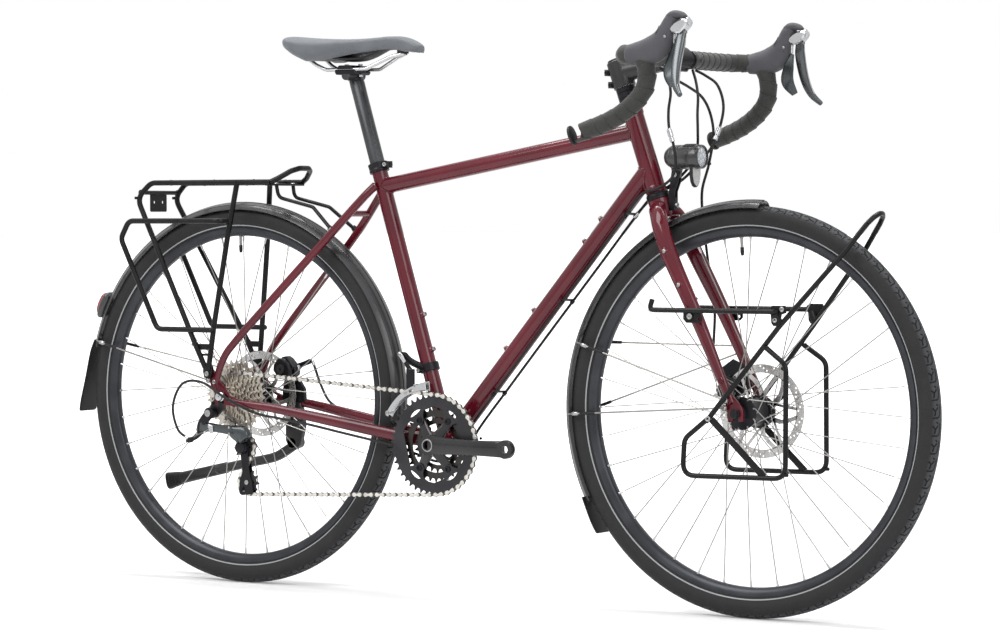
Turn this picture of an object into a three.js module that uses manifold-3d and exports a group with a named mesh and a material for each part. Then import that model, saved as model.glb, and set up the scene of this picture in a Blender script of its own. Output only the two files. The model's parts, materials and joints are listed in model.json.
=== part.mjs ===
// A touring bicycle with drop bar, triple crank, disc brakes, mudguards and racks.
// Millimetres. +X is forward, +Y is the rider's left, +Z is up, and the tyres stand on Z = 0.
// Each length below is measured from the rear axle forward and from the ground up.
import * as THREE from "three";
import { mergeVertices } from "three/addons/utils/BufferGeometryUtils.js";
import Module from "manifold-3d";

const wasm = await Module();
wasm.setup();

// Driving dimensions
const wheelbase = 1062;
const tyreRadius = 349;
const tyreWidth = 38;
const axleHeight = tyreRadius;
const bottomBracketX = 453.5;
const bottomBracketZ = 275.3;
const seatAngle = 73.1;
const headAngle = 71;
const headFootX = 880.5;
const headFootZ = 720;
const headTubeLength = 152;
const seatTubeLength = 522;
const seatPostTop = 682;
const crankLength = 172.5;
const rearSpacing = 135;
const frontSpacing = 100;
const chainPitch = 12.7;

// Clearances and cutting overrun
const fitGap = 0.3;
const runGap = 0.8;
const overrun = 3;
const weld = 0.001;
const trim = 0.2;

// Facet counts
const wheelSides = 28;
const tubeSides = 10;
const wireSides = 4;
const degree = Math.PI / 180;
const bendStep = 46 * degree;

// Finishes: colour, roughness, metalness
const finishes = {
  framePaint: [0x641e2d, 0.25, 0.3],
  blackPaint: [0x1b1b1d, 0.4, 0.2],
  blackAlloy: [0x26272a, 0.45, 0.6],
  silverAlloy: [0xb9bbbe, 0.3, 0.9],
  steel: [0x9a9b9c, 0.3, 1],
  rimAlloy: [0x3a3b3e, 0.45, 0.6],
  rubber: [0x1d1d1d, 0.85, 0],
  barTape: [0x3a3a39, 0.8, 0],
  hoodRubber: [0x55565a, 0.7, 0],
  saddleCover: [0x64676b, 0.75, 0],
  guardPlastic: [0x1c1d1f, 0.35, 0],
  clearPlastic: [0xd8dadc, 0.15, 0],
  redLens: [0x8a1018, 0.2, 0],
};

const up = new THREE.Vector3(0, 1, 0);
const bicycle = new THREE.Group();

function at(x, y, z) {
  return new THREE.Vector3(x, y, z);
}

function between(a, b, share) {
  return a.clone().lerp(b, share);
}

// Solids: a closed geometry becomes a solid, and solids are joined or cut.
function signedVolume(places, corners) {
  const [a, b, c] = [new THREE.Vector3(), new THREE.Vector3(), new THREE.Vector3()];
  let sum = 0;
  for (let i = 0; i < corners.length; i += 3) {
    a.fromBufferAttribute(places, corners[i]);
    b.fromBufferAttribute(places, corners[i + 1]);
    c.fromBufferAttribute(places, corners[i + 2]);
    sum += a.dot(b.cross(c));
  }
  return sum;
}

function solid(geometry) {
  const source = geometry.index ? geometry.toNonIndexed() : geometry;
  const bare = new THREE.BufferGeometry();
  bare.setAttribute("position", source.getAttribute("position"));
  const merged = mergeVertices(bare, weld);
  const corners = new Uint32Array(merged.index.array);
  if (signedVolume(merged.getAttribute("position"), corners) < 0) {
    for (let i = 0; i < corners.length; i += 3) {
      [corners[i + 1], corners[i + 2]] = [corners[i + 2], corners[i + 1]];
    }
  }
  const mesh = new wasm.Mesh({
    numProp: 3,
    vertProperties: new Float32Array(merged.getAttribute("position").array),
    triVerts: corners,
  });
  mesh.merge();
  return new wasm.Manifold(mesh);
}

function fuse(...bodies) {
  return wasm.Manifold.union(bodies);
}

function cut(body, ...tools) {
  return tools.reduce((rest, tool) => rest.subtract(tool), body);
}

function largest(body) {
  return body.decompose().sort((a, b) => b.volume() - a.volume())[0];
}

function geometryOf(body) {
  const mesh = body.getMesh();
  const places = new Float32Array(mesh.numVert * 3);
  for (let i = 0; i < mesh.numVert; i++) {
    places.set(mesh.vertProperties.subarray(i * mesh.numProp, i * mesh.numProp + 3), i * 3);
  }
  const geometry = new THREE.BufferGeometry();
  geometry.setAttribute("position", new THREE.BufferAttribute(places, 3));
  geometry.setIndex(new THREE.BufferAttribute(new Uint32Array(mesh.triVerts), 1));
  geometry.computeVertexNormals();
  return geometry;
}

function mirrored(body) {
  return solid(geometryOf(body).scale(1, -1, 1));
}

function turned(body, angle, centre) {
  const geometry = geometryOf(body);
  geometry.translate(-centre.x, -centre.y, -centre.z);
  geometry.rotateY(angle);
  geometry.translate(centre.x, centre.y, centre.z);
  return solid(geometry);
}

function shifted(body, x, y, z) {
  return solid(geometryOf(body).translate(x, y, z));
}

function add(name, body, finish, parent = bicycle) {
  const [color, roughness, metalness] = finishes[finish];
  const material = new THREE.MeshStandardMaterial({ color, roughness, metalness });
  const lean = solid(geometryOf(body)).simplify(trim);
  const mesh = new THREE.Mesh(geometryOf(lean), material);
  mesh.name = name;
  parent.add(mesh);
  return lean;
}

// A rod from a to b, straight or tapered.
function rod(a, b, radius, { sides = tubeSides, endRadius = radius } = {}) {
  const way = b.clone().sub(a);
  const geometry = new THREE.CylinderGeometry(endRadius, radius, way.length(), sides);
  geometry.applyQuaternion(new THREE.Quaternion().setFromUnitVectors(up, way.normalize()));
  const middle = between(a, b, 1 / 2);
  return solid(geometry.translate(middle.x, middle.y, middle.z));
}

// A turned piece on the line from a towards b: its profile is a closed list of [radius, distance along].
function turnedOn(a, b, profile, sides = tubeSides) {
  const points = [...profile, profile[0]].map(([r, h]) => new THREE.Vector2(r, h));
  const geometry = new THREE.LatheGeometry(points, sides);
  const way = b.clone().sub(a).normalize();
  geometry.applyQuaternion(new THREE.Quaternion().setFromUnitVectors(up, way));
  return solid(geometry.translate(a.x, a.y, a.z));
}

function sleeve(a, b, outer, inner, sides = tubeSides) {
  const length = a.distanceTo(b);
  return turnedOn(a, b, [[outer, 0], [outer, length], [inner, length], [inner, 0]], sides);
}

function box(low, high) {
  const size = high.clone().sub(low);
  const middle = between(low, high, 1 / 2);
  const geometry = new THREE.BoxGeometry(size.x, size.y, size.z);
  return solid(geometry.translate(middle.x, middle.y, middle.z));
}

// A path that keeps exactly the points that it is given.
class Route extends THREE.Curve {
  constructor(points) {
    super();
    this.points = points;
  }
  index(u) {
    return Math.round(u * (this.points.length - 1));
  }
  getPoint(u, target = new THREE.Vector3()) {
    return target.copy(this.points[this.index(u)]);
  }
  getPointAt(u, target) {
    return this.getPoint(u, target);
  }
  getTangent(u, target = new THREE.Vector3()) {
    const i = this.index(u);
    const here = this.points[i];
    const before = this.points[Math.max(i - 1, 0)];
    const after = this.points[Math.min(i + 1, this.points.length - 1)];
    target.set(0, 0, 0);
    if (i > 0) target.add(here.clone().sub(before).normalize());
    if (i < this.points.length - 1) target.add(after.clone().sub(here).normalize());
    return target.normalize();
  }
  getTangentAt(u, target) {
    return this.getTangent(u, target);
  }
}

// Corners of a run of points become arcs of one bend radius.
function rounded(points, radius) {
  const run = [points[0].clone()];
  for (let i = 1; i < points.length - 1; i++) {
    const corner = points[i];
    const back = points[i - 1].clone().sub(corner);
    const ahead = points[i + 1].clone().sub(corner);
    const turn = Math.PI - back.angleTo(ahead);
    const half = Math.tan(turn / 2);
    const room = Math.min(back.length(), ahead.length()) / 2;
    const reach = Math.min(radius * half, room * 0.98);
    const bend = reach / Math.max(half, 1e-6);
    back.normalize();
    ahead.normalize();
    const steps = Math.max(1, Math.ceil(turn / bendStep));
    const middle = back.clone().add(ahead).normalize();
    const centre = corner.clone().addScaledVector(middle, bend / Math.cos(turn / 2));
    const start = corner.clone().addScaledVector(back, reach).sub(centre);
    const normal = start.clone().cross(corner.clone().addScaledVector(ahead, reach).sub(centre)).normalize();
    if (turn < degree) {
      run.push(corner.clone());
      continue;
    }
    for (let step = 0; step <= steps; step++) {
      const arm = start.clone().applyAxisAngle(normal, (turn * step) / steps);
      run.push(centre.clone().add(arm));
    }
  }
  run.push(points[points.length - 1].clone());
  return run;
}

function smooth(points, count) {
  return new THREE.CatmullRomCurve3(points, false, "centripetal").getSpacedPoints(count);
}

function circle(radius, sides) {
  const points = [];
  for (let i = 0; i < sides; i++) {
    const angle = (2 * Math.PI * i) / sides;
    points.push(new THREE.Vector2(radius * Math.cos(angle), radius * Math.sin(angle)));
  }
  return points;
}

// A tube or bar along a run of points.
function tube(points, radius, { bend = 0, sides = wireSides } = {}) {
  const run = bend > 0 ? rounded(points, bend) : points;
  const geometry = new THREE.ExtrudeGeometry(new THREE.Shape(circle(radius, sides)), {
    steps: run.length - 1,
    extrudePath: new Route(run),
    bevelEnabled: false,
  });
  return solid(geometry);
}

// A flat bar along a run of points, wide across the run and thin through it.
function strap(points, width, thickness, bend = 0) {
  const run = bend > 0 ? rounded(points, bend) : points;
  return loft(run, run.map(() => width), run.map(() => thickness), { sides: 4, square: true });
}

// A skin over oval sections: wide is measured across, tall square to it.
function loft(points, wides, talls, { sides = 12, across = up, square = false } = {}) {
  const route = new Route(points);
  const last = points.length - 1;
  const places = [];
  points.forEach((point, i) => {
    const tangent = route.getTangent(i / last);
    const side = across.clone().addScaledVector(tangent, -across.dot(tangent)).normalize();
    const rise = tangent.clone().cross(side);
    for (let k = 0; k < sides; k++) {
      const angle = (2 * Math.PI * (k + (square ? 1 / 2 : 0))) / sides;
      const reach = square ? Math.SQRT2 : 1;
      const place = point.clone();
      place.addScaledVector(side, (reach * Math.cos(angle) * wides[i]) / 2);
      place.addScaledVector(rise, (reach * Math.sin(angle) * talls[i]) / 2);
      places.push(place.x, place.y, place.z);
    }
  });
  const corners = [];
  for (let i = 0; i < last; i++) {
    for (let k = 0; k < sides; k++) {
      const [a, b] = [i * sides + k, i * sides + ((k + 1) % sides)];
      corners.push(a, b, b + sides, a, b + sides, a + sides);
    }
  }
  for (let k = 1; k < sides - 1; k++) {
    corners.push(0, k + 1, k, last * sides, last * sides + k, last * sides + k + 1);
  }
  const geometry = new THREE.BufferGeometry();
  geometry.setAttribute("position", new THREE.Float32BufferAttribute(places, 3));
  geometry.setIndex(corners);
  return solid(geometry);
}

// A flat plate that stands in a plane of constant Y and spans y to y + thickness.
function plate(outline, thickness, y, holes = []) {
  const flat = (points) => points.map(([x, z]) => new THREE.Vector2(x, z));
  const shape = new THREE.Shape(flat(outline));
  holes.forEach((hole) => shape.holes.push(new THREE.Path(flat(hole))));
  const geometry = new THREE.ExtrudeGeometry(shape, { depth: thickness, bevelEnabled: false });
  return solid(geometry.rotateX(Math.PI / 2).translate(0, y + thickness, 0));
}

function round(x, z, radius, sides = 12, start = 0) {
  return circle(radius, sides).map((p) => {
    const spun = p.rotateAround(new THREE.Vector2(), start);
    return [x + spun.x, z + spun.y];
  });
}

// Axes of the frame
const bottomBracket = at(bottomBracketX, 0, bottomBracketZ);
const rearAxle = at(0, 0, axleHeight);
const frontAxle = at(wheelbase, 0, axleHeight);
const seatWay = at(-Math.cos(seatAngle * degree), 0, Math.sin(seatAngle * degree));
const headWay = at(-Math.cos(headAngle * degree), 0, Math.sin(headAngle * degree));
const headFoot = at(headFootX, 0, headFootZ);
const onSeat = (distance) => bottomBracket.clone().addScaledVector(seatWay, distance);
const onHead = (distance) => headFoot.clone().addScaledVector(headWay, distance);

// Main tubes
const seatTubeRadius = 14.3;
const seatPostRadius = 13.4;
const seatPostDepth = 110;
const topTubeRadius = 14.3;
const downTubeRadius = 17.45;
const headTubeRadius = 17.4;
const headRingRadius = 18.6;
const headRingLength = 11;
const headBore = 15.4;
const topTubeOnSeat = 480;
const topTubeOnHead = 113;
const downTubeOnHead = 42;
const shellRadius = 20.5;
const shellHalfWidth = 34;
const cupRadius = 22;
const cupWidth = 8;
const spindleRadius = 12;
const bossRadius = 4;
const bossHeight = 3.5;
const bossShares = [0.33, 0.47, 0.72, 0.8];

const headTop = onHead(headTubeLength);
const seatTop = onSeat(seatTubeLength);
const headAround = (gap) => rod(onHead(-overrun), onHead(headTubeLength + overrun), headTubeRadius + gap);
const seatAround = (gap) => rod(bottomBracket, onSeat(seatTubeLength + overrun), seatTubeRadius + gap);
const shellEnd = (side, reach) => bottomBracket.clone().setY(side * reach);
const shellAround = (gap) => {
  const reach = shellHalfWidth + cupWidth;
  return rod(shellEnd(-1, reach), shellEnd(1, reach), shellRadius + gap, { sides: 12 });
};

function makeMainTubes() {
  const ringEnd = headTubeLength - headRingLength;
  const headProfile = [
    [headRingRadius, 0], [headRingRadius, headRingLength], [headTubeRadius, headRingLength + fitGap],
    [headTubeRadius, ringEnd], [headRingRadius, ringEnd + fitGap], [headRingRadius, headTubeLength],
    [headBore, headTubeLength], [headBore, 0],
  ];
  add("head_tube", turnedOn(headFoot, headTop, headProfile), "framePaint");

  const topTube = rod(onSeat(topTubeOnSeat), onHead(topTubeOnHead), topTubeRadius);
  add("top_tube", cut(topTube, headAround(fitGap), seatAround(fitGap)), "framePaint");

  const downEnd = onHead(downTubeOnHead);
  const rise = downEnd.clone().sub(bottomBracket).normalize();
  const outward = at(-rise.z, 0, rise.x);
  const bosses = bossShares.map((share) => {
    const foot = between(bottomBracket, downEnd, share);
    const top = foot.clone().addScaledVector(outward, downTubeRadius + bossHeight);
    return rod(foot, top, bossRadius, { sides: 6 });
  });
  const downTube = fuse(rod(bottomBracket, downEnd, downTubeRadius), ...bosses);
  add("down_tube", cut(downTube, headAround(fitGap), shellAround(fitGap), seatAround(fitGap)), "framePaint");

  const forward = at(seatWay.z, 0, -seatWay.x);
  const cageBosses = [170, 235].map((distance) => {
    const foot = onSeat(distance);
    return rod(foot, foot.clone().addScaledVector(forward, seatTubeRadius + bossHeight), bossRadius, { sides: 6 });
  });
  const cups = rod(shellEnd(-1, shellHalfWidth + cupWidth), shellEnd(1, shellHalfWidth + cupWidth), cupRadius - 2);
  const shell = rod(shellEnd(-1, shellHalfWidth), shellEnd(1, shellHalfWidth), shellRadius, { sides: 12 });
  const seatTube = cut(
    fuse(rod(bottomBracket, seatTop, seatTubeRadius), ...cageBosses, shell, cups),
    rod(onSeat(seatTubeLength - seatPostDepth), onSeat(seatTubeLength + overrun), seatPostRadius + fitGap),
    rod(shellEnd(-1, shellHalfWidth * 2), shellEnd(1, shellHalfWidth * 2), spindleRadius + runGap),
  );
  add("seat_tube", seatTube, "framePaint");
}

// Rear triangle: stays, bridges, hooded dropouts, hanger and skewer in one welded piece
const dropoutInner = rearSpacing / 2;
const dropoutThickness = 6;
const skewerRadius = 2.4;
const skewerNutRadius = 8.5;
const skewerNutLength = 9;
const dropoutMiddle = dropoutInner + dropoutThickness / 2;
const hangerX = -18;
const hangerZ = 319;
const hangerRadius = 9;
const kickMountX = 68;
const chainStayPlaces = [
  [24, 70.5, 341], [60, 69, 336], [110, 63.5, 331], [258, 48.5, 307], [330, 37.5, 294],
  [372, 31.7, 287], [440, 18, 275.5],
];
const chainStayTalls = [13, 15, 17, 21, 22, 22, 24];
const chainStayWides = [9, 11, 13, 16, 15, 14.5, 15];
const seatStayPlaces = [
  [308, 16, 737], [288, 24.5, 716], [226, 41, 649], [108, 57, 531],
  [16, 68.5, 437], [-2, 70, 408], [-11, 70.5, 380], [-13, 70.5, 362],
];
const seatStayWides = [15, 15, 15, 15, 12, 10, 10, 10];
const seatStayTalls = [15, 15, 15, 15, 14, 14, 13, 13];
const stayRadius = 8;
const bridgeRadius = 6;
const guardCrown = 358;

function stay(places, wides, talls) {
  return loft(places.map(([x, y, z]) => at(x, -y, z)), wides, talls, { sides: 8 });
}

function dropout() {
  const outline = [
    [-22, axleHeight + 18], [-32, axleHeight + 40], [-20, axleHeight + 50], [0, axleHeight + 26],
    [22, axleHeight + 2], [40, axleHeight - 6], [38, axleHeight - 18], [14, axleHeight - 14],
    [12, axleHeight - 16], [-12, axleHeight - 16], [-16, axleHeight - 6],
  ];
  return plate(outline, dropoutThickness, -dropoutInner - dropoutThickness);
}

function skewer(spacing, wall, centre) {
  const outer = spacing / 2 + wall;
  const end = (y) => centre.clone().setY(y);
  const shaft = rod(end(-outer), end(outer), skewerRadius, { sides: 6 });
  const nut = rod(end(-outer - skewerNutLength), end(-outer), skewerNutRadius, { sides: 8 });
  const cam = rod(end(outer), end(outer + skewerNutLength), skewerNutRadius, { sides: 8 });
  const leverRoot = end(outer + skewerNutLength / 2);
  const leverTip = leverRoot.clone().add(at(-38, 7, 22));
  const lever = loft([leverRoot, between(leverRoot, leverTip, 1 / 2), leverTip], [6, 5, 4], [11, 12, 9], { sides: 6 });
  return fuse(shaft, nut, cam, lever);
}

function makeRearTriangle() {
  const side = fuse(
    stay(chainStayPlaces, chainStayWides, chainStayTalls),
    stay(seatStayPlaces, seatStayWides, seatStayTalls),
    dropout(),
  );
  const hanger = plate(
    [[-16, axleHeight - 4], [10, axleHeight - 14], [-6, axleHeight - 32], [hangerX + 6, hangerZ - hangerRadius],
      [hangerX - 6, hangerZ - hangerRadius], [hangerX - hangerRadius - 1, hangerZ], [-26, axleHeight - 18]],
    dropoutThickness, -dropoutInner - dropoutThickness,
  );
  const bridge = (places, index, share) => {
    const [a, b] = [places[index], places[index + 1]];
    const [x, y, z] = a.map((value, i) => value + (b[i] - value) * share);
    return rod(at(x, -y, z), at(x, y, z), bridgeRadius, { sides: 8 });
  };
  const body = fuse(
    side, mirrored(side), hanger,
    bridge(seatStayPlaces, 1, 0.45),
    bridge(chainStayPlaces, 4, 0.98),
    skewer(rearSpacing, dropoutThickness, rearAxle),
  );
  add("rear_triangle", cut(body, seatAround(fitGap), shellAround(fitGap)), "framePaint");
}

// Seat post, collar, rails and saddle
const collarRadius = 18.5;
const collarHeight = 17;
const postHeadZ = 936;
const railRadius = 3.5;
const railHalfGap = 22;
const railZ = 946.5;
const postHead = onSeat(seatPostTop);
const yokeLength = 44;
const saddleRearX = 120;
const saddleLength = 278;
const saddleTop = 1003;
const saddleHalfWidth = 74;
const saddleNoseHalf = 19;
const saddleDepth = 34;

const saddleRun = [
  at(158, 0, 977), at(160, -30, 974), at(184, -25, 956), at(204, -railHalfGap, railZ),
  at(292, -railHalfGap, railZ), at(338, -12, 967), at(362, 0, 973),
];

function makeSeat() {
  const collarFoot = onSeat(seatTubeLength - collarHeight + 2);
  const collarTop = onSeat(seatTubeLength + 2);
  const forward = at(seatWay.z, 0, -seatWay.x);
  const back = between(collarFoot, collarTop, 1 / 2).addScaledVector(forward, -collarRadius);
  const lug = rod(back.clone().setY(-11), back.clone().setY(11), 6.5, { sides: 10 });
  const collar = cut(
    fuse(rod(collarFoot, collarTop, collarRadius), lug),
    rod(onSeat(seatTubeLength - collarHeight * 2), onSeat(seatTubeLength), seatTubeRadius + fitGap),
    rod(onSeat(0), onSeat(seatTubeLength + collarHeight), seatPostRadius + fitGap),
  );
  add("seat_collar", collar, "blackAlloy");

  const head = at(postHead.x - 6, 0, postHeadZ);
  const yoke = rod(head.clone().setY(-yokeLength / 2 - 6), head.clone().setY(yokeLength / 2 + 6), 9, { sides: 12 });
  const cradle = box(at(head.x - 24, -28, railZ - railRadius - 6), at(head.x + 20, 28, railZ));
  const top = box(at(head.x - 19, -28, railZ - 1), at(head.x + 16, 28, railZ + railRadius + 4));
  const bolts = [-1, 1].map((end) => rod(
    at(head.x + end * 15, 0, postHeadZ - 14), at(head.x + end * 15, 0, railZ + railRadius + 7), 4, { sides: 8 },
  ));
  const post = fuse(rod(onSeat(seatTubeLength - seatPostDepth + 5), postHead, seatPostRadius), yoke, cradle, top, ...bolts);
  const runs = [1, -1].map((side) => rod(
    at(head.x - yokeLength, side * railHalfGap, railZ), at(head.x + yokeLength, side * railHalfGap, railZ),
    railRadius + 2 * fitGap, { sides: 8 },
  ));
  add("seatpost", cut(post, ...runs), "blackAlloy");

  const other = saddleRun.slice(1, -1).map((p) => at(p.x, -p.y, p.z)).reverse();
  const rails = fuse(
    tube(rounded([...saddleRun], 12), railRadius, { sides: 5 }),
    tube(rounded([saddleRun[0], ...other.slice().reverse(), saddleRun[6]], 12), railRadius, { sides: 5 }),
  );
  add("saddle_rails", rails, "silverAlloy");
  const pocket = fuse(
    tube(rounded([...saddleRun], 12), railRadius + fitGap, { sides: 5 }),
    tube(rounded([saddleRun[0], ...other.slice().reverse(), saddleRun[6]], 12), railRadius + fitGap, { sides: 5 }),
  );
  add("saddle", cut(makeSaddle(), pocket), "saddleCover");
}

// The saddle is lofted from the tail to the nose; each section is a crowned top over drawn-in skirts.
function makeSaddle() {
  const stations = 14;
  const around = 14;
  const places = [];
  for (let i = 0; i < stations; i++) {
    const share = i / (stations - 1);
    const x = saddleRearX + saddleLength * share;
    const tail = Math.sqrt(1 - Math.max(0, 1 - share / 0.16) ** 2);
    const tip = Math.sqrt(1 - Math.max(0, (share - 0.93) / 0.07) ** 2);
    const waist = 1 / (1 + Math.exp((share - 0.42) * 11));
    const half = (saddleNoseHalf + (saddleHalfWidth - saddleNoseHalf) * waist) * (0.35 + 0.65 * tail) * (0.3 + 0.7 * tip);
    const dip = -5 * Math.sin(Math.PI * Math.min(1, Math.max(0, (share - 0.05) / 0.7)));
    const drop = 24 * Math.max(0, (share - 0.86) / 0.14) ** 2 + 7 * Math.max(0, 1 - share / 0.07) ** 2;
    const crown = saddleTop + 7 * (1 - share) + dip - drop;
    const wing = Math.max(saddleDepth * (0.45 + 0.75 * waist * tail), 16) - drop * 0.4;
    for (let k = 0; k < around; k++) {
      const angle = (2 * Math.PI * k) / around;
      const wide = Math.sign(Math.cos(angle)) * Math.abs(Math.cos(angle)) ** 0.75;
      const top = Math.sin(angle) >= 0;
      const y = half * wide * (top ? 1 : 0.9);
      const edge = crown - wing * 0.42;
      const z = top ? edge + (crown - edge) * Math.sin(angle) ** 0.8 : edge + (wing - (crown - edge)) * Math.sin(angle) * (0.55 + 0.45 * Math.abs(Math.cos(angle)));
      places.push(x, y, z);
    }
  }
  const corners = [];
  for (let i = 0; i < stations - 1; i++) {
    for (let k = 0; k < around; k++) {
      const [a, b] = [i * around + k, i * around + ((k + 1) % around)];
      corners.push(a, b, b + around, a, b + around, a + around);
    }
  }
  const end = (stations - 1) * around;
  for (let k = 1; k < around - 1; k++) corners.push(0, k + 1, k, end, end + k, end + k + 1);
  const geometry = new THREE.BufferGeometry();
  geometry.setAttribute("position", new THREE.Float32BufferAttribute(places, 3));
  geometry.setIndex(corners);
  return solid(geometry);
}

// Wheels. Each is built round its own axle and placed by its group.
const rimOuter = 319.2;
const rimInner = 296;
const rimHalf = 12;
const rimWaist = 8.5;
const spokeCount = 36;
const spokeRadius = 0.9;
const spokeSplay = 1.05;
const crossAngle = 60 * degree;
const flangeThickness = 4;
const hubBore = 3;
const rotorRadius = 80;
const rotorBand = 66;
const rotorThickness = 1.8;
const rotorBolt = 17.4;
const rotorSeat = 21.4;
const rotorArms = 6;
const rearHub = { spacing: rearSpacing, right: 20, left: 34, flange: 23, core: 14, rotorInset: 15.3, stub: 7.2, name: "rear" };
const frontHub = { spacing: frontSpacing, right: 34, left: 22, flange: 22, core: 13, rotorInset: 10.5, stub: 7.5, name: "front" };

function makeWheel(hub, centre) {
  const group = new THREE.Group();
  group.position.copy(centre);
  bicycle.add(group);
  const profileOn = (points) => turnedOn(at(0, 0, 0), at(0, 1, 0), points, wheelSides);
  const tyreTube = tyreWidth / 2;
  const tyreRing = tyreRadius - tyreTube;
  const tyreHalf = [
    [rimOuter + fitGap, rimHalf - 1], [tyreRing, tyreTube], [tyreRing + tyreTube * 0.72, tyreTube * 0.67],
  ];
  const tyre = [...tyreHalf, [tyreRadius, 0], ...tyreHalf.map(([r, y]) => [r, -y]).reverse()];
  add(hub.name + "_tyre", profileOn(tyre), "rubber", group);
  const rimHalfProfile = [[rimInner, rimWaist], [rimOuter, rimHalf]];
  const rim = [...rimHalfProfile, ...rimHalfProfile.map(([r, y]) => [r, -y]).reverse()];
  add(hub.name + "_rim", profileOn(rim), "rimAlloy", group);

  const rotorY = hub.spacing / 2 - hub.rotorInset;
  const seat = rotorY - rotorThickness / 2 - fitGap;
  const end = hub.spacing / 2 - fitGap;
  const core = hub.core;
  const rightFace = -hub.right - flangeThickness;
  const shellProfile = [
    [hubBore, -end], [hub.stub, -end], [hub.stub, rightFace],
    [hub.flange, -hub.right - flangeThickness / 2], [hub.flange, -hub.right + flangeThickness / 2],
    [core, -hub.right + flangeThickness * 2], [core, hub.left - flangeThickness * 2],
    [hub.flange, hub.left - flangeThickness / 2], [hub.flange, hub.left + flangeThickness / 2],
    [rotorBolt, hub.left + flangeThickness], [rotorSeat, seat - fitGap],
    [rotorSeat, seat], [rotorBolt - fitGap, seat + fitGap / 3],
    [rotorBolt - fitGap, rotorY + rotorThickness], [hub.stub, end], [hubBore, end],
  ];
  const shell = turnedOn(at(0, 0, 0), at(0, 1, 0), shellProfile, tubeSides);
  const spokes = [];
  for (const [y, offset] of [[-hub.right, 0], [hub.left, (2 * Math.PI) / spokeCount]]) {
    for (let k = 0; k < spokeCount / 2; k++) {
      const lean = k % 2 ? -1 : 1;
      const root = offset + (4 * Math.PI * k) / spokeCount;
      const rimAngle = root + lean * crossAngle;
      const from = hub.flange - 2.5;
      const to = rimInner * Math.cos(Math.PI / wheelSides) - fitGap;
      const inner = at(from * Math.cos(root), y + lean * spokeSplay, from * Math.sin(root));
      const outer = at(to * Math.cos(rimAngle), lean * spokeSplay, to * Math.sin(rimAngle));
      spokes.push(rod(inner, outer, spokeRadius, { sides: 3 }));
    }
  }
  add(hub.name + "_hub", fuse(shell, ...spokes), "blackAlloy", group);

  const windows = [];
  for (let k = 0; k < rotorArms; k++) {
    const a = (2 * Math.PI * k) / rotorArms;
    const b = a + (2 * Math.PI) / rotorArms;
    const polar = (r, angle) => [r * Math.cos(angle), r * Math.sin(angle)];
    windows.push([
      polar(rotorBolt + 9, a + 0.42), polar(rotorBand - 1, a + 0.62), polar(rotorBand, (a + b) / 2 + 0.35),
      polar(rotorBand - 1, b + 0.46), polar(rotorBolt + 9, b - 0.1),
    ]);
  }
  windows.push(round(0, 0, rotorBolt, tubeSides, Math.PI / 2));
  const rotor = plate(round(0, 0, rotorRadius, 24), rotorThickness, rotorY - rotorThickness / 2, windows);
  add(hub.name + "_rotor", rotor, "steel", group);
  return rotorY;
}

// Sprockets: the root lies under each roller and the tooth stands between two rollers.
const rollerRadius = 2.8;
const toothRoot = 4.6;
const toothTip = 2.4;
const sprocketThickness = 2;

function pitchRadius(teeth) {
  return chainPitch / (2 * Math.sin(Math.PI / teeth));
}

function sprocketOutline(teeth, phase) {
  const radius = pitchRadius(teeth);
  const points = [];
  const push = (r, angle) => points.push([r * Math.cos(angle), r * Math.sin(angle)]);
  for (let k = 0; k < teeth; k++) {
    const gap = phase + (2 * Math.PI * k) / teeth;
    const tooth = gap + Math.PI / teeth;
    push(radius - toothRoot, gap);
    push(radius + toothTip, tooth);
  }
  return points;
}

// Chain line: the ring, the cog and the two pulleys with the way the chain turns on each.
const ringTeeth = [44, 32, 24];
const ringPlanes = [-49.5, -42, -34.5];
const cogTeeth = [11, 12, 14, 16, 18, 20, 22, 25, 28, 32];
const smallestCogY = -62.5;
const cogSpacing = 3.95;
const chainCog = 6;
const pulleyTeeth = 11;
const guidePlace = [29, 255];
const cageLength = 65;
const cageLean = -86 * degree;
const chainY = smallestCogY + chainCog * cogSpacing;
const plateThickness = 1.2;
const chainInner = 2.8;
const linkHalfHeight = 4.1;
const chainLead = 4 * chainPitch;

function chainCircles(lean) {
  return [
    { x: bottomBracketX, z: bottomBracketZ, teeth: ringTeeth[0], turn: 1, y: ringPlanes[0] },
    { x: 0, z: axleHeight, teeth: cogTeeth[chainCog], turn: 1, y: chainY },
    { x: guidePlace[0], z: guidePlace[1], teeth: pulleyTeeth, turn: -1, y: chainY },
    {
      x: guidePlace[0] + cageLength * Math.cos(lean), z: guidePlace[1] + cageLength * Math.sin(lean),
      teeth: pulleyTeeth, turn: 1, y: chainY,
    },
  ].map((c) => ({ ...c, radius: pitchRadius(c.teeth) }));
}

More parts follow.
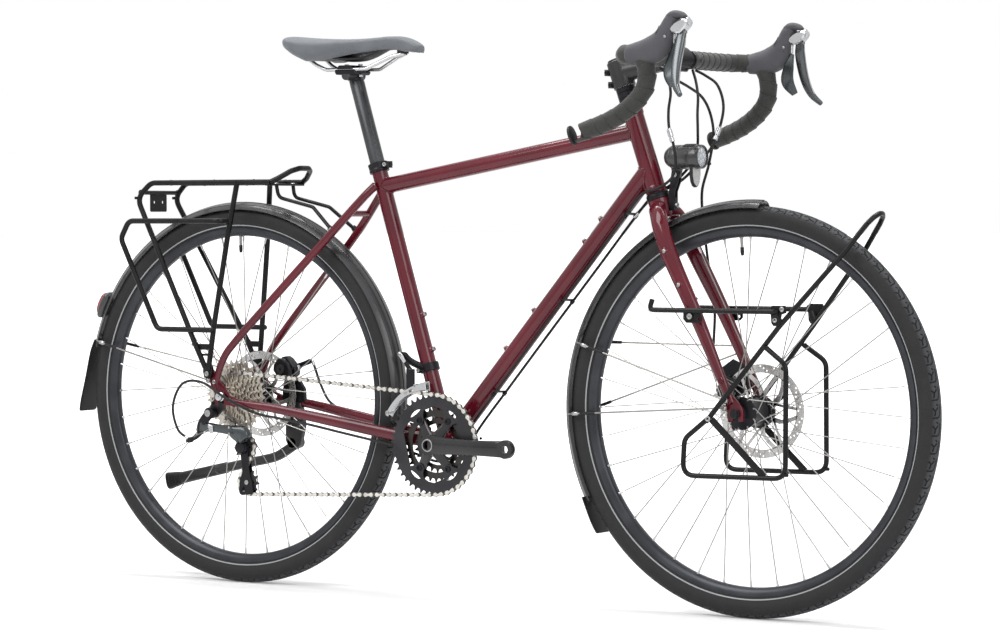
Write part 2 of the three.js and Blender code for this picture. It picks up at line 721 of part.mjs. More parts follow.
function chainPath(lean) {
  const circles = chainCircles(lean);
  const count = circles.length;
  const ways = circles.map((c, i) => {
    const next = circles[(i + 1) % count];
    const [dx, dz] = [next.x - c.x, next.z - c.z];
    const offset = next.turn * next.radius - c.turn * c.radius;
    return Math.atan2(dz, dx) - Math.asin(offset / Math.hypot(dx, dz));
  });
  const pieces = [];
  circles.forEach((c, i) => {
    const [wayIn, wayOut] = [ways[(i + count - 1) % count], ways[i]];
    const start = wayIn - (c.turn * Math.PI) / 2;
    let wrap = (wayOut - wayIn) * c.turn;
    wrap = ((wrap % (2 * Math.PI)) + 2 * Math.PI) % (2 * Math.PI);
    pieces.push({ circle: c, start, wrap, length: (wrap * c.teeth * chainPitch) / (2 * Math.PI) });
    const next = circles[(i + 1) % count];
    const leave = wayOut - (c.turn * Math.PI) / 2;
    const meet = wayOut - (next.turn * Math.PI) / 2;
    const from = at(c.x + c.radius * Math.cos(leave), c.y, c.z + c.radius * Math.sin(leave));
    const to = at(next.x + next.radius * Math.cos(meet), next.y, next.z + next.radius * Math.sin(meet));
    pieces.push({ from, to, length: from.distanceTo(to) });
  });
  return pieces;
}

// The cage swings until the chain holds a whole, even number of links.
function settledChain() {
  const total = (lean) => chainPath(lean).reduce((sum, piece) => sum + piece.length, 0);
  const links = 2 * Math.round(total(cageLean) / chainPitch / 2);
  let [low, high] = [cageLean - 25 * degree, cageLean + 25 * degree];
  const rising = total(high) > total(low);
  for (let i = 0; i < 60; i++) {
    const middle = (low + high) / 2;
    if (total(middle) > links * chainPitch === rising) high = middle;
    else low = middle;
  }
  return { lean: (low + high) / 2, links, pieces: chainPath((low + high) / 2) };
}

const chain = settledChain();
const cageTip = chainCircles(chain.lean)[3];

function chainRollers() {
  const rollers = [];
  const phases = new Map();
  let passed = 0;
  let k = 0;
  for (const piece of chain.pieces) {
    while (k < chain.links && k * chainPitch < passed + piece.length - weld) {
      const along = k * chainPitch - passed;
      if (piece.circle) {
        const c = piece.circle;
        const angle = piece.start + (c.turn * along * 2 * Math.PI) / (c.teeth * chainPitch);
        if (!phases.has(c)) phases.set(c, angle);
        const place = at(c.x + c.radius * Math.cos(angle), c.y, c.z + c.radius * Math.sin(angle));
        rollers.push({ place, angle, held: c.teeth > pulleyTeeth ? "wheel" : "pulley" });
      } else {
        const place = between(piece.from, piece.to, along / piece.length);
        const slant = (along - chainLead) / Math.max(piece.length - 2 * chainLead, chainPitch);
        place.y = piece.from.y + (piece.to.y - piece.from.y) * Math.min(Math.max(slant, 0), 1);
        rollers.push({ place, held: "none" });
      }
      k += 1;
    }
    passed += piece.length;
  }
  return { rollers, phases: [...phases.values()] };
}

const { rollers, phases } = chainRollers();

function chainStrip(indices, y0, y1) {
  const count = rollers.length;
  const place = (i) => rollers[((i % count) + count) % count].place;
  const places = [];
  indices.forEach((i) => {
    const centre = place(i);
    const ahead = place(i + 1).clone().sub(place(i - 1)).setY(0).normalize().multiplyScalar(linkHalfHeight);
    for (const [side, y] of [[1, y0], [1, y1], [-1, y1], [-1, y0]]) {
      places.push(centre.x - side * ahead.z, centre.y + y, centre.z + side * ahead.x);
    }
  });
  const corners = [];
  const total = indices.length;
  for (let i = 0; i < total - 1; i++) {
    for (let k = 0; k < 4; k++) {
      const [a, b] = [i * 4 + k, i * 4 + ((k + 1) % 4)];
      corners.push(a, b, b + 4, a, b + 4, a + 4);
    }
  }
  const end = (total - 1) * 4;
  corners.push(0, 2, 1, 0, 3, 2, end, end + 1, end + 2, end, end + 2, end + 3);
  const geometry = new THREE.BufferGeometry();
  geometry.setAttribute("position", new THREE.Float32BufferAttribute(places, 3));
  geometry.setIndex(corners);
  return solid(geometry);
}

function makeChain() {
  const count = rollers.length;
  const wide = chainInner / 2 + plateThickness;
  const circles = chainCircles(chain.lean);
  const near = (i) => circles.some((c) => {
    const { place } = rollers[i % count];
    return Math.hypot(place.x - c.x, place.z - c.z) < c.radius + toothTip + 2 * linkHalfHeight;
  });
  const groups = [];
  const start = rollers.findIndex((r, i) => near(i) && !near((i + count - 1) % count));
  for (let n = 0; n < count; n++) {
    const i = start + n;
    const state = near(i % count);
    if (!groups.length || groups[groups.length - 1].state !== state) groups.push({ state, indices: [] });
    groups[groups.length - 1].indices.push(i);
  }
  const bodies = [];
  for (const { state, indices } of groups) {
    if (state) {
      bodies.push(chainStrip(indices, -wide, -chainInner / 2));
      bodies.push(chainStrip(indices, chainInner / 2, wide));
      const half = wide - plateThickness / 2;
      for (const { place, angle } of indices.map((i) => rollers[i % count]).filter((r) => r.held === "wheel")) {
        bodies.push(plate(round(place.x, place.z, rollerRadius, 3, angle), 2 * half, place.y - half));
      }
    } else {
      const whole = [indices[0] - 1, ...indices, indices[indices.length - 1] + 1];
      bodies.push(chainStrip(whole, -wide, wide));
    }
  }
  add("chain", fuse(...bodies), "silverAlloy");
}

// Cassette
const cogBore = 17.8;
const plainCogSides = 10;
function makeCassette() {
  const group = new THREE.Group();
  group.position.copy(rearAxle);
  bicycle.add(group);
  const cogs = cogTeeth.map((teeth, i) => {
    const y = smallestCogY + i * cogSpacing - sprocketThickness / 2;
    if (i === chainCog) return plate(sprocketOutline(teeth, phases[1]), sprocketThickness, y);
    return plate(round(0, 0, pitchRadius(teeth), plainCogSides), sprocketThickness, y);
  });
  const inner = -rearHub.right - flangeThickness - 2 * fitGap;
  const outer = smallestCogY - sprocketThickness;
  const carrier = rod(at(0, outer, 0), at(0, inner, 0), cogBore, { sides: 10 });
  const bore = rod(at(0, outer - overrun, 0), at(0, inner + overrun, 0), rearHub.stub + 2 * runGap, { sides: 8 });
  add("cassette", cut(fuse(...cogs, carrier), bore), "silverAlloy", group);
}

// Cranks and chainrings, built round the bottom bracket and placed by their group
const crankRest = 1 * degree;
const armFace = 70;
const armBossInner = 44;
const armBossRadius = 19;
const armEndRadius = 16.5;
const armWaist = 27;
const armThickness = 12.5;
const pedalEyeY = 90.5;
const pedalBore = 7;
const ringBoltCircle = 52;
const ringBoltAngles = [54.5, 125.5, 234.5, 305.5].map((a) => a * degree);
const innerBoltCircle = 32;
const ringBoltRadius = 4.8;
const spiderOuter = -47.7;
const spiderInner = -43.8;
const ringBodyInner = [64, 46, 37];
const ringTab = [[64, -14], [46, -8], [43, 0], [46, 8], [64, 14], [66, 32]];

function crankArm(side, forward) {
  const end = at(forward * crankLength, 0, 0);
  const lift = pedalEyeY - armThickness / 2 - (armFace - armThickness / 2);
  const run = [0, 0.3, 0.62, 0.88, 1].map((share) => {
    const rise = Math.min(1, share * 1.35);
    return at(end.x * share, side * (armFace - armThickness / 2 + lift * rise), 0);
  });
  const wides = run.map(() => armThickness);
  const talls = [armBossRadius * 1.7, armWaist + 2, armWaist, armWaist + 3, armEndRadius * 1.9];
  const arm = loft(run, wides, talls, { sides: 8 });
  const boss = rod(at(0, side * armBossInner, 0), at(0, side * armFace, 0), armBossRadius);
  const eye = rod(
    end.clone().setY(side * (pedalEyeY - armThickness)), end.clone().setY(side * pedalEyeY), armEndRadius,
  );
  const hole = rod(end.clone().setY(side * armBossInner), end.clone().setY(side * (pedalEyeY + overrun)), pedalBore, { sides: 8 });
  return { body: fuse(arm, boss, eye), hole };
}

function ring(index, phase) {
  const teeth = ringTeeth[index];
  const outline = sprocketOutline(teeth, phase);
  const y = ringPlanes[index] - sprocketThickness / 2;
  if (index === 2) return sleeve(at(0, y, 0), at(0, y + sprocketThickness, 0), pitchRadius(teeth), ringBodyInner[index], 16);
  if (index === 1) return plate(outline, sprocketThickness, y, [round(0, 0, ringBodyInner[index], 12)]);
  const inner = ringBoltAngles.flatMap((a) => ringTab.map(([r, turn]) => [r * Math.cos(a + turn * degree), r * Math.sin(a + turn * degree)]));
  return plate(outline, sprocketThickness, y, [inner]);
}

function makeCrank() {
  const group = new THREE.Group();
  group.position.copy(bottomBracket);
  bicycle.add(group);
  const right = crankArm(-1, 1);
  const bolts = [];
  const spokes = ringBoltAngles.map((a) => {
    const bolt = at(ringBoltCircle * Math.cos(a), 0, ringBoltCircle * Math.sin(a));
    const tip = bolt.clone().multiplyScalar(1.1).setY((spiderOuter + spiderInner) / 2);
    const root = at(0, spiderOuter - 6, 0);
    bolts.push(rod(bolt.clone().setY(ringPlanes[0] - sprocketThickness * 1.4), bolt.clone().setY(spiderInner), ringBoltRadius, { sides: 6 }));
    return loft([root, between(root, tip, 0.55), tip], [16, 6, spiderInner - spiderOuter], [26, 19, 15], { sides: 4, square: true });
  });
  const innerBosses = ringBoltAngles.map((a) => {
    const place = at(innerBoltCircle * Math.cos(a), 0, innerBoltCircle * Math.sin(a));
    return rod(place.clone().setY(spiderOuter), place.clone().setY(ringPlanes[2] - sprocketThickness / 2 - fitGap), 6, { sides: 6 });
  });
  const seatFor = (index) => {
    const half = sprocketThickness / 2 + fitGap;
    const y = ringPlanes[index];
    return rod(at(0, y - half, 0), at(0, y + half, 0), pitchRadius(ringTeeth[index]), { sides: 16 });
  };
  const keep = rod(at(0, ringPlanes[0] - 20, 0), at(0, ringPlanes[2] + 10, 0), ringBodyInner[1] - 14, { sides: 12 });
  const spiderBody = cut(fuse(...spokes), seatFor(0).subtract(keep), seatFor(1).subtract(keep));
  const bore = rod(at(0, -armFace - overrun, 0), at(0, 0, 0), spindleRadius + fitGap);
  add("crank_arm_right", cut(fuse(right.body, spiderBody, ...bolts, ...innerBosses), right.hole, bore), "blackAlloy", group);

  const left = crankArm(1, -1);
  const spindle = rod(at(0, armFace - 1, 0), at(0, -armFace + 1, 0), spindleRadius);
  const hollow = rod(at(0, armFace + overrun, 0), at(0, -armFace - overrun, 0), spindleRadius - 3, { sides: 8 });
  add("crank_arm_left", cut(fuse(left.body, spindle), left.hole, hollow), "blackAlloy", group);

  const names = ["chainring_outer", "chainring_middle", "chainring_inner"];
  names.forEach((name, i) => {
    const holes = ringBoltAngles.map((a) => {
      const place = at(ringBoltCircle * Math.cos(a), 0, ringBoltCircle * Math.sin(a));
      return rod(place.clone().setY(ringPlanes[0] - 8), place.clone().setY(ringPlanes[1] + 8), ringBoltRadius + fitGap, { sides: 6 });
    });
    const body = ring(i, i === 0 ? phases[0] : 0);
    add(name, i === 0 ? cut(body, ...holes) : body, i === 0 ? "blackAlloy" : "steel", group);
  });
}

// Front derailleur: clamp, one visible link and a cage over the outer ring
const clampOnSeat = 134;
const clampHeight = 14;
const clampRadius = 18;
const linkPivotLow = [-70, 130];
const linkPivotHigh = [-92, 158];
const cageInnerRadius = 95;
const cageOuterRadius = 112;
const cageHalfGap = 5.6;
const cagePlate = 1.4;
const cageArc = [95, 152];

function makeFrontDerailleur() {
  const foot = onSeat(clampOnSeat);
  const band = rod(foot, onSeat(clampOnSeat + clampHeight), clampRadius);
  const [lowX, lowZ] = [bottomBracketX + linkPivotLow[0] + 10, bottomBracketZ + linkPivotLow[1]];
  const [highX, highZ] = [bottomBracketX + linkPivotHigh[0] + 10, bottomBracketZ + linkPivotHigh[1]];
  const arm = loft([at(foot.x - 6, -12, foot.z + 6), at(highX + 12, -19, highZ - 12), at(highX, -23, highZ)], [12, 9, 8], [12, 11, 10], { sides: 6 });
  const hook = rod(at(highX, -20, highZ), at(highX, -29.9, highZ), 4, { sides: 8 });
  add("front_derailleur_clamp", cut(fuse(band, arm, hook), seatAround(fitGap)), "blackAlloy");
  const link = loft(
    [at(lowX, -33.5, lowZ - 2), at(highX - 2, -33.5, highZ + 2)], [6, 6], [13, 11], { sides: 8 },
  );
  add("front_derailleur_link", link, "silverAlloy");

  const polar = (r, a) => [bottomBracketX + r * Math.cos(a * degree), bottomBracketZ + r * Math.sin(a * degree)];
  const cheek = (deeper, y) => {
    const points = [];
    const steps = 5;
    for (let i = 0; i <= steps; i++) points.push(polar(cageOuterRadius + deeper, cageArc[0] + ((cageArc[1] - cageArc[0]) * i) / steps));
    for (let i = steps; i >= 0; i--) points.push(polar(cageInnerRadius - deeper * 0.8, cageArc[0] + ((cageArc[1] - cageArc[0]) * i) / steps));
    return plate(points, cagePlate, y);
  };
  const y0 = ringPlanes[0];
  const bridgeAt = (a, r) => {
    const [x, z] = polar(r, a);
    return rod(at(x, y0 - cageHalfGap - cagePlate, z), at(x, y0 + cageHalfGap + cagePlate, z), 2.6, { sides: 6 });
  };
  const hanger = box(at(lowX - 3, y0 + cageHalfGap, lowZ - 36), at(lowX + 16, -36.5 - 0.9, lowZ + 3));
  const cage = fuse(
    cheek(0, y0 - cageHalfGap - cagePlate), cheek(2, y0 + cageHalfGap),
    bridgeAt(cageArc[1] - 2, cageOuterRadius - 3), bridgeAt(cageArc[0] + 14, cageOuterRadius - 1), hanger,
  );
  add("front_derailleur_cage", cage, "silverAlloy");
}

// Rear derailleur: hanger knuckle, two links, cage knuckle, cage and two pulleys
const linkReach = at(50, 22, -6);
const outerPivot = at(-34, -88, 293);
const innerPivot = at(-30, -74.5, 293);
const linkHeight = 16;
const linkThickness = 5;
const linkSwing = 6.5;
const cagePlateThickness = 1.6;
const cageInside = 4.4;

function makeRearDerailleur() {
  const outerY = -dropoutInner - dropoutThickness;
  const bolt = at(hangerX, outerY - fitGap, hangerZ);
  const barrel = at(-62, -84, 268);
  const knuckle = fuse(
    rod(bolt, bolt.clone().setY(outerY - 16), 9.5, { sides: 10 }),
    loft([bolt.clone().setY(-84), at(-34, -84, 300), at(-38, -84, 282)], [10, 10, 8], [16, 18, 14], { sides: 8 }),
    loft([at(-38, -84, 284), at(-50, -84, 270), barrel], [8, 7, 7], [14, 9, 7], { sides: 8 }),
  );
  const linkBody = (pivot, past = 0.06, wide = 0, tall = 0) => {
    const far = pivot.clone().add(linkReach);
    return loft(
      [pivot.clone().addScaledVector(linkReach, -past), far.clone().addScaledVector(linkReach, past)],
      [linkThickness + wide, linkThickness + wide], [linkHeight + tall, linkHeight + tall], { sides: 8 },
    );
  };
  const pocket = (pivot) => linkBody(pivot, 0.12, linkSwing, 5 * fitGap);
  add("hanger_knuckle", largest(cut(knuckle, pocket(outerPivot), pocket(innerPivot))), "blackAlloy");
  add("outer_link", linkBody(outerPivot), "silverAlloy");
  add("inner_link", linkBody(innerPivot), "blackAlloy");

  const guide = at(guidePlace[0], chainY, guidePlace[1]);
  const tension = at(cageTip.x, chainY, cageTip.z);
  const cageOuterY = chainY - cageInside - cagePlateThickness;
  const head = outerPivot.clone().add(linkReach);
  const knuckleEnd = guide.clone().setY(cageOuterY - fitGap);
  const body = fuse(
    loft([head.clone().add(at(-2, 7, 0)), head.clone().add(at(22, 11, -6)), at(guide.x + 14, -56, guide.z + 14)], [18, 20, 18], [20, 30, 20], { sides: 10 }),
    rod(knuckleEnd, knuckleEnd.clone().setY(-60), 13, { sides: 10 }),
  );
  add("cage_knuckle", largest(cut(body, pocket(outerPivot), pocket(innerPivot))), "blackAlloy");

  const cheek = (y) => {
    const way = tension.clone().sub(guide).setY(0).normalize();
    const side = at(way.z, 0, -way.x);
    const row = (share, half, lean = 0) => {
      const centre = between(guide, tension, share);
      return [centre.clone().addScaledVector(side, half + lean), centre.clone().addScaledVector(side, -half + lean)];
    };
    const left = [];
    const right = [];
    for (const [share, half, lean] of [[-0.14, 6, 0], [0, 10, 0], [0.3, 6.5, 2], [0.72, 6.5, 1], [0.98, 12, 0], [1.16, 9, 2]]) {
      const [a, b] = row(share, half, lean);
      left.push([a.x, a.z]);
      right.unshift([b.x, b.z]);
    }
    return plate([...left, ...right], cagePlateThickness, y);
  };
  const pin = (centre) => rod(centre.clone().setY(cageOuterY), centre.clone().setY(chainY + cageInside + cagePlateThickness), 2.6, { sides: 6 });
  const cage = fuse(cheek(cageOuterY), cheek(chainY + cageInside), pin(guide), pin(tension));
  add("derailleur_cage", cage, "blackAlloy");
  [[guide, "guide_pulley", 2], [tension, "tension_pulley", 3]].forEach(([centre, name, circleIndex]) => {
    const outline = sprocketOutline(pulleyTeeth, phases[circleIndex]).map(([x, z]) => [centre.x + x, centre.z + z]);
    const wheel = plate(outline, sprocketThickness, chainY - sprocketThickness / 2, [round(centre.x, centre.z, 3 + fitGap, 6)]);
    const hub = sleeve(centre.clone().setY(chainY - cageInside + fitGap), centre.clone().setY(chainY + cageInside - fitGap), 7, 3 + fitGap, 6);
    add(name, fuse(wheel, hub), "blackAlloy");
  });
}

// Disc calipers: a body astride the rotor, a foot on the stay or fork blade, and a cable arm
const padRadius = 72;
const caliperLength = 46;
const caliperHeight = 40;
const caliperInner = 13;
const caliperOuter = 20;
const armPivotRadius = 9;

function caliper(name, centre, rotorY, angle, foot, armAngle, obstacles) {
  const place = centre.clone().add(at(padRadius * Math.cos(angle), rotorY, padRadius * Math.sin(angle)));
  const radial = at(Math.cos(angle), 0, Math.sin(angle));
  const along = at(-Math.sin(angle), 0, Math.cos(angle));
  const corner = (r, t) => {
    const p = place.clone().addScaledVector(radial, r).addScaledVector(along, t);
    return [p.x, p.z];
  };
  const [h, l] = [caliperHeight / 2, caliperLength / 2];
  const outline = [
    corner(-h, -l * 0.6), corner(-h * 0.3, -l), corner(h * 0.7, -l), corner(h, -l * 0.5),
    corner(h, l * 0.5), corner(h * 0.7, l), corner(-h * 0.3, l), corner(-h, l * 0.6),
  ];
  const block = plate(outline, caliperInner + caliperOuter, rotorY - caliperInner);
  const turret = rod(place.clone().setY(rotorY + caliperOuter - 1), place.clone().setY(rotorY + caliperOuter + 3), 13, { sides: 10 });
  const slot = turnedOn(
    at(centre.x, rotorY - rotorThickness / 2 - runGap, centre.z), at(centre.x, rotorY + caliperOuter, centre.z),
    [[0, 0], [rotorRadius + 2, 0], [rotorRadius + 2, rotorThickness + 2 * runGap], [0, rotorThickness + 2 * runGap]], 36,
  );
  const body = cut(fuse(block, turret, foot), slot, ...obstacles);
  add(name, largest(body), "blackAlloy");
  const armY = rotorY + caliperOuter + 3 + fitGap + 2.5;
  const hub = place.clone().setY(armY);
  const tip = hub.clone().add(at(42 * Math.cos(armAngle), 0, 42 * Math.sin(armAngle)));
  const lever = fuse(
    rod(hub.clone().setY(armY - 2.5), hub.clone().setY(armY + 3.5), armPivotRadius, { sides: 10 }),
    loft([hub, between(hub, tip, 0.6), tip], [5, 4.5, 4.5], [15, 11, 10], { sides: 6 }),
    rod(tip.clone().setY(armY - 4), tip.clone().setY(armY + 4), 4, { sides: 6 }),
  );
  add(name + "_arm", lever, "blackAlloy");
  return { hub, tip };
}

// Fork: steerer, crown, two bent blades, dropouts and skewer; lower headset cup on top of the crown
const steererRadius = 14.2;
const crownRadius = 15;
const crownHeight = 32;
const cupHeight = 12;
const headsetRadius = 20.5;
const stemFoot = 192;
const stemHeight = 48;
const stemRadius = 20;
const spacerRadius = 17;
const bladePlaces = [
  [889, 14, 693], [901, 31, 680], [912, 40, 656], [930, 45.5, 616], [985, 51, 511], [1041, 54, 393], [1053, 54, 366],
];
const bladeTalls = [34, 32, 31, 30, 25, 17, 15];
const bladeWides = [26, 23, 22, 21, 18, 13, 11];
const frontTip = 6;

const blade = (side, grow = 0) => loft(
  bladePlaces.map(([x, y, z]) => at(x, side * y, z)),
  bladeWides.map((w) => w + grow), bladeTalls.map((t) => t + grow), { sides: 8 },
);

const crownBody = (gap) => rod(
  onHead(-cupHeight - fitGap + gap), onHead(-cupHeight - crownHeight - gap), headsetRadius + gap, { endRadius: crownRadius + gap },
);

function makeFork() {
  const tip = (side) => plate(
    [[-20, 26], [-6, 30], [12, 10], [14, -12], [-14, -12], [-16, 4]].map(([x, z]) => [wheelbase + x, axleHeight + z]),
    frontTip, side > 0 ? frontSpacing / 2 : -frontSpacing / 2 - frontTip,
  );
  const crown = crownBody(0);
  const lowerCup = turnedOn(onHead(-cupHeight - fitGap), headTop, [
    [headsetRadius, 0], [headsetRadius, cupHeight - 2], [headRingRadius, cupHeight], [0, cupHeight], [0, 0],
  ]);
  const steerer = rod(onHead(-cupHeight - 5), onHead(stemFoot + stemHeight - 2), steererRadius);
  add("fork", fuse(crown, lowerCup, steerer, blade(-1), blade(1), tip(-1), tip(1), skewer(frontSpacing, frontTip, frontAxle)), "framePaint");
}

// Stem with the spacers under it, and the drop bar wound with tape
const barX = 919;
const barZ = 948;
const barStraight = 166;
const barBend = 42;
const barRadius = 15.5;
const barCoreRadius = 13;
const barCentre = at(barX, 0, barZ);
const dropPlaces = [
  [966, 211, 946], [980, 213, 928], [983, 215, 906], [980, 219, 887.5], [967.5, 224, 869],
  [944.5, 229, 849.5], [915.5, 235, 834], [884.5, 241, 822.5], [858, 245, 814],
];
const stemClampHalf = 21;
const tapeStart = 44;

function barRun(side) {
  const straight = [
    at(barX, side * tapeStart, barZ), at(barX, side * (barStraight - barBend / 3), barZ), at(barX + 6, side * (barStraight + 22), barZ),
    at(barX + 22, side * (barStraight + 38), barZ),
  ];
  return [...straight, ...dropPlaces.map(([x, y, z]) => at(x, side * y, z))];
}

const dropSide = (side, grow = 0) => tube(barRun(side), barRadius + grow, { sides: 7 });

function makeCockpit() {
  const foot = onHead(stemFoot);
  const top = onHead(stemFoot + stemHeight);
  const reach = rod(onHead(stemFoot + stemHeight * 0.55), barCentre, 17, { endRadius: 16 });
  const clamp = rod(barCentre.clone().setY(-stemClampHalf), barCentre.clone().setY(stemClampHalf), 20);
  const back = at(-headWay.z, 0, headWay.x);
  const pinch = [0.25, 0.72].map((share) => {
    const place = between(foot, top, share).addScaledVector(back, stemRadius + 2.5);
    return rod(place.clone().setY(-12), place.clone().setY(12), 5.5, { sides: 6 });
  });
  const spacers = rod(onHead(headTubeLength + fitGap), foot, spacerRadius);
  const cap = rod(top, onHead(stemFoot + stemHeight + 4), spacerRadius);
  const stem = cut(
    fuse(rod(foot, top, stemRadius), reach, clamp, spacers, cap, ...pinch),
    rod(onHead(0), onHead(stemFoot + stemHeight), steererRadius + fitGap),
    rod(barCentre.clone().setY(-stemClampHalf * 2), barCentre.clone().setY(stemClampHalf * 2), barCoreRadius + fitGap),
  );
  add("stem", stem, "blackAlloy");
  const core = rod(barCentre.clone().setY(-tapeStart - 2), barCentre.clone().setY(tapeStart + 2), barCoreRadius);
  add("handlebar", fuse(core, dropSide(-1), dropSide(1)), "barTape");
}

// Hoods and levers, written for the right side and mirrored
const hoodPlaces = [
  [948, 210, 956], [970, 212, 953], [995, 212, 955], [1015, 211, 968], [1028, 210, 985], [1035, 209, 1002], [1036, 209, 1014],
];
const hoodNotch = [[998, 922], [1002, 944], [1013, 964], [1024, 982], [1060, 985], [1060, 922]];
const hoodNotchHalf = 9;
const hoodWides = [34, 37, 36, 34, 32, 29, 18];
const hoodTalls = [34, 38, 44, 46, 44, 35, 20];
const leverPivot = at(1022, -211, 973);
const leverTravel = 11.5 * degree;
const noseOutline = [[1027, 986], [1032, 984.2], [1054, 984.2], [1061, 996], [1059, 1003], [1051, 1008], [1043, 1001]];
const noseHalf = 12;
const bladeRun = [[1047, 211.5, 983], [1045, 215, 962], [1045, 226, 931], [1048, 236, 907], [1054, 245, 890], [1067, 255, 875]];
const bladeTall = [15, 18, 17, 15, 12, 8];
const bladeWide = [9, 13, 13, 12, 10, 8];
const paddleRun = [[1031, 210, 962], [1027, 207, 940], [1023, 210, 914], [1033, 219, 892]];
const paddleTall = [10, 19, 24, 12];
const paddleThickness = 3.5;

function makeLevers() {
  const centre = noseOutline.reduce(([a, b], [x, z]) => [a + x / noseOutline.length, b + z / noseOutline.length], [0, 0]);
  const nose = (grow) => plate(
    noseOutline.map(([x, z]) => [x + (x - centre[0]) * grow, z + (z - centre[1]) * grow]),
    2 * noseHalf + grow * 12, -211 - noseHalf - grow * 6,
  );
  const pin = (radius, half) => rod(leverPivot.clone().setY(-211 - half), leverPivot.clone().setY(-211 + half), radius, { sides: 8 });
  const neck = (grow) => loft(
    [leverPivot, at(1036, -211, 991)], [8 + grow, 8 + grow], [9 + grow, 10 + grow], { sides: 6 },
  );
  const bladeBody = loft(bladeRun.map(([x, y, z]) => at(x, -y, z)), bladeWide, bladeTall, { sides: 8 });
  const paddleBody = loft(
    paddleRun.map(([x, y, z]) => at(x, -y, z)), paddleRun.map(() => paddleThickness), paddleTall, { sides: 6 },
  );
  const lug = rod(at(1031, -210, 978), at(1031, -210, 962.7), 3, { sides: 6 });
  const carrier = fuse(nose(0), neck(0), pin(4, 9), lug);
  const swept = [0, 0.25, 0.6, 1].map((share) => turned(fuse(nose(0.16), neck(3 * runGap)), share * leverTravel, leverPivot));
  const hood = cut(
    loft(hoodPlaces.map(([x, y, z]) => at(x, -y, z)), hoodWides, hoodTalls, { sides: 8 }),
    dropSide(-1, fitGap), pin(5, 10), plate(hoodNotch, 2 * hoodNotchHalf, -211 - hoodNotchHalf), ...swept,
  );
  const keep = largest(hood);
  const sides = [["right", (body) => body], ["left", mirrored]];
  for (const [side, place] of sides) {
    add("hood_" + side, place(keep), "hoodRubber");
    add("lever_carrier_" + side, place(carrier), "silverAlloy");
    add("lever_blade_" + side, place(bladeBody), "silverAlloy");
    add("paddle_" + side, place(paddleBody), "blackAlloy");
  }
}

// Headlamp on its bracket
const lampX = [899, 970];
const lampZ = 781;
const lampRadius = 21;
const lampPivot = at(919, 0, 751);

function makeLamp() {
  const start = at(lampX[0], 0, lampZ);
  const end = at(lampX[1], 0, lampZ);
  const length = lampX[1] - lampX[0];
  const body = turnedOn(start, end, [
    [0, 0], [lampRadius * 0.62, 0], [lampRadius * 0.86, length * 0.09], [lampRadius * 0.95, length * 0.16],
    [lampRadius, length * 0.2], [lampRadius, length], [lampRadius - 3, length], [lampRadius - 4, length - 3], [0, length - 2],
  ], 12);
  const ear = plate(
    [[lampPivot.x - 7, lampPivot.z - 6], [lampPivot.x + 7, lampPivot.z - 6], [lampPivot.x + 14, lampZ - 12], [lampPivot.x - 12, lampZ - 12]], 5, -2.5,
  );
  const reflector = plate(
    [[938, lampZ - 12], [962, lampZ - 12], [964, 737], [958, 729], [946, 729], [941, 737]], 5, -2.5,
  );
  const reflectorWide = box(at(952, -15, 729), at(958, 15, lampZ - 16));
  add("headlamp", fuse(body, ear, reflector, reflectorWide), "blackPaint");
  const cheek = (y) => plate(
    [[lampPivot.x - 7, lampPivot.z + 6], [lampPivot.x + 7, lampPivot.z + 6], [918, 722], [918, 706], [906, 706], [907, 725]], 3, y,
  );
  const foot = fuse(
    box(at(906, -6.5, 690), at(918, 6.5, 712)), cheek(-6), cheek(3),
    rod(at(896, 0, 697), at(912, 0, 697), 6, { sides: 10 }),
  );
  const bladeCut = [blade(-1, 2 * fitGap), blade(1, 2 * fitGap)];
  add("headlamp_bracket", cut(foot, crownBody(fitGap), ...bladeCut), "blackAlloy");
}

// Mudguards: a channel swept round the axle, a flap at its tail, and wire stays with clips
const guardHalf = 23;
const guardDepth = 12;
const guardWall = 1.6;
const guardShares = [[1, -1], [0.12, -0.6], [0.12, 0.6], [1, 1]];
const guardStep = 17;
const rearGuardArc = [-6, 166];
const frontGuardArc = [86, 208];
const stayWire = 1.6;

function guard(centre, from, to, lift = 0, wall = guardWall) {
  const steps = Math.round(Math.abs(to - from) / guardStep);
  const outer = guardShares.map(([depth, wide]) => [guardCrown + lift - guardDepth * depth, guardHalf * wide]);
  const inner = guardShares.map(([depth, wide]) => [
    guardCrown - wall - guardDepth * depth, guardHalf * wide - guardWall * Math.sign(wide),
  ]).reverse();
  const section = [...outer, ...inner];
  const places = [];
  for (let i = 0; i <= steps; i++) {
    const angle = (from + ((to - from) * i) / steps) * degree;
    section.forEach(([r, y]) => places.push(centre.x + r * Math.cos(angle), y, centre.z + r * Math.sin(angle)));
  }
  const corners = [];
  const count = section.length;
  for (let i = 0; i < steps; i++) {
    for (let k = 0; k < count; k++) {
      const [a, b] = [i * count + k, i * count + ((k + 1) % count)];
      corners.push(a, b, b + count, a, b + count, a + count);
    }
  }
  for (const [base, flip] of [[0, true], [steps * count, false]]) {
    for (let k = 0; k < guardShares.length - 1; k++) {
      const quad = [base + k, base + k + 1, base + count - 2 - k, base + count - 1 - k];
      const [a, b, c, d] = flip ? [...quad].reverse() : quad;
      corners.push(a, b, c, a, c, d);
    }
  }
  const geometry = new THREE.BufferGeometry();
  geometry.setAttribute("position", new THREE.Float32BufferAttribute(places, 3));
  geometry.setIndex(corners);
  return solid(geometry);
}

function guardStay(centre, angle, end) {
  const r = guardCrown - guardDepth;
  const a = angle * degree;
  const side = Math.sign(end.y);
  const top = at(centre.x + r * Math.cos(a), side * (guardHalf - 1), centre.z + r * Math.sin(a));
  const out = between(top, end, 0.04).setY(side * (guardHalf + 4));
  const wire = tube([top, out, end], stayWire);
  const cover = rod(between(out, end, 0.02), between(out, end, 0.14), stayWire + 1.4, { sides: 5 });
  return fuse(wire, cover);
}

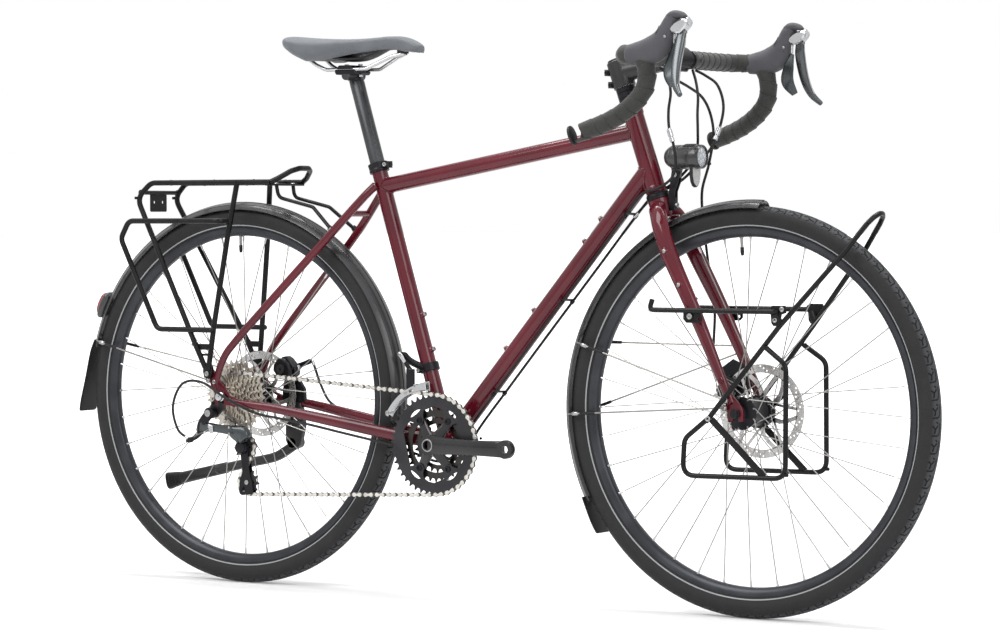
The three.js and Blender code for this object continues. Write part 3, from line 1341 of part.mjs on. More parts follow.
function makeGuards() {
  const rearEnd = at(-27, dropoutInner + dropoutThickness + 2.2, axleHeight + 30);
  const rearOther = rearEnd.clone().setY(-rearEnd.y);
  const rearTail = [at(-341.3, 0, 446.5), at(-349, 0, 424), at(-361, 0, 370), at(-375, 0, 312)];
  const rearFlap = loft(rearTail, [40, 46, 50, 52], [3, 3, 3, 3], { sides: 4, square: true });
  const rear = fuse(guard(rearAxle, ...rearGuardArc), rearFlap, guardStay(rearAxle, 164, rearEnd), guardStay(rearAxle, 164, rearOther));
  add("rear_mudguard", rear, "guardPlastic");
  const tail = guardCrown - 1.6;
  const tailPoint = (a, r) => at(wheelbase + r * Math.cos(a * degree), 0, axleHeight + r * Math.sin(a * degree));
  const frontFlap = loft(
    [tailPoint(206, tail), tailPoint(211, tail + 2), tailPoint(217, tail + 5)], [42, 46, 48], [3, 3, 3], { sides: 4, square: true },
  );
  const stays = [[161, at(1047, -61.8, 371)], [182, at(1044, -61.8, 359)], [161, at(1009, 62.4, 458)], [182, at(1014, 62.4, 449)]];
  const front = fuse(guard(frontAxle, ...frontGuardArc), frontFlap, ...stays.map(([angle, end]) => guardStay(frontAxle, angle, end)));
  add("front_mudguard", front, "guardPlastic");
}

// Rear light on the guard
function makeRearLight() {
  const angle = 153.5 * degree;
  const radial = at(Math.cos(angle), 0, Math.sin(angle));
  const along = at(-Math.sin(angle), 0, Math.cos(angle));
  const place = (r, t, y) => rearAxle.clone().addScaledVector(radial, r).addScaledVector(along, t).setY(y);
  const foot = guardCrown - guardDepth / 2;
  const body = loft([place(foot + 12, -24, 0), place(foot + 13, 0, 0), place(foot + 12, 24, 0)], [32, 36, 30], [23, 26, 22], { sides: 8 });
  const lens = loft([place(foot + 20, -20, 0), place(foot + 21, 0, 0), place(foot + 20, 19, 0)], [24, 28, 23], [14, 15, 13], { sides: 6 });
  const under = guard(rearAxle, ...rearGuardArc, fitGap, guardDepth * 2);
  add("rear_light", largest(cut(fuse(body, lens), under)), "redLens");
}

// Racks: bent tube, welded where the tubes meet
const rackTube = 5;
const frontRackTube = 4.4;
const platformZ = 744;
const platformHalf = 50;

function makeRearRack() {
  const side = (s) => {
    const p = (x, y, z) => at(x, s * y, z);
    const main = tube(rounded([
      p(98, platformHalf, platformZ), p(-176, 53, platformZ), p(-206, 57, 716), p(-53, 81, 446), p(-28, 79, 396),
    ], 24), rackTube);
    const front = tube([p(23, platformHalf + 1, platformZ), p(10, 62, 650), p(-14, 75, 478), p(-24, 79, 398)], rackTube);
    const loop = tube(rounded([
      p(11, 60, 672), p(6, 84, 673), p(-205, 84, 673), p(-224, 84, 640), p(-139, 84, 472), p(-12, 82, 472), p(-14, 76, 472),
    ], 18), rackTube);
    const foot = plate([[-34, 384], [-20, 384], [-16, 404], [-24, 412], [-36, 402]], 6, s > 0 ? 73.8 : -79.8);
    return fuse(main, front, loop, foot);
  };
  const cross = (x, z, half) => rod(at(x, -half, z), at(x, half, z), rackTube - 1, { sides: wireSides });
  const hoop = tube([
    at(98, -platformHalf, platformZ), at(112, -44, 751), at(130, -30, 764), at(138, -14, 769),
    at(138, 14, 769), at(130, 30, 764), at(112, 44, 751), at(98, platformHalf, platformZ),
  ], rackTube);
  const lightPlate = box(at(-202, -24, 690), at(-199, 24, 726));
  const frontPlate = box(at(84, -platformHalf, 737), at(104, platformHalf, 741));
  const strut = (s) => tube([at(94, s * 26, 739), at(98, s * 25, 716), at(176, s * 26, 698), at(227, s * 38, 655)], 3.6);
  const arms = fuse(strut(1), strut(-1));
  const stays = fuse(
    stay(seatStayPlaces, seatStayPlaces.map(() => 2 * stayRadius + 2 * fitGap), seatStayPlaces.map(() => 2 * stayRadius + 2 * fitGap)),
    dropoutAround(),
  );
  const body = fuse(
    side(1), side(-1), hoop, cross(-198, 726, 57), cross(-130, platformZ, 52), cross(-30, platformZ, 51), cross(60, platformZ, 50),
    lightPlate, frontPlate, arms,
  );
  add("rear_rack", cut(body, stays, mirrored(stays)), "blackPaint");
}

function dropoutAround() {
  return box(at(-60, -dropoutInner - dropoutThickness - fitGap, axleHeight - 20), at(60, -dropoutInner + fitGap, axleHeight + 60));
}

function makeFrontRack() {
  const side = (s) => {
    const p = (x, y, z) => at(x, s * y, z);
    const loop = tube(rounded([
      p(1026, 74, 346), p(976, 76, 306), p(972, 76, 244), p(1166, 76, 246), p(1166, 74, 434), p(1126, 69, 462),
    ], 22), frontRackTube);
    const strut = tube([p(1016, 75, 335), p(1149, 64, 498), p(1257, 36, 624), p(1290, 24, 668)], frontRackTube);
    const diagonal = loft([p(1027, 75, 340), p(1126, 75, 247)], [3, 3], [12, 12], { sides: 4, square: true });
    const bar = tube(rounded([p(914, 76, 540), p(908, 76, 522), p(1146, 74, 522)], 8), frontRackTube);
    const bracket = plate([[1130, 532], [1156, 516], [1150, 500], [1136, 500]], 5, s > 0 ? 66 : -71);
    const tieBlock = loft([p(1142, 70, 518), p(1150, 64, 502)], [12, 8], [14, 12], { sides: 6 });
    const clampPad = plate([[972, 526], [1000, 526], [1000, 502], [974, 502]], 5, s > 0 ? 70 : -75);
    const clampBolt = rod(p(986, 72, 512), p(984, 50, 512), 8, { sides: 8 });
    return fuse(loop, strut, diagonal, bar, bracket, tieBlock, clampPad, clampBolt);
  };
  const top = tube([
    at(1290, -24, 668), at(1298, -17, 678), at(1303, -6, 684), at(1303, 6, 684), at(1298, 17, 678), at(1290, 24, 668),
  ], frontRackTube);
  const blades = [blade(-1, 2 * fitGap), blade(1, 2 * fitGap)];
  add("front_rack", cut(fuse(side(1), side(-1), top), ...blades), "blackPaint");
}

// Kickstand under the left chain stay
const kickPivot = at(64, 78, 258);

function makeKickstand() {
  const outline = [[50, 300], [54, 334], [84, 334], [92, 288], [84, 256], [74, 246], [58, 248], [50, 262]];
  const stays = mirrored(stay(chainStayPlaces, chainStayWides.map((w) => w + 2 * fitGap), chainStayTalls.map((t) => t + 2 * fitGap)));
  const mount = cut(plate(outline, 11, 59), stays);
  add("kickstand_mount", largest(mount), "blackPaint");
  const head = rod(kickPivot.clone().setY(70 + fitGap), kickPivot.clone().setY(88), 11, { sides: 12 });
  const upper = tube([kickPivot.clone().setY(80), at(12, 81, 229), at(-118, 84, 201)], 9.5, { sides: 8 });
  const lower = tube([at(-100, 84, 205), at(-238, 87, 174)], 8, { sides: 8 });
  const foot = rod(at(-232, 87, 176), at(-246, 87, 171), 11, { sides: 10 });
  add("kickstand_leg", fuse(head, upper, lower, foot), "blackPaint");
}

// Cable housings: hand-laid routes
const housing = 2.4;
const rearBrakeRun = [
  [923.5, 48, 930.9], [934, 40, 912], [946, 26, 885], [950, 17, 855], [950, 18, 826], [945, 26, 800], [935, 29, 775], [912, 30, 750],
  [888, 26, 731], [862, 21, 717], [828, 19, 680], [760, 18, 600], [700, 18, 530], [640, 18, 460], [560, 18, 366],
  [505, 20, 302], [484, 24, 272], [470, 28, 252], [440, 33, 243], [400, 37, 257], [372, 44, 277], [330, 50, 288],
  [258, 61.5, 303], [180, 70, 320], [140, 75.5, 337], [118, 79.5, 366], [110, 79.5, 392],
];
const shiftRuns = [
  [
    [923.5, 58, 930.9], [940, 62, 922], [964, 62, 905], [977, 60, 870], [973, 55, 833], [963, 46, 800], [940, 35, 768],
    [914, 30, 743], [888, 27, 729], [862, 22, 715], [828, 15, 680],
  ],
  [
    [923.5, -50, 930.9], [928, -44, 910], [930, -41, 888], [926, -41, 860], [927, -41, 830], [934, -38, 800], [935, -33, 768], [926, -29, 746],
    [900, -26, 729], [862, -21, 717], [828, -19, 680], [760, -18, 600], [700, -18, 530], [640, -18, 460], [560, -18, 366],
    [505, -18, 300], [484, -18, 270], [468, -17, 250], [440, -16, 243], [410, -20, 251], [372, -29, 265], [330, -37.5, 275],
    [258, -47, 289], [180, -56, 304], [120, -62, 313], [75, -72, 322], [20, -90, 350], [-30, -92, 376], [-76, -90, 372],
    [-100, -88, 330], [-90, -86, 286], [-66, -84, 269],
  ],
];

function makeCables(frontArmTip, rearArmTip) {
  const lay = (places) => smooth(places.map(([x, y, z]) => at(x, y, z)), Math.round(places.length * 1.15));
  const clips = [[828, 681], [700, 531], [560, 367]].map(([x, z]) => rod(at(x, -19, z), at(x, 19, z), 2.2, { sides: 6 }));
  const rearBrake = [...rearBrakeRun.slice(0, -1), [rearArmTip.x + 6, rearArmTip.y, rearArmTip.z + 1]];
  const body = fuse(tube(lay(rearBrake), housing, { sides: 4 }), ...shiftRuns.map((run) => tube(lay(run), housing, { sides: 4 })), ...clips);
  add("cables", body, "rubber");
  const frontBrakeRun = [
    [923.5, -68, 930.9], [944, -60, 914], [956, -22, 898], [960, 16, 882], [961, 42, 856], [962, 52, 820], [950, 58, 770], [934, 62, 720], [938, 65, 650],
    [946, 65.5, 590], [957, 65.5, 520], [955, 65.5, 450], [frontArmTip.x - 1, frontArmTip.y, frontArmTip.z + 5.6],
  ];
  add("front_brake_cable", tube(lay(frontBrakeRun), housing, { sides: 4 }), "rubber");
}

makeMainTubes();
makeRearTriangle();
makeSeat();
const rearRotorY = makeWheel(rearHub, rearAxle);
const frontRotorY = makeWheel(frontHub, frontAxle);
makeChain();
makeCassette();
makeCrank();
makeFrontDerailleur();
makeRearDerailleur();
makeFork();
makeCockpit();
makeLevers();
makeLamp();
makeGuards();
makeRearLight();
makeRearRack();
makeFrontRack();
makeKickstand();

const rearFoot = fuse(
  plate([[42, 338], [96, 334], [92, 376], [62, 388], [46, 372]], 8, 59),
);
const rearStays = fuse(
  mirrored(stay(chainStayPlaces, chainStayWides.map((w) => w + 2 * fitGap), chainStayTalls.map((t) => t + 2 * fitGap))),
  mirrored(dropoutAround()),
);
const rearArm = caliper("rear_caliper", rearAxle, rearRotorY, 41 * degree, rearFoot, 20 * degree, [rearStays]);
const frontFoot = plate([[976, 372], [1036, 376], [1030, 424], [1004, 436], [980, 420]], 6.5, 42.3);
const frontArm = caliper("front_caliper", frontAxle, frontRotorY, 149 * degree, frontFoot, 200 * degree, [blade(1, 2 * fitGap)]);
makeCables(frontArm.tip, rearArm.tip);

const model = new THREE.Group();
const span = new THREE.Box3().setFromObject(bicycle);
bicycle.position.x = -(span.min.x + span.max.x) / 2;
model.add(bicycle);

export default model;
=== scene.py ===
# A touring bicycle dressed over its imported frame: paint, alloy, rubber, tape and all the small parts.
# Places are millimetres forward of the rear axle, to the rider's left, and above the ground.
import json
import math

import bmesh
import bpy
from mathutils import Matrix, Vector
from mathutils.geometry import tessellate_polygon


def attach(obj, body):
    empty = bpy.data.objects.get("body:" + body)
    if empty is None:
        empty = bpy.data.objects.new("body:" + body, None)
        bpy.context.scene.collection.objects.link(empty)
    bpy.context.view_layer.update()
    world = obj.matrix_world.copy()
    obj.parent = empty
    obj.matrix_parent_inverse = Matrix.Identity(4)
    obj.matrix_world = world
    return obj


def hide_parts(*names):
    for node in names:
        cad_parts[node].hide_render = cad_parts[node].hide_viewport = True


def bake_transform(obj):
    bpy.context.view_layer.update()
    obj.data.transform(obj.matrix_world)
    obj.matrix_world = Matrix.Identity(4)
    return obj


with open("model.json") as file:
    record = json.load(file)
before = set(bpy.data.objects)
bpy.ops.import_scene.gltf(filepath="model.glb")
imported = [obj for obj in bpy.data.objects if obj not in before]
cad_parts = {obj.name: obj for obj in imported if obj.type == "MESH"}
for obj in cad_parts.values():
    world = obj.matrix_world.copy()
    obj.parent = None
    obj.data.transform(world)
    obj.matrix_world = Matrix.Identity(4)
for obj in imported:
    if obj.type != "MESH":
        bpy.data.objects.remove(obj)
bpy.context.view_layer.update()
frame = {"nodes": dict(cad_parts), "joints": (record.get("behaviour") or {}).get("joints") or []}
joints = {joint["name"]: joint for joint in frame["joints"]}
axleSpot = Vector(joints["rear_wheel_spin"]["pos_m"])
print("frame loaded:", len(frame["nodes"]), "nodes")


def place(point):                       # from the bicycle's millimetres to the scene
    return Vector((axleSpot.x + point[0] / 1000, point[1] / 1000, point[2] / 1000))


def pivot(name):                        # a joint's place in the bicycle's millimetres
    spot = joints[name]["pos_m"]
    return Vector(((spot[0] - axleSpot.x) * 1000, spot[1] * 1000, spot[2] * 1000))


bike = {
    "wheelbase": 1062, "tyreRadius": 349, "axleHeight": 349, "seatAngle": 73.1, "headAngle": 71,
    "bottomBracket": (453.5, 0, 275.3), "headFoot": (880.5, 0, 720), "chainPitch": 12.7,
}
rearAxle = Vector((0, 0, bike["axleHeight"]))
frontAxle = Vector((bike["wheelbase"], 0, bike["axleHeight"]))
crankAxle = Vector(bike["bottomBracket"])
seatAngle = math.radians(bike["seatAngle"])
headAngle = math.radians(bike["headAngle"])
seatWay = Vector((-math.cos(seatAngle), 0, math.sin(seatAngle)))
headWay = Vector((-math.cos(headAngle), 0, math.sin(headAngle)))
across = Vector((0, 1, 0))
seatFront = Vector((seatWay.z, 0, -seatWay.x))          # square to the seat tube


def onSeat(distance):
    return crankAxle + seatWay * distance


def onHead(distance):
    return Vector(bike["headFoot"]) + headWay * distance


def sideOf(point, side):                # side is -1 on the drive side and 1 on the other
    return Vector((point[0], side * point[1], point[2]))


def polar(centre, radius, angle, y=0.0):
    return Vector((centre[0] + radius * math.cos(angle), y, centre[2] + radius * math.sin(angle)))


# Runs of points

def bend(points, radius, steps=7):      # corners become arcs
    points = [Vector(point) for point in points]
    run = [points[0]]
    for before, corner, after in zip(points, points[1:], points[2:]):
        back, ahead = before - corner, after - corner
        turn = math.pi - back.angle(ahead)
        if turn < 0.02:
            run.append(corner)
            continue
        room = min(back.length, ahead.length) * 0.49
        reach = min(radius * math.tan(turn / 2), room)
        start = corner + back.normalized() * reach
        end = corner + ahead.normalized() * reach
        for step in range(steps + 1):
            share = step / steps
            first = start.lerp(corner, share)
            run.append(first.lerp(corner.lerp(end, share), share))
    run.append(points[-1])
    return run


def flow(points, steps=6):              # a smooth line through the points
    points = [Vector(point) for point in points]
    ends = [points[0] * 2 - points[1], *points, points[-1] * 2 - points[-2]]
    run = []
    for a, b, c, d in zip(ends, ends[1:], ends[2:], ends[3:]):
        reach = (c - b).length
        inWay = (c - a) * (reach / max((b - a).length + reach, 1e-6))
        outWay = (d - b) * (reach / max((d - c).length + reach, 1e-6))
        for step in range(steps):
            t = step / steps
            run.append(b * (2 * t ** 3 - 3 * t ** 2 + 1) + inWay * (t ** 3 - 2 * t ** 2 + t)
                       + c * (3 * t ** 2 - 2 * t ** 3) + outWay * (t ** 3 - t ** 2))
    run.append(points[-1])
    return run


def flowNumbers(values, steps=6):       # the same for a list of sizes
    return [spot.x for spot in flow([(value, i * 10.0, 0) for i, value in enumerate(values)], steps)]


def flowPairs(wides, talls, steps):     # half widths and half heights together, for a sweep
    return list(zip(flowNumbers(wides, steps), flowNumbers(talls, steps)))


def flowHalves(wides, talls, steps):    # the same from whole widths and heights
    return [(wide / 2, tall / 2) for wide, tall in flowPairs(wides, talls, steps)]


def ringOf(count, radius, centre=(0, 0), start=0.0):
    return [(centre[0] + radius * math.cos(start + 2 * math.pi * k / count),
             centre[1] + radius * math.sin(start + 2 * math.pi * k / count)) for k in range(count)]


def notched(count, first, second, centre, every=2):     # a ring that steps between two radii
    loop = []
    for k in range(count):
        angle = 2 * math.pi * k / count
        reach = first if k % every < every / 2 else second
        loop.append((centre.x + reach * math.cos(angle), centre.z + reach * math.sin(angle)))
    return loop


def shrink(loop, distance):             # a flat outline moved inwards, or outwards if less than zero
    area = sum(a[0] * b[1] - b[0] * a[1] for a, b in zip(loop, loop[1:] + loop[:1]))
    turn = 1 if area > 0 else -1
    moved = []
    for before, here, after in zip(loop[-1:] + loop[:-1], loop, loop[1:] + loop[:1]):
        first = Vector((here[0] - before[0], here[1] - before[1])).normalized()
        second = Vector((after[0] - here[0], after[1] - here[1])).normalized()
        normal = Vector((-(first.y + second.y), first.x + second.x))
        if normal.length < 1e-6:
            normal = Vector((-first.y, first.x))
        normal.normalize()
        spread = max(normal.dot(Vector((-first.y, first.x))), 0.4)
        moved.append((here[0] + turn * normal.x * distance / spread,
                      here[1] + turn * normal.y * distance / spread))
    return moved


def frames(run, lead=None):             # the point, side and rise at each step of a run
    out = []
    side = None
    for i, here in enumerate(run):
        way = (run[min(i + 1, len(run) - 1)] - run[max(i - 1, 0)]).normalized()
        guide = lead if lead is not None else side
        if guide is None:
            guide = across if abs(way.y) < 0.9 else Vector((0, 0, 1))
        side = (guide - way * guide.dot(way)).normalized()
        out.append((here, side, way.cross(side)))
    return out


class Shape:                            # a heap of closed skins in millimetres
    def __init__(self):
        self.points = []
        self.faces = []
        self.marks = []
        self.mark = 0

    def take(self, points, faces):
        base = len(self.points)
        self.points += [Vector(point) for point in points]
        self.faces += [tuple(base + i for i in face) for face in faces]
        self.marks += [self.mark] * len(faces)
        return self

    def join(self, other, side=1):      # another shape, mirrored when side is -1
        base = len(self.points)
        self.points += [sideOf(point, side) for point in other.points]
        for face in other.faces:
            self.faces.append(tuple(base + i for i in (face if side > 0 else reversed(face))))
        self.marks += other.marks
        return self

    def skin(self, rings, looped=False, capped=True):
        count = len(rings[0])
        total = len(rings)
        faces = []
        for i in range(total if looped else total - 1):
            j = (i + 1) % total
            for k in range(count):
                n = (k + 1) % count
                faces.append((i * count + k, i * count + n, j * count + n, j * count + k))
        if capped and not looped:
            faces.append(tuple(reversed(range(count))))
            faces.append(tuple((total - 1) * count + k for k in range(count)))
        return self.take([point for ring in rings for point in ring], faces)

    def sweep(self, run, halves, sides=20, lead=None, power=2.0, soft=0.0, looped=False):
        # halves: a radius, or (half width, half height) for each point
        run = [Vector(point) for point in run]
        sizes = halves if isinstance(halves, list) else [halves] * len(run)
        sizes = [size if isinstance(size, tuple) else (size, size) for size in sizes]
        spots = list(zip(frames(run, lead), sizes))
        if soft and not looped:
            ahead = (run[1] - run[0]).normalized() * soft
            behind = (run[-2] - run[-1]).normalized() * soft
            first, last = spots[0], spots[-1]
            thin = lambda spot, move: ((spot[0][0] + move, spot[0][1], spot[0][2]), spot[1])
            slim = lambda spot: (spot[0], tuple(max(size - soft, size * 0.2) for size in spot[1]))
            spots = [slim(first), thin(first, ahead), *spots[1:-1], thin(last, behind), slim(last)]
        rings = []
        for (here, side, rise), (wide, tall) in spots:
            ring = []
            for k in range(sides):
                angle = 2 * math.pi * (k + 0.5) / sides
                c, s = math.cos(angle), math.sin(angle)
                c = math.copysign(abs(c) ** (2 / power), c)
                s = math.copysign(abs(s) ** (2 / power), s)
                ring.append(here + side * (c * wide) + rise * (s * tall))
            rings.append(ring)
        return self.skin(rings, looped)

    def rod(self, a, b, radius, end=None, sides=24, soft=0.5):
        a, b = Vector(a), Vector(b)
        return self.sweep([a, a.lerp(b, 0.5), b], [radius, (radius + (end or radius)) / 2, end or radius],
                          sides, soft=soft)

    def turn(self, foot, way, profile, steps=48, looped=True):     # profile: (radius, distance along)
        foot, way = Vector(foot), Vector(way).normalized()
        side = (across if abs(way.y) < 0.9 else Vector((0, 0, 1))).copy()
        side = (side - way * side.dot(way)).normalized()
        rise = way.cross(side)
        rings = []
        for radius, along in profile:
            rings.append([foot + way * along + side * (radius * math.cos(2 * math.pi * k / steps))
                          + rise * (radius * math.sin(2 * math.pi * k / steps)) for k in range(steps)])
        return self.skin(rings, looped, capped=False)

    def plate(self, outline, low, high, holes=(), soft=0.4, lift=None):
        lift = lift or (lambda x, z, y: (x, y, z))          # how the flat outline stands in space
        loops = [list(outline)] + [list(hole) for hole in holes]
        levels = [(low, soft), (low + soft, 0), (high - soft, 0), (high, soft)]
        grid = []
        for _, inset in levels:
            grid.append([shrink(loop, inset if n == 0 else -inset) for n, loop in enumerate(loops)])
        for n in range(len(loops)):
            rings = [[lift(x, z, level) for x, z in grid[row][n]] for row, (level, _) in enumerate(levels)]
            self.skin(rings, capped=False)
        flat = [[Vector((x, z, 0)) for x, z in loop] for loop in grid[0]]
        for row in (0, 3):
            points = [lift(x, z, levels[row][0]) for loop in grid[row] for x, z in loop]
            self.take(points, [tuple(face) for face in tessellate_polygon(flat)])
        return self

    def block(self, low, high, soft=0.6):
        outline = [(low[0], low[2]), (high[0], low[2]), (high[0], high[2]), (low[0], high[2])]
        return self.plate(outline, low[1], high[1], soft=soft)


def meshOf(name, shape, materials, sharp=38):
    mesh = bpy.data.meshes.new(name)
    mesh.from_pydata([place(point) for point in shape.points], [], shape.faces)
    for material in materials:
        mesh.materials.append(material)
    mesh.polygons.foreach_set("material_index", shape.marks)
    return tidyMesh(mesh, sharp)


def tidyMesh(mesh, sharp=38):
    work = bmesh.new()
    work.from_mesh(mesh)
    bmesh.ops.remove_doubles(work, verts=work.verts, dist=0.000008)
    bmesh.ops.dissolve_degenerate(work, edges=work.edges, dist=0.000004)
    bmesh.ops.recalc_face_normals(work, faces=work.faces)
    for face in work.faces:
        face.smooth = True
    for edge in work.edges:
        edge.smooth = edge.is_manifold and edge.calc_face_angle(0.0) < math.radians(sharp)
    work.to_mesh(mesh)
    work.free()
    return mesh


def shown(name, mesh):
    item = bpy.data.objects.new(name, mesh)
    bpy.context.scene.collection.objects.link(item)
    return item


def dress(item, body, slotName, nodes=()):
    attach(item, body)
    if nodes:
        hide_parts(*nodes)
    return item


def piece(name, shape, materials, body, slotName, nodes=(), sharp=38):
    materials = materials if isinstance(materials, list) else [materials]
    return dress(shown(name, meshOf(name, shape, materials, sharp)), body, slotName, nodes)


# Node trees, for materials and for geometry

class Wire:                             # one output socket that can be reckoned with
    def __init__(self, graph, socket):
        self.graph = graph
        self.socket = socket

    def __add__(self, other):
        return self.graph.maths("ADD", self, other)

    def __sub__(self, other):
        return self.graph.maths("SUBTRACT", self, other)

    def __rsub__(self, other):
        return self.graph.maths("SUBTRACT", other, self)

    def __mul__(self, other):
        return self.graph.maths("MULTIPLY", self, other)

    def __truediv__(self, other):
        return self.graph.maths("DIVIDE", self, other)

    def __pow__(self, other):
        return self.graph.maths("POWER", self, other)

    def __mod__(self, other):
        return self.graph.maths("FLOORED_MODULO", self, other)

    __radd__ = __add__
    __rmul__ = __mul__


class Graph:
    def __init__(self, tree):
        self.tree = tree

    def make(self, kind, settings=None, sockets=None, out=0):
        node = self.tree.nodes.new(kind)
        for key, value in (settings or {}).items():
            if key == "stops":
                ramp = node.color_ramp.elements
                while len(ramp) < len(value):
                    ramp.new(0.5)
                for stop, (position, colour) in zip(ramp, value):
                    stop.position = position
                    stop.color = (*colour, 1)
            else:
                setattr(node, key, value)
        for key, value in (sockets or {}).items():
            socket = node.inputs[key]
            if isinstance(value, Wire):
                self.tree.links.new(value.socket, socket)
            elif value is not None:
                socket.default_value = value
        return Wire(self, node.outputs[out]) if node.outputs else node

    def maths(self, operation, first, second=None):
        sockets = {0: first} if second is None else {0: first, 1: second}
        return self.make("ShaderNodeMath", {"operation": operation}, sockets)

    def mix(self, share, first, second):            # two colours
        return self.make("ShaderNodeMix", {"data_type": "RGBA"}, {0: share, 6: first, 7: second}, 2)

    def noise(self, where, scale, detail=3.0, rough=0.5):
        sockets = {"Vector": where, "Scale": scale, "Detail": detail, "Roughness": rough}
        return self.make("ShaderNodeTexNoise", None, sockets, "Fac")

    # a value brought from one range to another
    def band(self, value, low, high, fromLow=0.0, fromHigh=1.0):
        sockets = {"Value": value, "From Min": fromLow, "From Max": fromHigh, "To Min": low, "To Max": high}
        return self.make("ShaderNodeMapRange", None, sockets)


def linear(red, green, blue):           # a colour as it looks, 0 to 255
    part = lambda value: (value / 255 / 12.92) if value <= 10 else ((value / 255 + 0.055) / 1.055) ** 2.4
    return (part(red), part(green), part(blue), 1)


def finish(name, paint):
    material = bpy.data.materials.new(name)
    material.use_nodes = True
    graph = Graph(material.node_tree)
    shader = material.node_tree.nodes["Principled BSDF"]
    where = graph.make("ShaderNodeTexCoord", None, None, "Object")
    for key, value in paint(graph, where).items():
        if isinstance(value, Wire):
            material.node_tree.links.new(value.socket, shader.inputs[key])
        else:
            shader.inputs[key].default_value = value
    return material


def bumped(graph, height, strength, distance):
    return graph.make("ShaderNodeBump", None, {"Height": height, "Strength": strength,
            "Distance": distance}, "Normal")


# Each paint gives the shader's sockets for one finish

def glossPaint(colour, deep, fleck=0.0, rough=0.22, coat=0.65):
    def paint(graph, where):
        drift = graph.noise(where, 9, 2)
        peel = graph.noise(where, 420, 2)
        grit = graph.noise(where, 2600, 1)
        tone = graph.mix(graph.band(drift, 0, 1, 0.35, 0.65), colour, deep)
        light = graph.band(grit, 0, fleck, 0.58, 0.75)
        glint = tuple(min(1, part * 2.2 + 0.02) for part in colour[:3]) + (1,)
        return {
            "Base Color": graph.mix(light, tone, glint),
            "Roughness": graph.band(graph.noise(where, 60, 4), rough - 0.04, rough + 0.09, 0.3, 0.7),
            "Normal": bumped(graph, peel, 0.05, 0.0006),
            "Coat Weight": coat, "Coat Roughness": 0.05, "Specular IOR Level": 0.1,
        }
    return paint


def satinPaint(colour, rough=0.42, grain=900.0, strength=0.12, metallic=0.0, coat=0.0, shine=0.3):
    def paint(graph, where):
        cloud = graph.noise(where, 22, 4)
        grit = graph.noise(where, grain, 2)
        scuff = graph.band(graph.noise(where, 160, 5, 0.7), 0, 1, 0.66, 0.74)
        pale = tuple(part * 1.9 + 0.012 for part in colour[:3]) + (1,)
        tone = graph.mix(graph.band(cloud, 0, 0.35, 0.4, 0.75), colour, pale)
        return {
            "Base Color": graph.mix(scuff * 0.25, tone, pale),
            "Roughness": graph.band(cloud, rough - 0.07, rough + 0.08, 0.3, 0.7) + scuff * 0.08,
            "Normal": bumped(graph, grit, strength, 0.0004),
            "Metallic": metallic, "Coat Weight": coat, "Coat Roughness": 0.2, "Specular IOR Level": shine,
        }
    return paint


def brushedMetal(colour, rough=0.28, stretch=(60, 900, 60), strength=0.1, tarnish=0.3):
    def paint(graph, where):
        lines = graph.make("ShaderNodeMapping", None, {"Vector": where, "Scale": stretch})
        streak = graph.noise(lines, 6, 4)
        cloud = graph.noise(where, 70, 4)
        dull = tuple(part * 0.62 for part in colour[:3]) + (1,)
        tone = graph.mix(graph.band(cloud, 0, tarnish, 0.45, 0.75), colour, dull)
        return {
            "Base Color": graph.mix(graph.band(streak, 0, 0.25, 0.35, 0.7), tone, dull),
            "Roughness": graph.band(streak, rough - 0.06, rough + 0.12, 0.3, 0.7),
            "Normal": bumped(graph, streak, strength, 0.0003),
            "Metallic": 1.0,
        }
    return paint


def roundBrushed(colour, centre, rough=0.3):        # brushed in rings round an axle
    def paint(graph, where):
        spot = graph.make("ShaderNodeVectorMath", {"operation": "SUBTRACT"}, {0: where, 1: place(centre)})
        parts = graph.make("ShaderNodeSeparateXYZ", None, {"Vector": spot}, "X")
        x, z = parts, Wire(graph, parts.socket.node.outputs["Z"])
        reach = (x * x + z * z) ** 0.5
        rings = graph.make("ShaderNodeCombineXYZ", None, {"X": reach * 2600})
        streak = graph.noise(rings, 1, 2)
        cloud = graph.noise(where, 120, 3)
        dull = tuple(part * 0.6 for part in colour[:3]) + (1,)
        return {
            "Base Color": graph.mix(graph.band(streak, 0, 0.4, 0.3, 0.7), colour, dull),
            "Roughness": graph.band(cloud, rough - 0.05, rough + 0.1, 0.3, 0.7),
            "Normal": bumped(graph, streak, 0.15, 0.0002),
            "Metallic": 1.0,
        }
    return paint


def softRubber(colour, rough=0.62, grain=700.0, strength=0.35, dust=0.25, sheen=0.0):
    def paint(graph, where):
        grit = graph.noise(where, grain, 3, 0.6)
        cloud = graph.noise(where, 35, 5, 0.6)
        pale = tuple(part * 0.75 + 0.05 for part in colour[:3]) + (1,)
        return {
            "Base Color": graph.mix(graph.band(cloud, 0, dust, 0.45, 0.8), colour, pale),
            "Roughness": graph.band(cloud, rough - 0.06, rough + 0.12, 0.3, 0.7),
            "Normal": bumped(graph, grit, strength, 0.0004),
            "Sheen Weight": sheen, "Sheen Roughness": 0.5, "Specular IOR Level": 0.25,
        }
    return paint


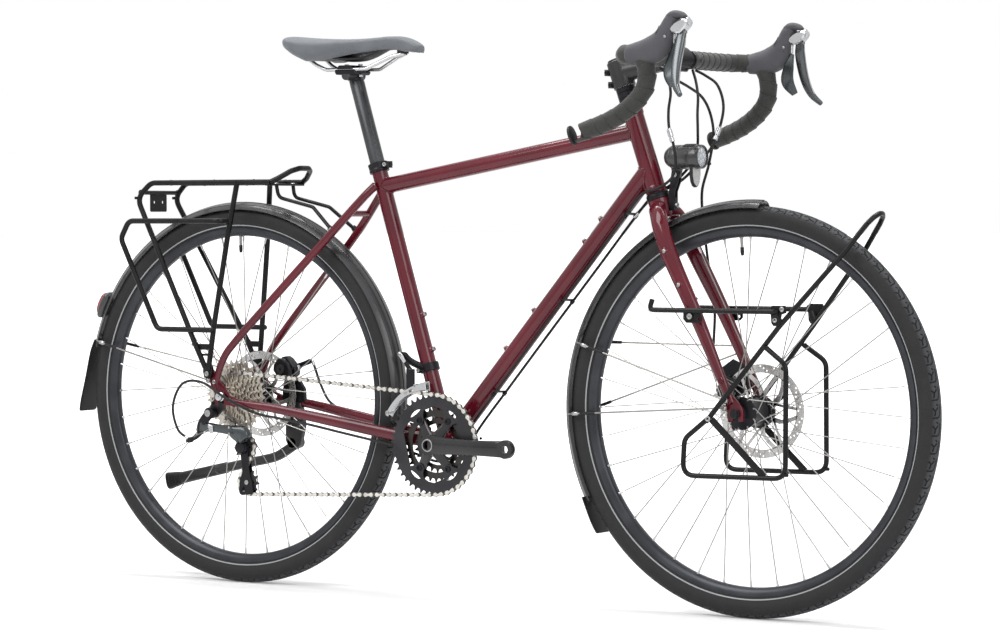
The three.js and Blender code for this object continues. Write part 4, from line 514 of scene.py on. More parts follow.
def dimpled(colour, rough, cell, depth, pale=1.3, sheen=0.1):      # a pattern of small cells pressed in
    def paint(graph, where):
        cells = graph.make("ShaderNodeTexVoronoi", {"feature": "F1"}, {"Vector": where, "Scale": cell},
                           "Distance")
        pit = graph.band(cells, 0, 1, 0.12, 0.5)
        cloud = graph.noise(where, 45, 5)
        lit = tuple(min(1, part * pale + 0.006) for part in colour[:3]) + (1,)
        tone = graph.mix(graph.band(cloud, 0, 0.8, 0.35, 0.75), colour, lit)
        pitShade = tuple(part * 0.72 for part in colour[:3]) + (1,)
        return {
            # the cells' hollows are darkened: painted shade in the pressed-in pits
            "Base Color": graph.mix((1 - pit) * 0.5, tone, pitShade),
            "Roughness": graph.band(cloud, rough - 0.05, rough + 0.08, 0.3, 0.7),
            "Normal": bumped(graph, pit, 0.35, depth),
            "Sheen Weight": sheen, "Sheen Roughness": 0.4, "Specular IOR Level": 0.25,
        }
    return paint


def clearLens(colour, rough, facet):
    def paint(graph, where):
        cells = graph.make("ShaderNodeTexVoronoi", {"feature": "DISTANCE_TO_EDGE"},
                           {"Vector": where, "Scale": facet}, "Distance")
        cut = graph.band(cells, 0, 1, 0.0, 0.25)
        deep = tuple(part * 0.45 for part in colour[:3]) + (1,)
        return {
            # darker along the facet edges: painted shade in the creases between facets
            "Base Color": graph.mix(cut, deep, colour),
            "Roughness": graph.band(graph.noise(where, 90, 3), rough, rough + 0.08, 0.3, 0.7),
            "Normal": bumped(graph, cut, 0.5, 0.0012),
            "Coat Weight": 1.0, "Coat Roughness": 0.03,
        }
    return paint


colours = {
    "burgundy": linear(92, 14, 30), "burgundyDeep": linear(76, 10, 24), "black": linear(24, 24, 26),
    "softBlack": linear(34, 34, 37), "tape": linear(50, 50, 49), "hood": linear(73, 73, 77),
    "saddle": linear(100, 103, 107), "silver": linear(196, 197, 199), "steel": linear(164, 163, 162),
    "spoke": linear(150, 148, 145),
    "chain": linear(214, 211, 205), "rim": linear(54, 55, 59), "tyre": linear(33, 33, 34),
    "red": linear(168, 18, 26),
    "stripe": linear(150, 152, 154),
    "paint": linear(30, 30, 32), "rack": linear(16, 16, 17), "guard": linear(46, 46, 48),
    "post": linear(60, 61, 63), "crank": linear(37, 37, 39), "crankDeep": linear(25, 25, 27),
    "cog": linear(206, 199, 188), "lever": linear(78, 81, 83), "mech": linear(58, 63, 65),
    "ring": linear(66, 64, 62), "disc": linear(204, 203, 202), "glass": linear(196, 202, 208),
    "innerLink": linear(104, 100, 94), "outerRing": linear(52, 52, 54), "prism": linear(206, 206, 204),
    "tyreDust": linear(52, 52, 52), "tyreWorn": linear(66, 67, 70), "grooveShade": linear(7, 7, 7),
    "hanger": linear(40, 41, 44), "flap": linear(30, 30, 31),
}
framePaint = finish("burgundyPaint", glossPaint(colours["burgundy"], colours["burgundyDeep"], fleck=0.12))
blackPaint = finish("blackPowderCoat", satinPaint(colours["paint"], 0.38, coat=0.25))
rackPaint = finish("rackPowderCoat", satinPaint(colours["rack"], 0.34, coat=0.12, shine=0.14))
guardPlastic = finish("guardPlastic", satinPaint(colours["guard"], 0.3, 500.0, 0.06, coat=0.5))
blackAlloy = finish("blackAnodised", satinPaint(colours["softBlack"], 0.36, 1500.0, 0.05, metallic=0.75))
satinHanger = finish("hangerSatin", satinPaint(colours["hanger"], 0.4, 1200.0, 0.06, metallic=0.6))
postGrey = finish("postGrey", satinPaint(colours["post"], 0.34, 1500.0, 0.05, metallic=0.6))
crankBlack = finish("crankLacquer", glossPaint(colours["crank"], colours["crankDeep"], 0.15, 0.25, 0.6))
silverAlloy = finish("polishedAlloy", brushedMetal(colours["silver"], 0.2, (200, 200, 60), 0.05, 0.2))
boltSteel = finish("boltSteel", brushedMetal(colours["steel"], 0.3, (300, 300, 300), 0.08, 0.35))
spokeSteel = finish("spokeSteel", brushedMetal(colours["spoke"], 0.32, (80, 80, 80), 0.03, 0.25))
chainSteel = finish("chainSteel", brushedMetal(colours["chain"], 0.34, (500, 120, 500), 0.1, 0.7))
innerSteel = finish("chainInnerSteel", brushedMetal(colours["innerLink"], 0.36, (500, 120, 500), 0.1, 0.8))
cogSteel = finish("cogSteel", roundBrushed(colours["cog"], rearAxle, 0.3))
leverGrey = finish("leverGrey", satinPaint(colours["lever"], 0.28, 1500.0, 0.04, metallic=0.85, coat=0.4))
mechGrey = finish("mechGrey", satinPaint(colours["mech"], 0.26, 1500.0, 0.04, metallic=0.6, coat=0.5))
ringBlack = finish("outerRingBlack", satinPaint(colours["outerRing"], 0.34, 1500.0, 0.05, metallic=0.7))
ringSteel = finish("ringSteel", roundBrushed(colours["ring"], crankAxle, 0.34))
rearDisc = finish("rearDiscSteel", roundBrushed(colours["disc"], rearAxle, 0.26))
frontDisc = finish("frontDiscSteel", roundBrushed(colours["disc"], frontAxle, 0.26))
rimAlloy = finish("rimAnodised", satinPaint(colours["rim"], 0.34, 1200.0, 0.05, metallic=0.7))
stripeFilm = finish("reflectiveStripe", softRubber(colours["stripe"], 0.4, 1500.0, 0.15, 0.3))
cableRubber = finish("cableRubber", softRubber(colours["black"], 0.42, 1400.0, 0.12, 0.2))
flapRubber = finish("flapRubber", softRubber(colours["flap"], 0.5, 600.0, 0.15, 0.3))
pulleyPlastic = finish("pulleyPlastic", softRubber(colours["softBlack"], 0.55, 900.0, 0.2, 0.4))
tapeCloth = finish("barTape", dimpled(colours["tape"], 0.72, 520.0, 0.0006, 1.35, 0.25))
hoodRubber = finish("hoodRubber", dimpled(colours["hood"], 0.58, 900.0, 0.0002, 1.2, 0.15))
saddleCover = finish("saddleCover", dimpled(colours["saddle"], 0.62, 1300.0, 0.0003, 1.25, 0.2))
saddleShell = finish("saddleShell", satinPaint(colours["black"], 0.5, 700.0, 0.1))
redLens = finish("redLens", clearLens(colours["red"], 0.08, 260.0))
lampGlass = finish("lampGlass", clearLens(colours["glass"], 0.05, 150.0))
prismGlass = finish("prismReflector", clearLens(colours["prism"], 0.12, 520.0))
print("finishes made:", len(bpy.data.materials))


# The tyre's tread is a groove pattern on its own map: s runs round the wheel, t across it, in millimetres
tread = {
    "repeats": 74, "grooveHalf": 1.15, "depth": 0.0022,
    "curve": [(1.5, 16.5), (1.8, 9), (3.5, 6), (7, 4.2), (14, 3.4), (22, 3.2)],
    "branches": [((6, 13.5), (13, 12.5)), ((13, 12.5), (18.5, 8)), ((13, 12.5), (17, 16.5)),
                 ((22.5, 8), (24, 10))],
}


def nearStroke(graph, s, t, start, end):            # distance from a straight stroke
    dx, dy = end[0] - start[0], end[1] - start[1]
    along = ((s - start[0]) * dx + (t - start[1]) * dy) * (1 / (dx * dx + dy * dy))
    held = graph.maths("MINIMUM", graph.maths("MAXIMUM", along, 0.0), 1.0)
    x = s - start[0] - held * dx
    y = t - start[1] - held * dy
    return (x * x + y * y) ** 0.5


def treadRubber(graph, where):
    spread = graph.make("ShaderNodeUVMap", {"uv_map": "around"})
    parts = graph.make("ShaderNodeSeparateXYZ", None, {"Vector": spread}, "X")
    pitch = 2 * math.pi * bike["tyreRadius"] / tread["repeats"]
    t = graph.maths("ABSOLUTE", Wire(graph, parts.socket.node.outputs["Y"]))
    s = (parts * tread["repeats"] % 1.0) * pitch
    curve = tread["curve"]
    strokes = list(zip(curve, curve[1:]))
    strokes += tread["branches"]
    near = None
    for start, end in strokes:
        reach = nearStroke(graph, s, t, start, end)
        near = reach if near is None else graph.maths("MINIMUM", near, reach)
    wall = graph.band(near, 0, 1, tread["grooveHalf"] * 0.5, tread["grooveHalf"] * 1.5)
    ribs = graph.maths("SINE", parts * (tread["repeats"] * 2 * math.pi * 9))
    onWall = graph.band(t, 0, 1, 19, 20)
    grit = graph.noise(where, 900, 3)
    dust = graph.noise(where, 40, 5, 0.6)
    tone = graph.mix(graph.band(dust, 0, 0.5, 0.4, 0.8), colours["tyre"], colours["tyreDust"])
    worn = graph.mix(graph.band(t, 1, 0, 12, 19), tone, colours["tyreWorn"])
    return {
        # the grooves are near black: painted shade in the tread's recesses
        "Base Color": graph.mix(1 - wall, worn, colours["grooveShade"]),
        "Roughness": graph.band(dust, 0.56, 0.74, 0.3, 0.7),
        "Normal": bumped(graph, wall + grit * 0.12 + ribs * onWall * 0.03, 0.9, tread["depth"]),
        "Specular IOR Level": 0.25,
    }


tyreTread = finish("tyreTread", treadRubber)


# Geometry Nodes: one tree repeats a shape round an axle, the other stands a shape at marked spots

def newTree(name, inputs):
    tree = bpy.data.node_groups.new(name, "GeometryNodeTree")
    tree.interface.new_socket(name="Geometry", in_out="INPUT", socket_type="NodeSocketGeometry")
    for label, kind in inputs:
        tree.interface.new_socket(name=label, in_out="INPUT", socket_type=kind)
    tree.interface.new_socket(name="Geometry", in_out="OUTPUT", socket_type="NodeSocketGeometry")
    graph = Graph(tree)
    given = tree.nodes.new("NodeGroupInput")
    return tree, graph, lambda label: Wire(graph, given.outputs[label])


def closeTree(tree, graph, shape, material):
    whole = graph.make("GeometryNodeRealizeInstances", None, {"Geometry": shape})
    welded = graph.make("GeometryNodeMergeByDistance", None, {"Geometry": whole, "Distance": 0.00001})
    done = graph.make("GeometryNodeSetMaterial", None, {"Geometry": welded, "Material": material})
    result = tree.nodes.new("NodeGroupOutput")
    tree.links.new(done.socket, result.inputs["Geometry"])
    return tree


def roundTree():
    wanted = [("Count", "NodeSocketInt"), ("Centre", "NodeSocketVector"), ("Start", "NodeSocketFloat"),
              ("Material", "NodeSocketMaterial")]
    tree, graph, given = newTree("repeatRound", wanted)
    spots = graph.make("GeometryNodePoints", None, {"Count": given("Count"), "Position": given("Centre")})
    index = graph.make("GeometryNodeInputIndex")
    angle = given("Start") + index * (2 * math.pi) / given("Count")
    turn = graph.make("ShaderNodeCombineXYZ", None, {"Y": 0 - angle})
    sockets = {"Points": spots, "Instance": given("Geometry"), "Rotation": turn}
    return closeTree(tree, graph, graph.make("GeometryNodeInstanceOnPoints", None, sockets),
                     given("Material"))


def spotTree():
    wanted = [("Shape", "NodeSocketObject"), ("Material", "NodeSocketMaterial")]
    tree, graph, given = newTree("standAtSpots", wanted)
    shape = graph.make("GeometryNodeObjectInfo", None, {"Object": given("Shape")}, "Geometry")
    turn = graph.make("GeometryNodeInputNamedAttribute", {"data_type": "FLOAT_VECTOR"}, {"Name": "turn"},
                      "Attribute")
    size = graph.make("GeometryNodeInputNamedAttribute", {"data_type": "FLOAT_VECTOR"}, {"Name": "size"},
                      "Attribute")
    sockets = {"Points": given("Geometry"), "Instance": shape, "Rotation": turn, "Scale": size}
    return closeTree(tree, graph, graph.make("GeometryNodeInstanceOnPoints", None, sockets),
                     given("Material"))


repeatRound = roundTree()
standAtSpots = spotTree()


def grown(name, seed, tree, values, sharp=38):      # the plain mesh that a tree makes of a seed object
    growth = seed.modifiers.new(tree.name, "NODES")
    growth.node_group = tree
    for item in tree.interface.items_tree:
        if item.in_out == "INPUT" and item.name in values:
            growth[item.identifier] = values[item.name]
    ready = seed.evaluated_get(bpy.context.evaluated_depsgraph_get())
    mesh = bpy.data.meshes.new_from_object(ready)
    mesh.name = name
    seed.modifiers.remove(growth)
    bpy.data.objects.remove(seed)
    return tidyMesh(mesh, sharp)


def localMesh(name, shape):             # a shape round its own centre, in metres
    mesh = bpy.data.meshes.new(name)
    mesh.from_pydata([point / 1000 for point in shape.points], [], shape.faces)
    return tidyMesh(mesh)


def rounds(name, shape, count, centre, material, start=0.0):
    seed = shown(name + "Seed", localMesh(name + "Seed", shape))
    values = {"Count": count, "Centre": place(centre), "Start": start, "Material": material}
    return grown(name, seed, repeatRound, values)


def stands(name, shape, spots, material):           # spots: (place, direction, size, turn about it)
    mesh = bpy.data.meshes.new(name + "Spots")
    mesh.from_pydata([place(spot[0]) for spot in spots], [], [])
    turns, sizes = [], []
    for _, way, size, roll in spots:
        if not isinstance(way, Matrix):
            way = Vector(way).to_track_quat("Z", "Y").to_matrix() @ Matrix.Rotation(roll, 3, "Z")
        turns += list(way.to_euler())
        sizes += list(size)
    mesh.attributes.new("turn", "FLOAT_VECTOR", "POINT").data.foreach_set("vector", turns)
    mesh.attributes.new("size", "FLOAT_VECTOR", "POINT").data.foreach_set("vector", sizes)
    pattern = shown(name + "Pattern", localMesh(name + "Pattern", shape))
    grownMesh = grown(name, shown(name + "Spots", mesh), standAtSpots,
                      {"Shape": pattern, "Material": material})
    bpy.data.objects.remove(pattern)
    return grownMesh


def crosswise(y, z, x):                 # a flat outline stood across the bicycle
    return (x, y, z)


def level(x, y, z):                     # a flat outline laid parallel to the ground, its thickness upwards
    return (x, y, z)


def socketScrew():                      # of radius and height 1 mm, with a hexagon socket
    screw = Shape()
    screw.plate(ringOf(20, 1), 0, 1, [ringOf(6, 0.5)], 0.14, level)
    screw.plate(ringOf(6, 0.52), 0.05, 0.5, soft=0.02, lift=level)
    return screw


def hexNut():
    return Shape().plate(ringOf(6, 1), 0, 1, [ringOf(16, 0.45)], 0.1, level)


def domeHead():                         # a button head with a round recess
    screw = Shape()
    screw.turn((0, 0, 0), (0, 0, 1), [(0, 0), (1, 0), (0.98, 0.25), (0.8, 0.6), (0.48, 0.85), (0.42, 0.5),
                                      (0, 0.5)], 20, False)
    return screw


# Every screw is noted here and stood in place at the end, one mesh for each body
screwLists = {}


def screw(body, kind, at, way, radius, height, roll=0.3):
    spot = (Vector(at), Vector(way), (radius, radius, height), roll)
    screwLists.setdefault((body, kind), []).append(spot)


# Wheels

wheel = {
    "steps": 144, "rimInner": 296, "rimOuter": 310, "rimHalf": 12, "rimWaist": 8.5, "tyreHalf": 19,
    "stripeRadius": 315.6, "stripeHalf": 1.0, "spokes": 36, "spokeRadius": 0.95, "cross": math.radians(60),
    "nippleLength": 12, "discRadius": 80, "discBand": 66, "discThickness": 1.8,
    "valve": [(0, 0), (3.6, 0), (3.6, 2.2), (2.6, 2.6), (2.6, 18), (0, 18)],
    "valveCap": [(0, 0), (3.3, 0), (3.4, 8), (2.6, 13.5), (0, 14.5)],
    "spokeHead": [(0, -0.4), (1.7, -0.2), (1.5, 0.5), (0, 0.9)],
    "nipple": [(0, 0), (2.4, 0), (2.4, 1.5), (1.9, 2), (1.8, 9), (1.3, 11.5), (0, 11.5)],
}
hubs = {
    "rear": {"spacing": 135, "right": 20, "left": 34, "flange": 23, "core": 14, "inset": 15.3, "stub": 7.2},
    "front": {"spacing": 100, "right": 34, "left": 22, "flange": 28, "core": 23, "inset": 10.5,
              "stub": 7.5},
}


def tyreProfile():
    half = wheel["tyreHalf"]
    ringRadius = bike["tyreRadius"] - half
    points = [(wheel["rimOuter"] - 2, 10.6), (wheel["rimOuter"] + 1.5, 11.6), (314.6, 13.6)]
    points += [(wheel["stripeRadius"] - wheel["stripeHalf"], 14.2),
               (wheel["stripeRadius"] + wheel["stripeHalf"], 15.3)]
    for step in range(13):
        angle = math.radians(-22 + 112 * step / 12)
        points.append((ringRadius + half * math.sin(angle), half * math.cos(angle)))
    return points


def makeTyre(side, centre):
    name = side + "Tyre"
    half = tyreProfile()
    profile = [(r, y) for r, y in half] + [(r, -y) for r, y in reversed(half[:-1])]
    profile += [(wheel["rimOuter"] - 6, -8), (wheel["rimOuter"] - 6, 8)]
    steps = wheel["steps"]
    count = len(profile)
    points, faces, marks, spread = [], [], [], []
    lengths = [0.0]
    for a, b in zip(profile, profile[1:] + profile[:1]):
        lengths.append(lengths[-1] + math.dist(a, b))
    middle = lengths[len(half) - 1]
    for k in range(steps):
        angle = 2 * math.pi * k / steps
        points += [polar(centre, r, angle, y) for r, y in profile]
    for k in range(steps):
        for i in range(count):
            n, m = (k + 1) % steps, (i + 1) % count
            faces.append((k * count + i, k * count + m, n * count + m, n * count + i))
            radii = sorted((profile[i][0], profile[m][0]))
            onStripe = abs(sum(radii) / 2 - wheel["stripeRadius"]) < 0.3
            marks.append(1 if onStripe else 0)
            low, high = k / steps, (k + 1) / steps
            first, second = lengths[i] - middle, lengths[i + 1] - middle
            spread += [(low, first), (low, second), (high, second), (high, first)]
    mesh = bpy.data.meshes.new(name)
    mesh.from_pydata([place(point) for point in points], [], faces)
    mesh.materials.append(tyreTread)
    mesh.materials.append(stripeFilm)
    mesh.polygons.foreach_set("material_index", marks)
    layer = mesh.uv_layers.new(name="around")
    layer.data.foreach_set("uv", [value for pair in spread for value in pair])
    dress(shown(name, tidyMesh(mesh, 60)), side + "_wheel", "tyre_rubber", [side + "_tyre"])


def makeRim(side, centre):
    inner, outer, waist, wide = wheel["rimInner"], wheel["rimOuter"], wheel["rimWaist"], wheel["rimHalf"]
    half = [(inner, 2.5), (inner + 0.6, 5.2), (inner + 2.2, waist - 0.6), (inner + 5, waist + 1.0),
            (inner + 8, wide - 0.6), (outer - 1.2, wide), (outer + 0.8, wide + 0.2),
            (outer + 1.2, wide - 0.8), (outer + 0.5, wide - 1.6), (outer - 5, wide - 2.2)]
    profile = half + [(r, -y) for r, y in reversed(half)]
    shape = Shape().turn(centre, across, profile, wheel["steps"])
    piece(side + "Rim", shape, rimAlloy, side + "_wheel", "rim_alloy", [side + "_rim"], 50)
    valveAngle = math.radians(91.5 if side == "rear" else 93.5)
    valve = Shape()
    way = polar((0, 0, 0), 1, valveAngle)
    tip = lambda radius: Vector(centre) + way * radius
    valve.turn(tip(inner + 1), -way, wheel["valve"], 20, False)
    piece(side + "ValveStem", valve, spokeSteel, side + "_wheel", "steel", [])
    cap = Shape().turn(tip(inner - 17), -way, wheel["valveCap"], 18, False)
    piece(side + "ValveCap", cap, cableRubber, side + "_wheel", "cable_housing", [])


def makeSpokes(side, centre):
    hub = hubs[side]
    group = Shape()
    count = wheel["spokes"]
    nipples = Shape()
    for y, offset in ((-hub["right"], 0.0), (hub["left"], 2 * math.pi / count)):
        for k in (0, 1):
            lean = -1 if k % 2 else 1
            root = offset + 4 * math.pi * k / count
            aim = root + lean * wheel["cross"]
            head = polar((0, 0, 0), hub["flange"] - 2.5, root, y + lean * 2.4)
            elbow = polar((0, 0, 0), hub["flange"] - 2.3, root, y + lean * 2.0)
            bow = polar((0, 0, 0), hub["flange"] + 0.2, root + lean * 0.05, y + lean * 1.6)
            reach = wheel["rimInner"] - wheel["nippleLength"] * 0.6
            rimEnd = polar((0, 0, 0), wheel["rimInner"] + 2, aim, lean * 1.2)
            inner = bow.lerp(rimEnd, (reach - hub["flange"]) / (wheel["rimInner"] - hub["flange"]))
            group.sweep([head, elbow, bow, bow.lerp(inner, 0.5), inner], wheel["spokeRadius"], 6)
            group.turn(head, Vector((0, lean, 0)), wheel["spokeHead"], 8, False)
            base = rimEnd.lerp(inner, 0.2)
            way = (inner - rimEnd).normalized()
            nipples.turn(base, way, wheel["nipple"], 8, False)
    wires = rounds(side + "Spokes", group, count // 4, centre, spokeSteel)
    dress(shown(side + "Spokes", wires), side + "_wheel", "steel", [side + "_hub"])
    ends = rounds(side + "Nipples", nipples, count // 4, centre, silverAlloy)
    dress(shown(side + "Nipples", ends), side + "_wheel", "silver_alloy")


def makeHub(side, centre):
    hub = hubs[side]
    discY = hub["spacing"] / 2 - hub["inset"]
    end = hub["spacing"] / 2 - 0.3
    core, flange = hub["core"], hub["flange"]
    right, left = -hub["right"], hub["left"]
    profile = [
        (3, -end), (hub["stub"], -end), (hub["stub"], right - 12), (10, right - 9), (12, right - 4.2),
        (flange - 7, right - 2.6), (flange - 0.8, right - 1.9), (flange, right - 1.2),
        (flange, right + 1.2), (flange - 0.8, right + 1.9), (flange - 7, right + 2.6),
        (core + 2, right + 6), (core + 0.4, right + 10), (core - 0.8, (right + left) / 2),
        (core + 0.4, left - 10), (core + 2, left - 6), (flange - 7, left - 2.6),
        (flange - 0.8, left - 1.9), (flange, left - 1.2), (flange, left + 1.2), (flange - 0.8, left + 1.9),
        (19, left + 3), (21, left + 5), (21, discY - 2.2), (20.6, discY - 1.3), (17.2, discY - 1.3),
        (17.2, discY + 2.4), (15.5, discY + 3), (hub["stub"] + 2, discY + 3.2), (hub["stub"], discY + 4.5),
        (hub["stub"], end), (3, end),
    ]
    shape = Shape().turn(centre, across, profile, 56)
    piece(side + "HubShell", shape, blackAlloy, side + "_wheel", "black_alloy", [side + "_hub"], 32)


rotor = {
    "bar": [(17.5, 0.1), (25, 0.18), (40, 0.3), (54, 0.48), (67.5, 0.62)],
    "brace": [(26, 0.22), (45, -0.1), (67.5, -0.22)],
}


def makeDisc(side, centre):
    hub = hubs[side]
    discY = hub["spacing"] / 2 - hub["inset"]
    low, high = discY - wheel["discThickness"] / 2, discY + wheel["discThickness"] / 2
    arms = 6
    sector = Shape()
    share = 2 * math.pi / arms

    def edge(line, extra):              # a curved bar's side
        return [(r * math.cos(a + extra / r), r * math.sin(a + extra / r)) for r, a in line]

    def around(radius, start, end, steps):
        spins = [start + (end - start) * i / steps for i in range(steps + 1)]
        return [(radius * math.cos(spin), radius * math.sin(spin)) for spin in spins]

    outline = around(wheel["discRadius"], 0, share, 22) + around(wheel["discBand"] - 0.5, share, 0, 22)
    holes = []
    for k in range(3):
        for row, radius in enumerate((69.5, 73.2, 76.6)):
            angle = share * (k + 0.25 + row * 0.25) / 3
            holes.append(ringOf(8, 1.7, (radius * math.cos(angle), radius * math.sin(angle))))
    sector.plate(outline, low, high, holes, 0.15)
    for line, half in ((rotor["bar"], 4.2), (rotor["brace"], 2.6)):
        sector.plate(edge(line, half) + edge(line, -half)[::-1], low, high, [], 0.15)
    ringOutline = around(26.5, 0, share, 8) + around(17.6, share, 0, 8)
    hole = ringOf(10, 2.7, (22 * math.cos(share / 2), 22 * math.sin(share / 2)))
    sector.plate(ringOutline, low, high, [hole], 0.15)
    material = rearDisc if side == "rear" else frontDisc
    mesh = rounds(side + "Disc", sector, arms, centre, material, 0.3)
    dress(shown(side + "Disc", mesh), side + "_wheel", "steel", [side + "_rotor"])
    for k in range(arms):
        spot = polar(centre, 22, 0.3 + share * (k + 0.5), high)
        screw(side + "_wheel", "dome", spot, across, 4.6, 2.4)


for side, centre in (("rear", rearAxle), ("front", frontAxle)):
    makeTyre(side, centre)
    makeRim(side, centre)
    makeSpokes(side, centre)
    makeHub(side, centre)
    makeDisc(side, centre)
print("wheels made")


# Frame tubes

mainTube = {
    "seatRadius": 14.3, "topRadius": 14.3, "downRadius": 17.45, "headRadius": 17.4, "headRing": 18.6,
    "headRingLength": 11,
    "headLength": 152, "seatLength": 522, "topOnSeat": 480, "topOnHead": 113, "downOnHead": 42,
    "shellRadius": 20.5,
    "shellHalf": 34, "cupRadius": 21.6, "cupWidth": 8, "bossShares": [0.33, 0.47, 0.72, 0.8],
    "seatBosses": [170, 235],
    "beadRadius": 2.1,
}
crankFoot = crankAxle.copy()
downTop = onHead(mainTube["downOnHead"])
downWay = (downTop - crankFoot).normalized()


# A weld seam where a tube meets its host
def bead(shape, foot, way, radius, host, hostWay, hostRadius, size=None):
    size = size or mainTube["beadRadius"]
    foot, way = Vector(foot), Vector(way).normalized()
    host, hostWay = Vector(host), Vector(hostWay).normalized()
    side = (across - way * across.dot(way)).normalized()
    rise = way.cross(side)
    flat = way - hostWay * way.dot(hostWay)
    run = []
    steps = 72
    for k in range(steps):
        angle = 2 * math.pi * k / steps
        start = foot + side * (radius * math.cos(angle)) + rise * (radius * math.sin(angle))
        gap = start - host
        gap -= hostWay * gap.dot(hostWay)
        a, b, c = flat.dot(flat), 2 * flat.dot(gap), gap.dot(gap) - hostRadius ** 2
        inside = max(b * b - 4 * a * c, 0.0)
        run.append(start + way * ((-b - math.sqrt(inside)) / (2 * a)))
    # the ripple of the weld pool
    halves = [size * (1 + 0.1 * math.sin(k * 2 * math.pi / 3)) for k in range(steps)]
    return shape.sweep(run, halves, 8, lead=way, looped=True)


def boss(shape, foot, way, lift):       # a threaded boss with its collar
    shape.turn(foot, way, [(0, -3), (6.4, -3), (6.2, 0.4), (5.0, lift - 0.9), (4.6, lift), (0, lift)], 20,
               False)


def makeHeadTube():
    length, ring, plain = mainTube["headLength"], mainTube["headRing"], mainTube["headRadius"]
    wide = mainTube["headRingLength"]
    profile = [(15.5, 0), (ring - 0.5, 0), (ring, 0.6), (ring, wide - 1.2), (plain + 0.3, wide + 0.6),
               (plain, wide + 1.6), (plain, length - wide - 1.6), (plain + 0.3, length - wide - 0.6),
               (ring, length - wide + 1.2), (ring, length - 0.6), (ring - 0.5, length), (15.5, length)]
    shape = Shape().turn(onHead(0), headWay, profile, 64)
    topWay = (onHead(mainTube["topOnHead"]) - onSeat(mainTube["topOnSeat"])).normalized()
    bead(shape, onSeat(mainTube["topOnSeat"]), topWay, mainTube["topRadius"], onHead(0), headWay, plain)
    bead(shape, crankFoot, downWay, mainTube["downRadius"] - 0.2, onHead(0), headWay, plain)
    piece("headTube", shape, framePaint, "frame", "frame_paint", ["head_tube"])


def makeTopTube():
    start, end = onSeat(mainTube["topOnSeat"]), onHead(mainTube["topOnHead"])
    way = (end - start).normalized()
    shape = Shape().sweep([start + way * 4, start.lerp(end, 0.5), end - way * 4], mainTube["topRadius"], 48)
    bead(shape, end, -way, mainTube["topRadius"], crankFoot, seatWay, mainTube["seatRadius"])
    piece("topTube", shape, framePaint, "frame", "frame_paint", ["top_tube"])


def makeDownTube():
    shape = Shape().sweep([crankFoot + downWay * 8, crankFoot.lerp(downTop, 0.5), downTop - downWay * 4],
                          mainTube["downRadius"], 56)
    outward = Vector((-downWay.z, 0, downWay.x))
    for share in mainTube["bossShares"]:
        foot = crankFoot.lerp(downTop, share) + outward * mainTube["downRadius"]
        boss(shape, foot, outward, 3.3)
        screw("frame", "socket", foot + outward * 3.2, outward, 4.4, 3.2)
    bead(shape, downTop, -downWay, mainTube["downRadius"] - 0.3, crankFoot, across, mainTube["shellRadius"])
    piece("downTube", shape, framePaint, "frame", "frame_paint", ["down_tube"])


def makeSeatTube():
    top = onSeat(mainTube["seatLength"])
    thick = mainTube["seatRadius"]
    run = [crankFoot + seatWay * 6, crankFoot.lerp(top, 0.5), top - seatWay * 0.5, top]
    shape = Shape().sweep(run, [thick, thick, thick, thick - 0.5], 48)
    half, radius = mainTube["shellHalf"], mainTube["shellRadius"]
    profile = [(13, -half), (radius - 0.8, -half), (radius, -half + 0.8), (radius, half - 0.8),
               (radius - 0.8, half), (13, half)]
    shape.turn(crankFoot, across, profile, 56)
    bead(shape, top, -seatWay, mainTube["seatRadius"], crankFoot, across, radius)
    for distance in mainTube["seatBosses"]:
        foot = onSeat(distance) + seatFront * mainTube["seatRadius"]
        boss(shape, foot, seatFront, 3.3)
        screw("frame", "socket", foot + seatFront * 3.2, seatFront, 4.4, 3.2)
    piece("seatTube", shape, framePaint, "frame", "frame_paint", ["seat_tube"])
    cups = Shape()
    for side in (-1, 1):
        teeth = []
        for k in range(32):
            angle = 2 * math.pi * k / 32
            reach = mainTube["cupRadius"] - (1.3 if k % 2 else 0.0)
            teeth += [(reach * math.cos(angle - 0.06), reach * math.sin(angle - 0.06)),
                      (reach * math.cos(angle + 0.06), reach * math.sin(angle + 0.06))]
        teeth = [(crankFoot.x + x, crankFoot.z + z) for x, z in teeth]
        low, high = sorted((side * (half + 0.2), side * (half + mainTube["cupWidth"])))
        cups.plate(teeth, low, high, [ringOf(32, 12.7, (crankFoot.x, crankFoot.z))], 0.5)
    piece("bottomBracketCups", cups, blackAlloy, "frame", "black_alloy")


makeHeadTube()
makeTopTube()
makeDownTube()
makeSeatTube()
print("main tubes made")


# Stays, dropouts, bridges and the rear skewer

chainStay = {
    "places": [(24, 70.5, 341), (60, 69, 336), (110, 63.5, 331), (258, 48.5, 307), (330, 37.5, 294),
               (372, 31.7, 287), (440, 18, 275.5)],
    "wides": [9, 11, 13, 16, 15, 14.5, 15], "talls": [13, 15, 17, 21, 22, 22, 24],
}
seatStay = {
    "places": [(308, 16, 737), (288, 24.5, 716), (226, 41, 649), (108, 57, 531), (16, 68.5, 437),
               (-2, 70, 408), (-11, 70.5, 380), (-13, 70.5, 362)],
    "wides": [15, 15, 15, 15, 12, 10, 10, 10], "talls": [15, 15, 15, 15, 14, 14, 13, 13],
}
dropout = {
    "inner": 67.5, "thickness": 6,
    "outline": [(-22, 18), (-27, 30), (-32, 40), (-28, 48), (-20, 50), (-12, 42), (0, 26), (12, 14),
                (22, 2), (32, -1), (40, -6), (41, -12), (38, -18), (26, -17), (14, -14), (12, -16),
                (6.2, -20), (6, -1), (0, 5.6), (-6, -1), (-6.2, -20), (-12, -16), (-16, -6), (-15, 6)],
    "hanger": [(-16, 345), (10, 335), (2, 325), (-6, 317), (-10, 312), (-14, 310), (-19, 309.5),
               (-24, 311.5), (-27.5, 315), (-28, 320), (-27, 326), (-26, 331)],
}


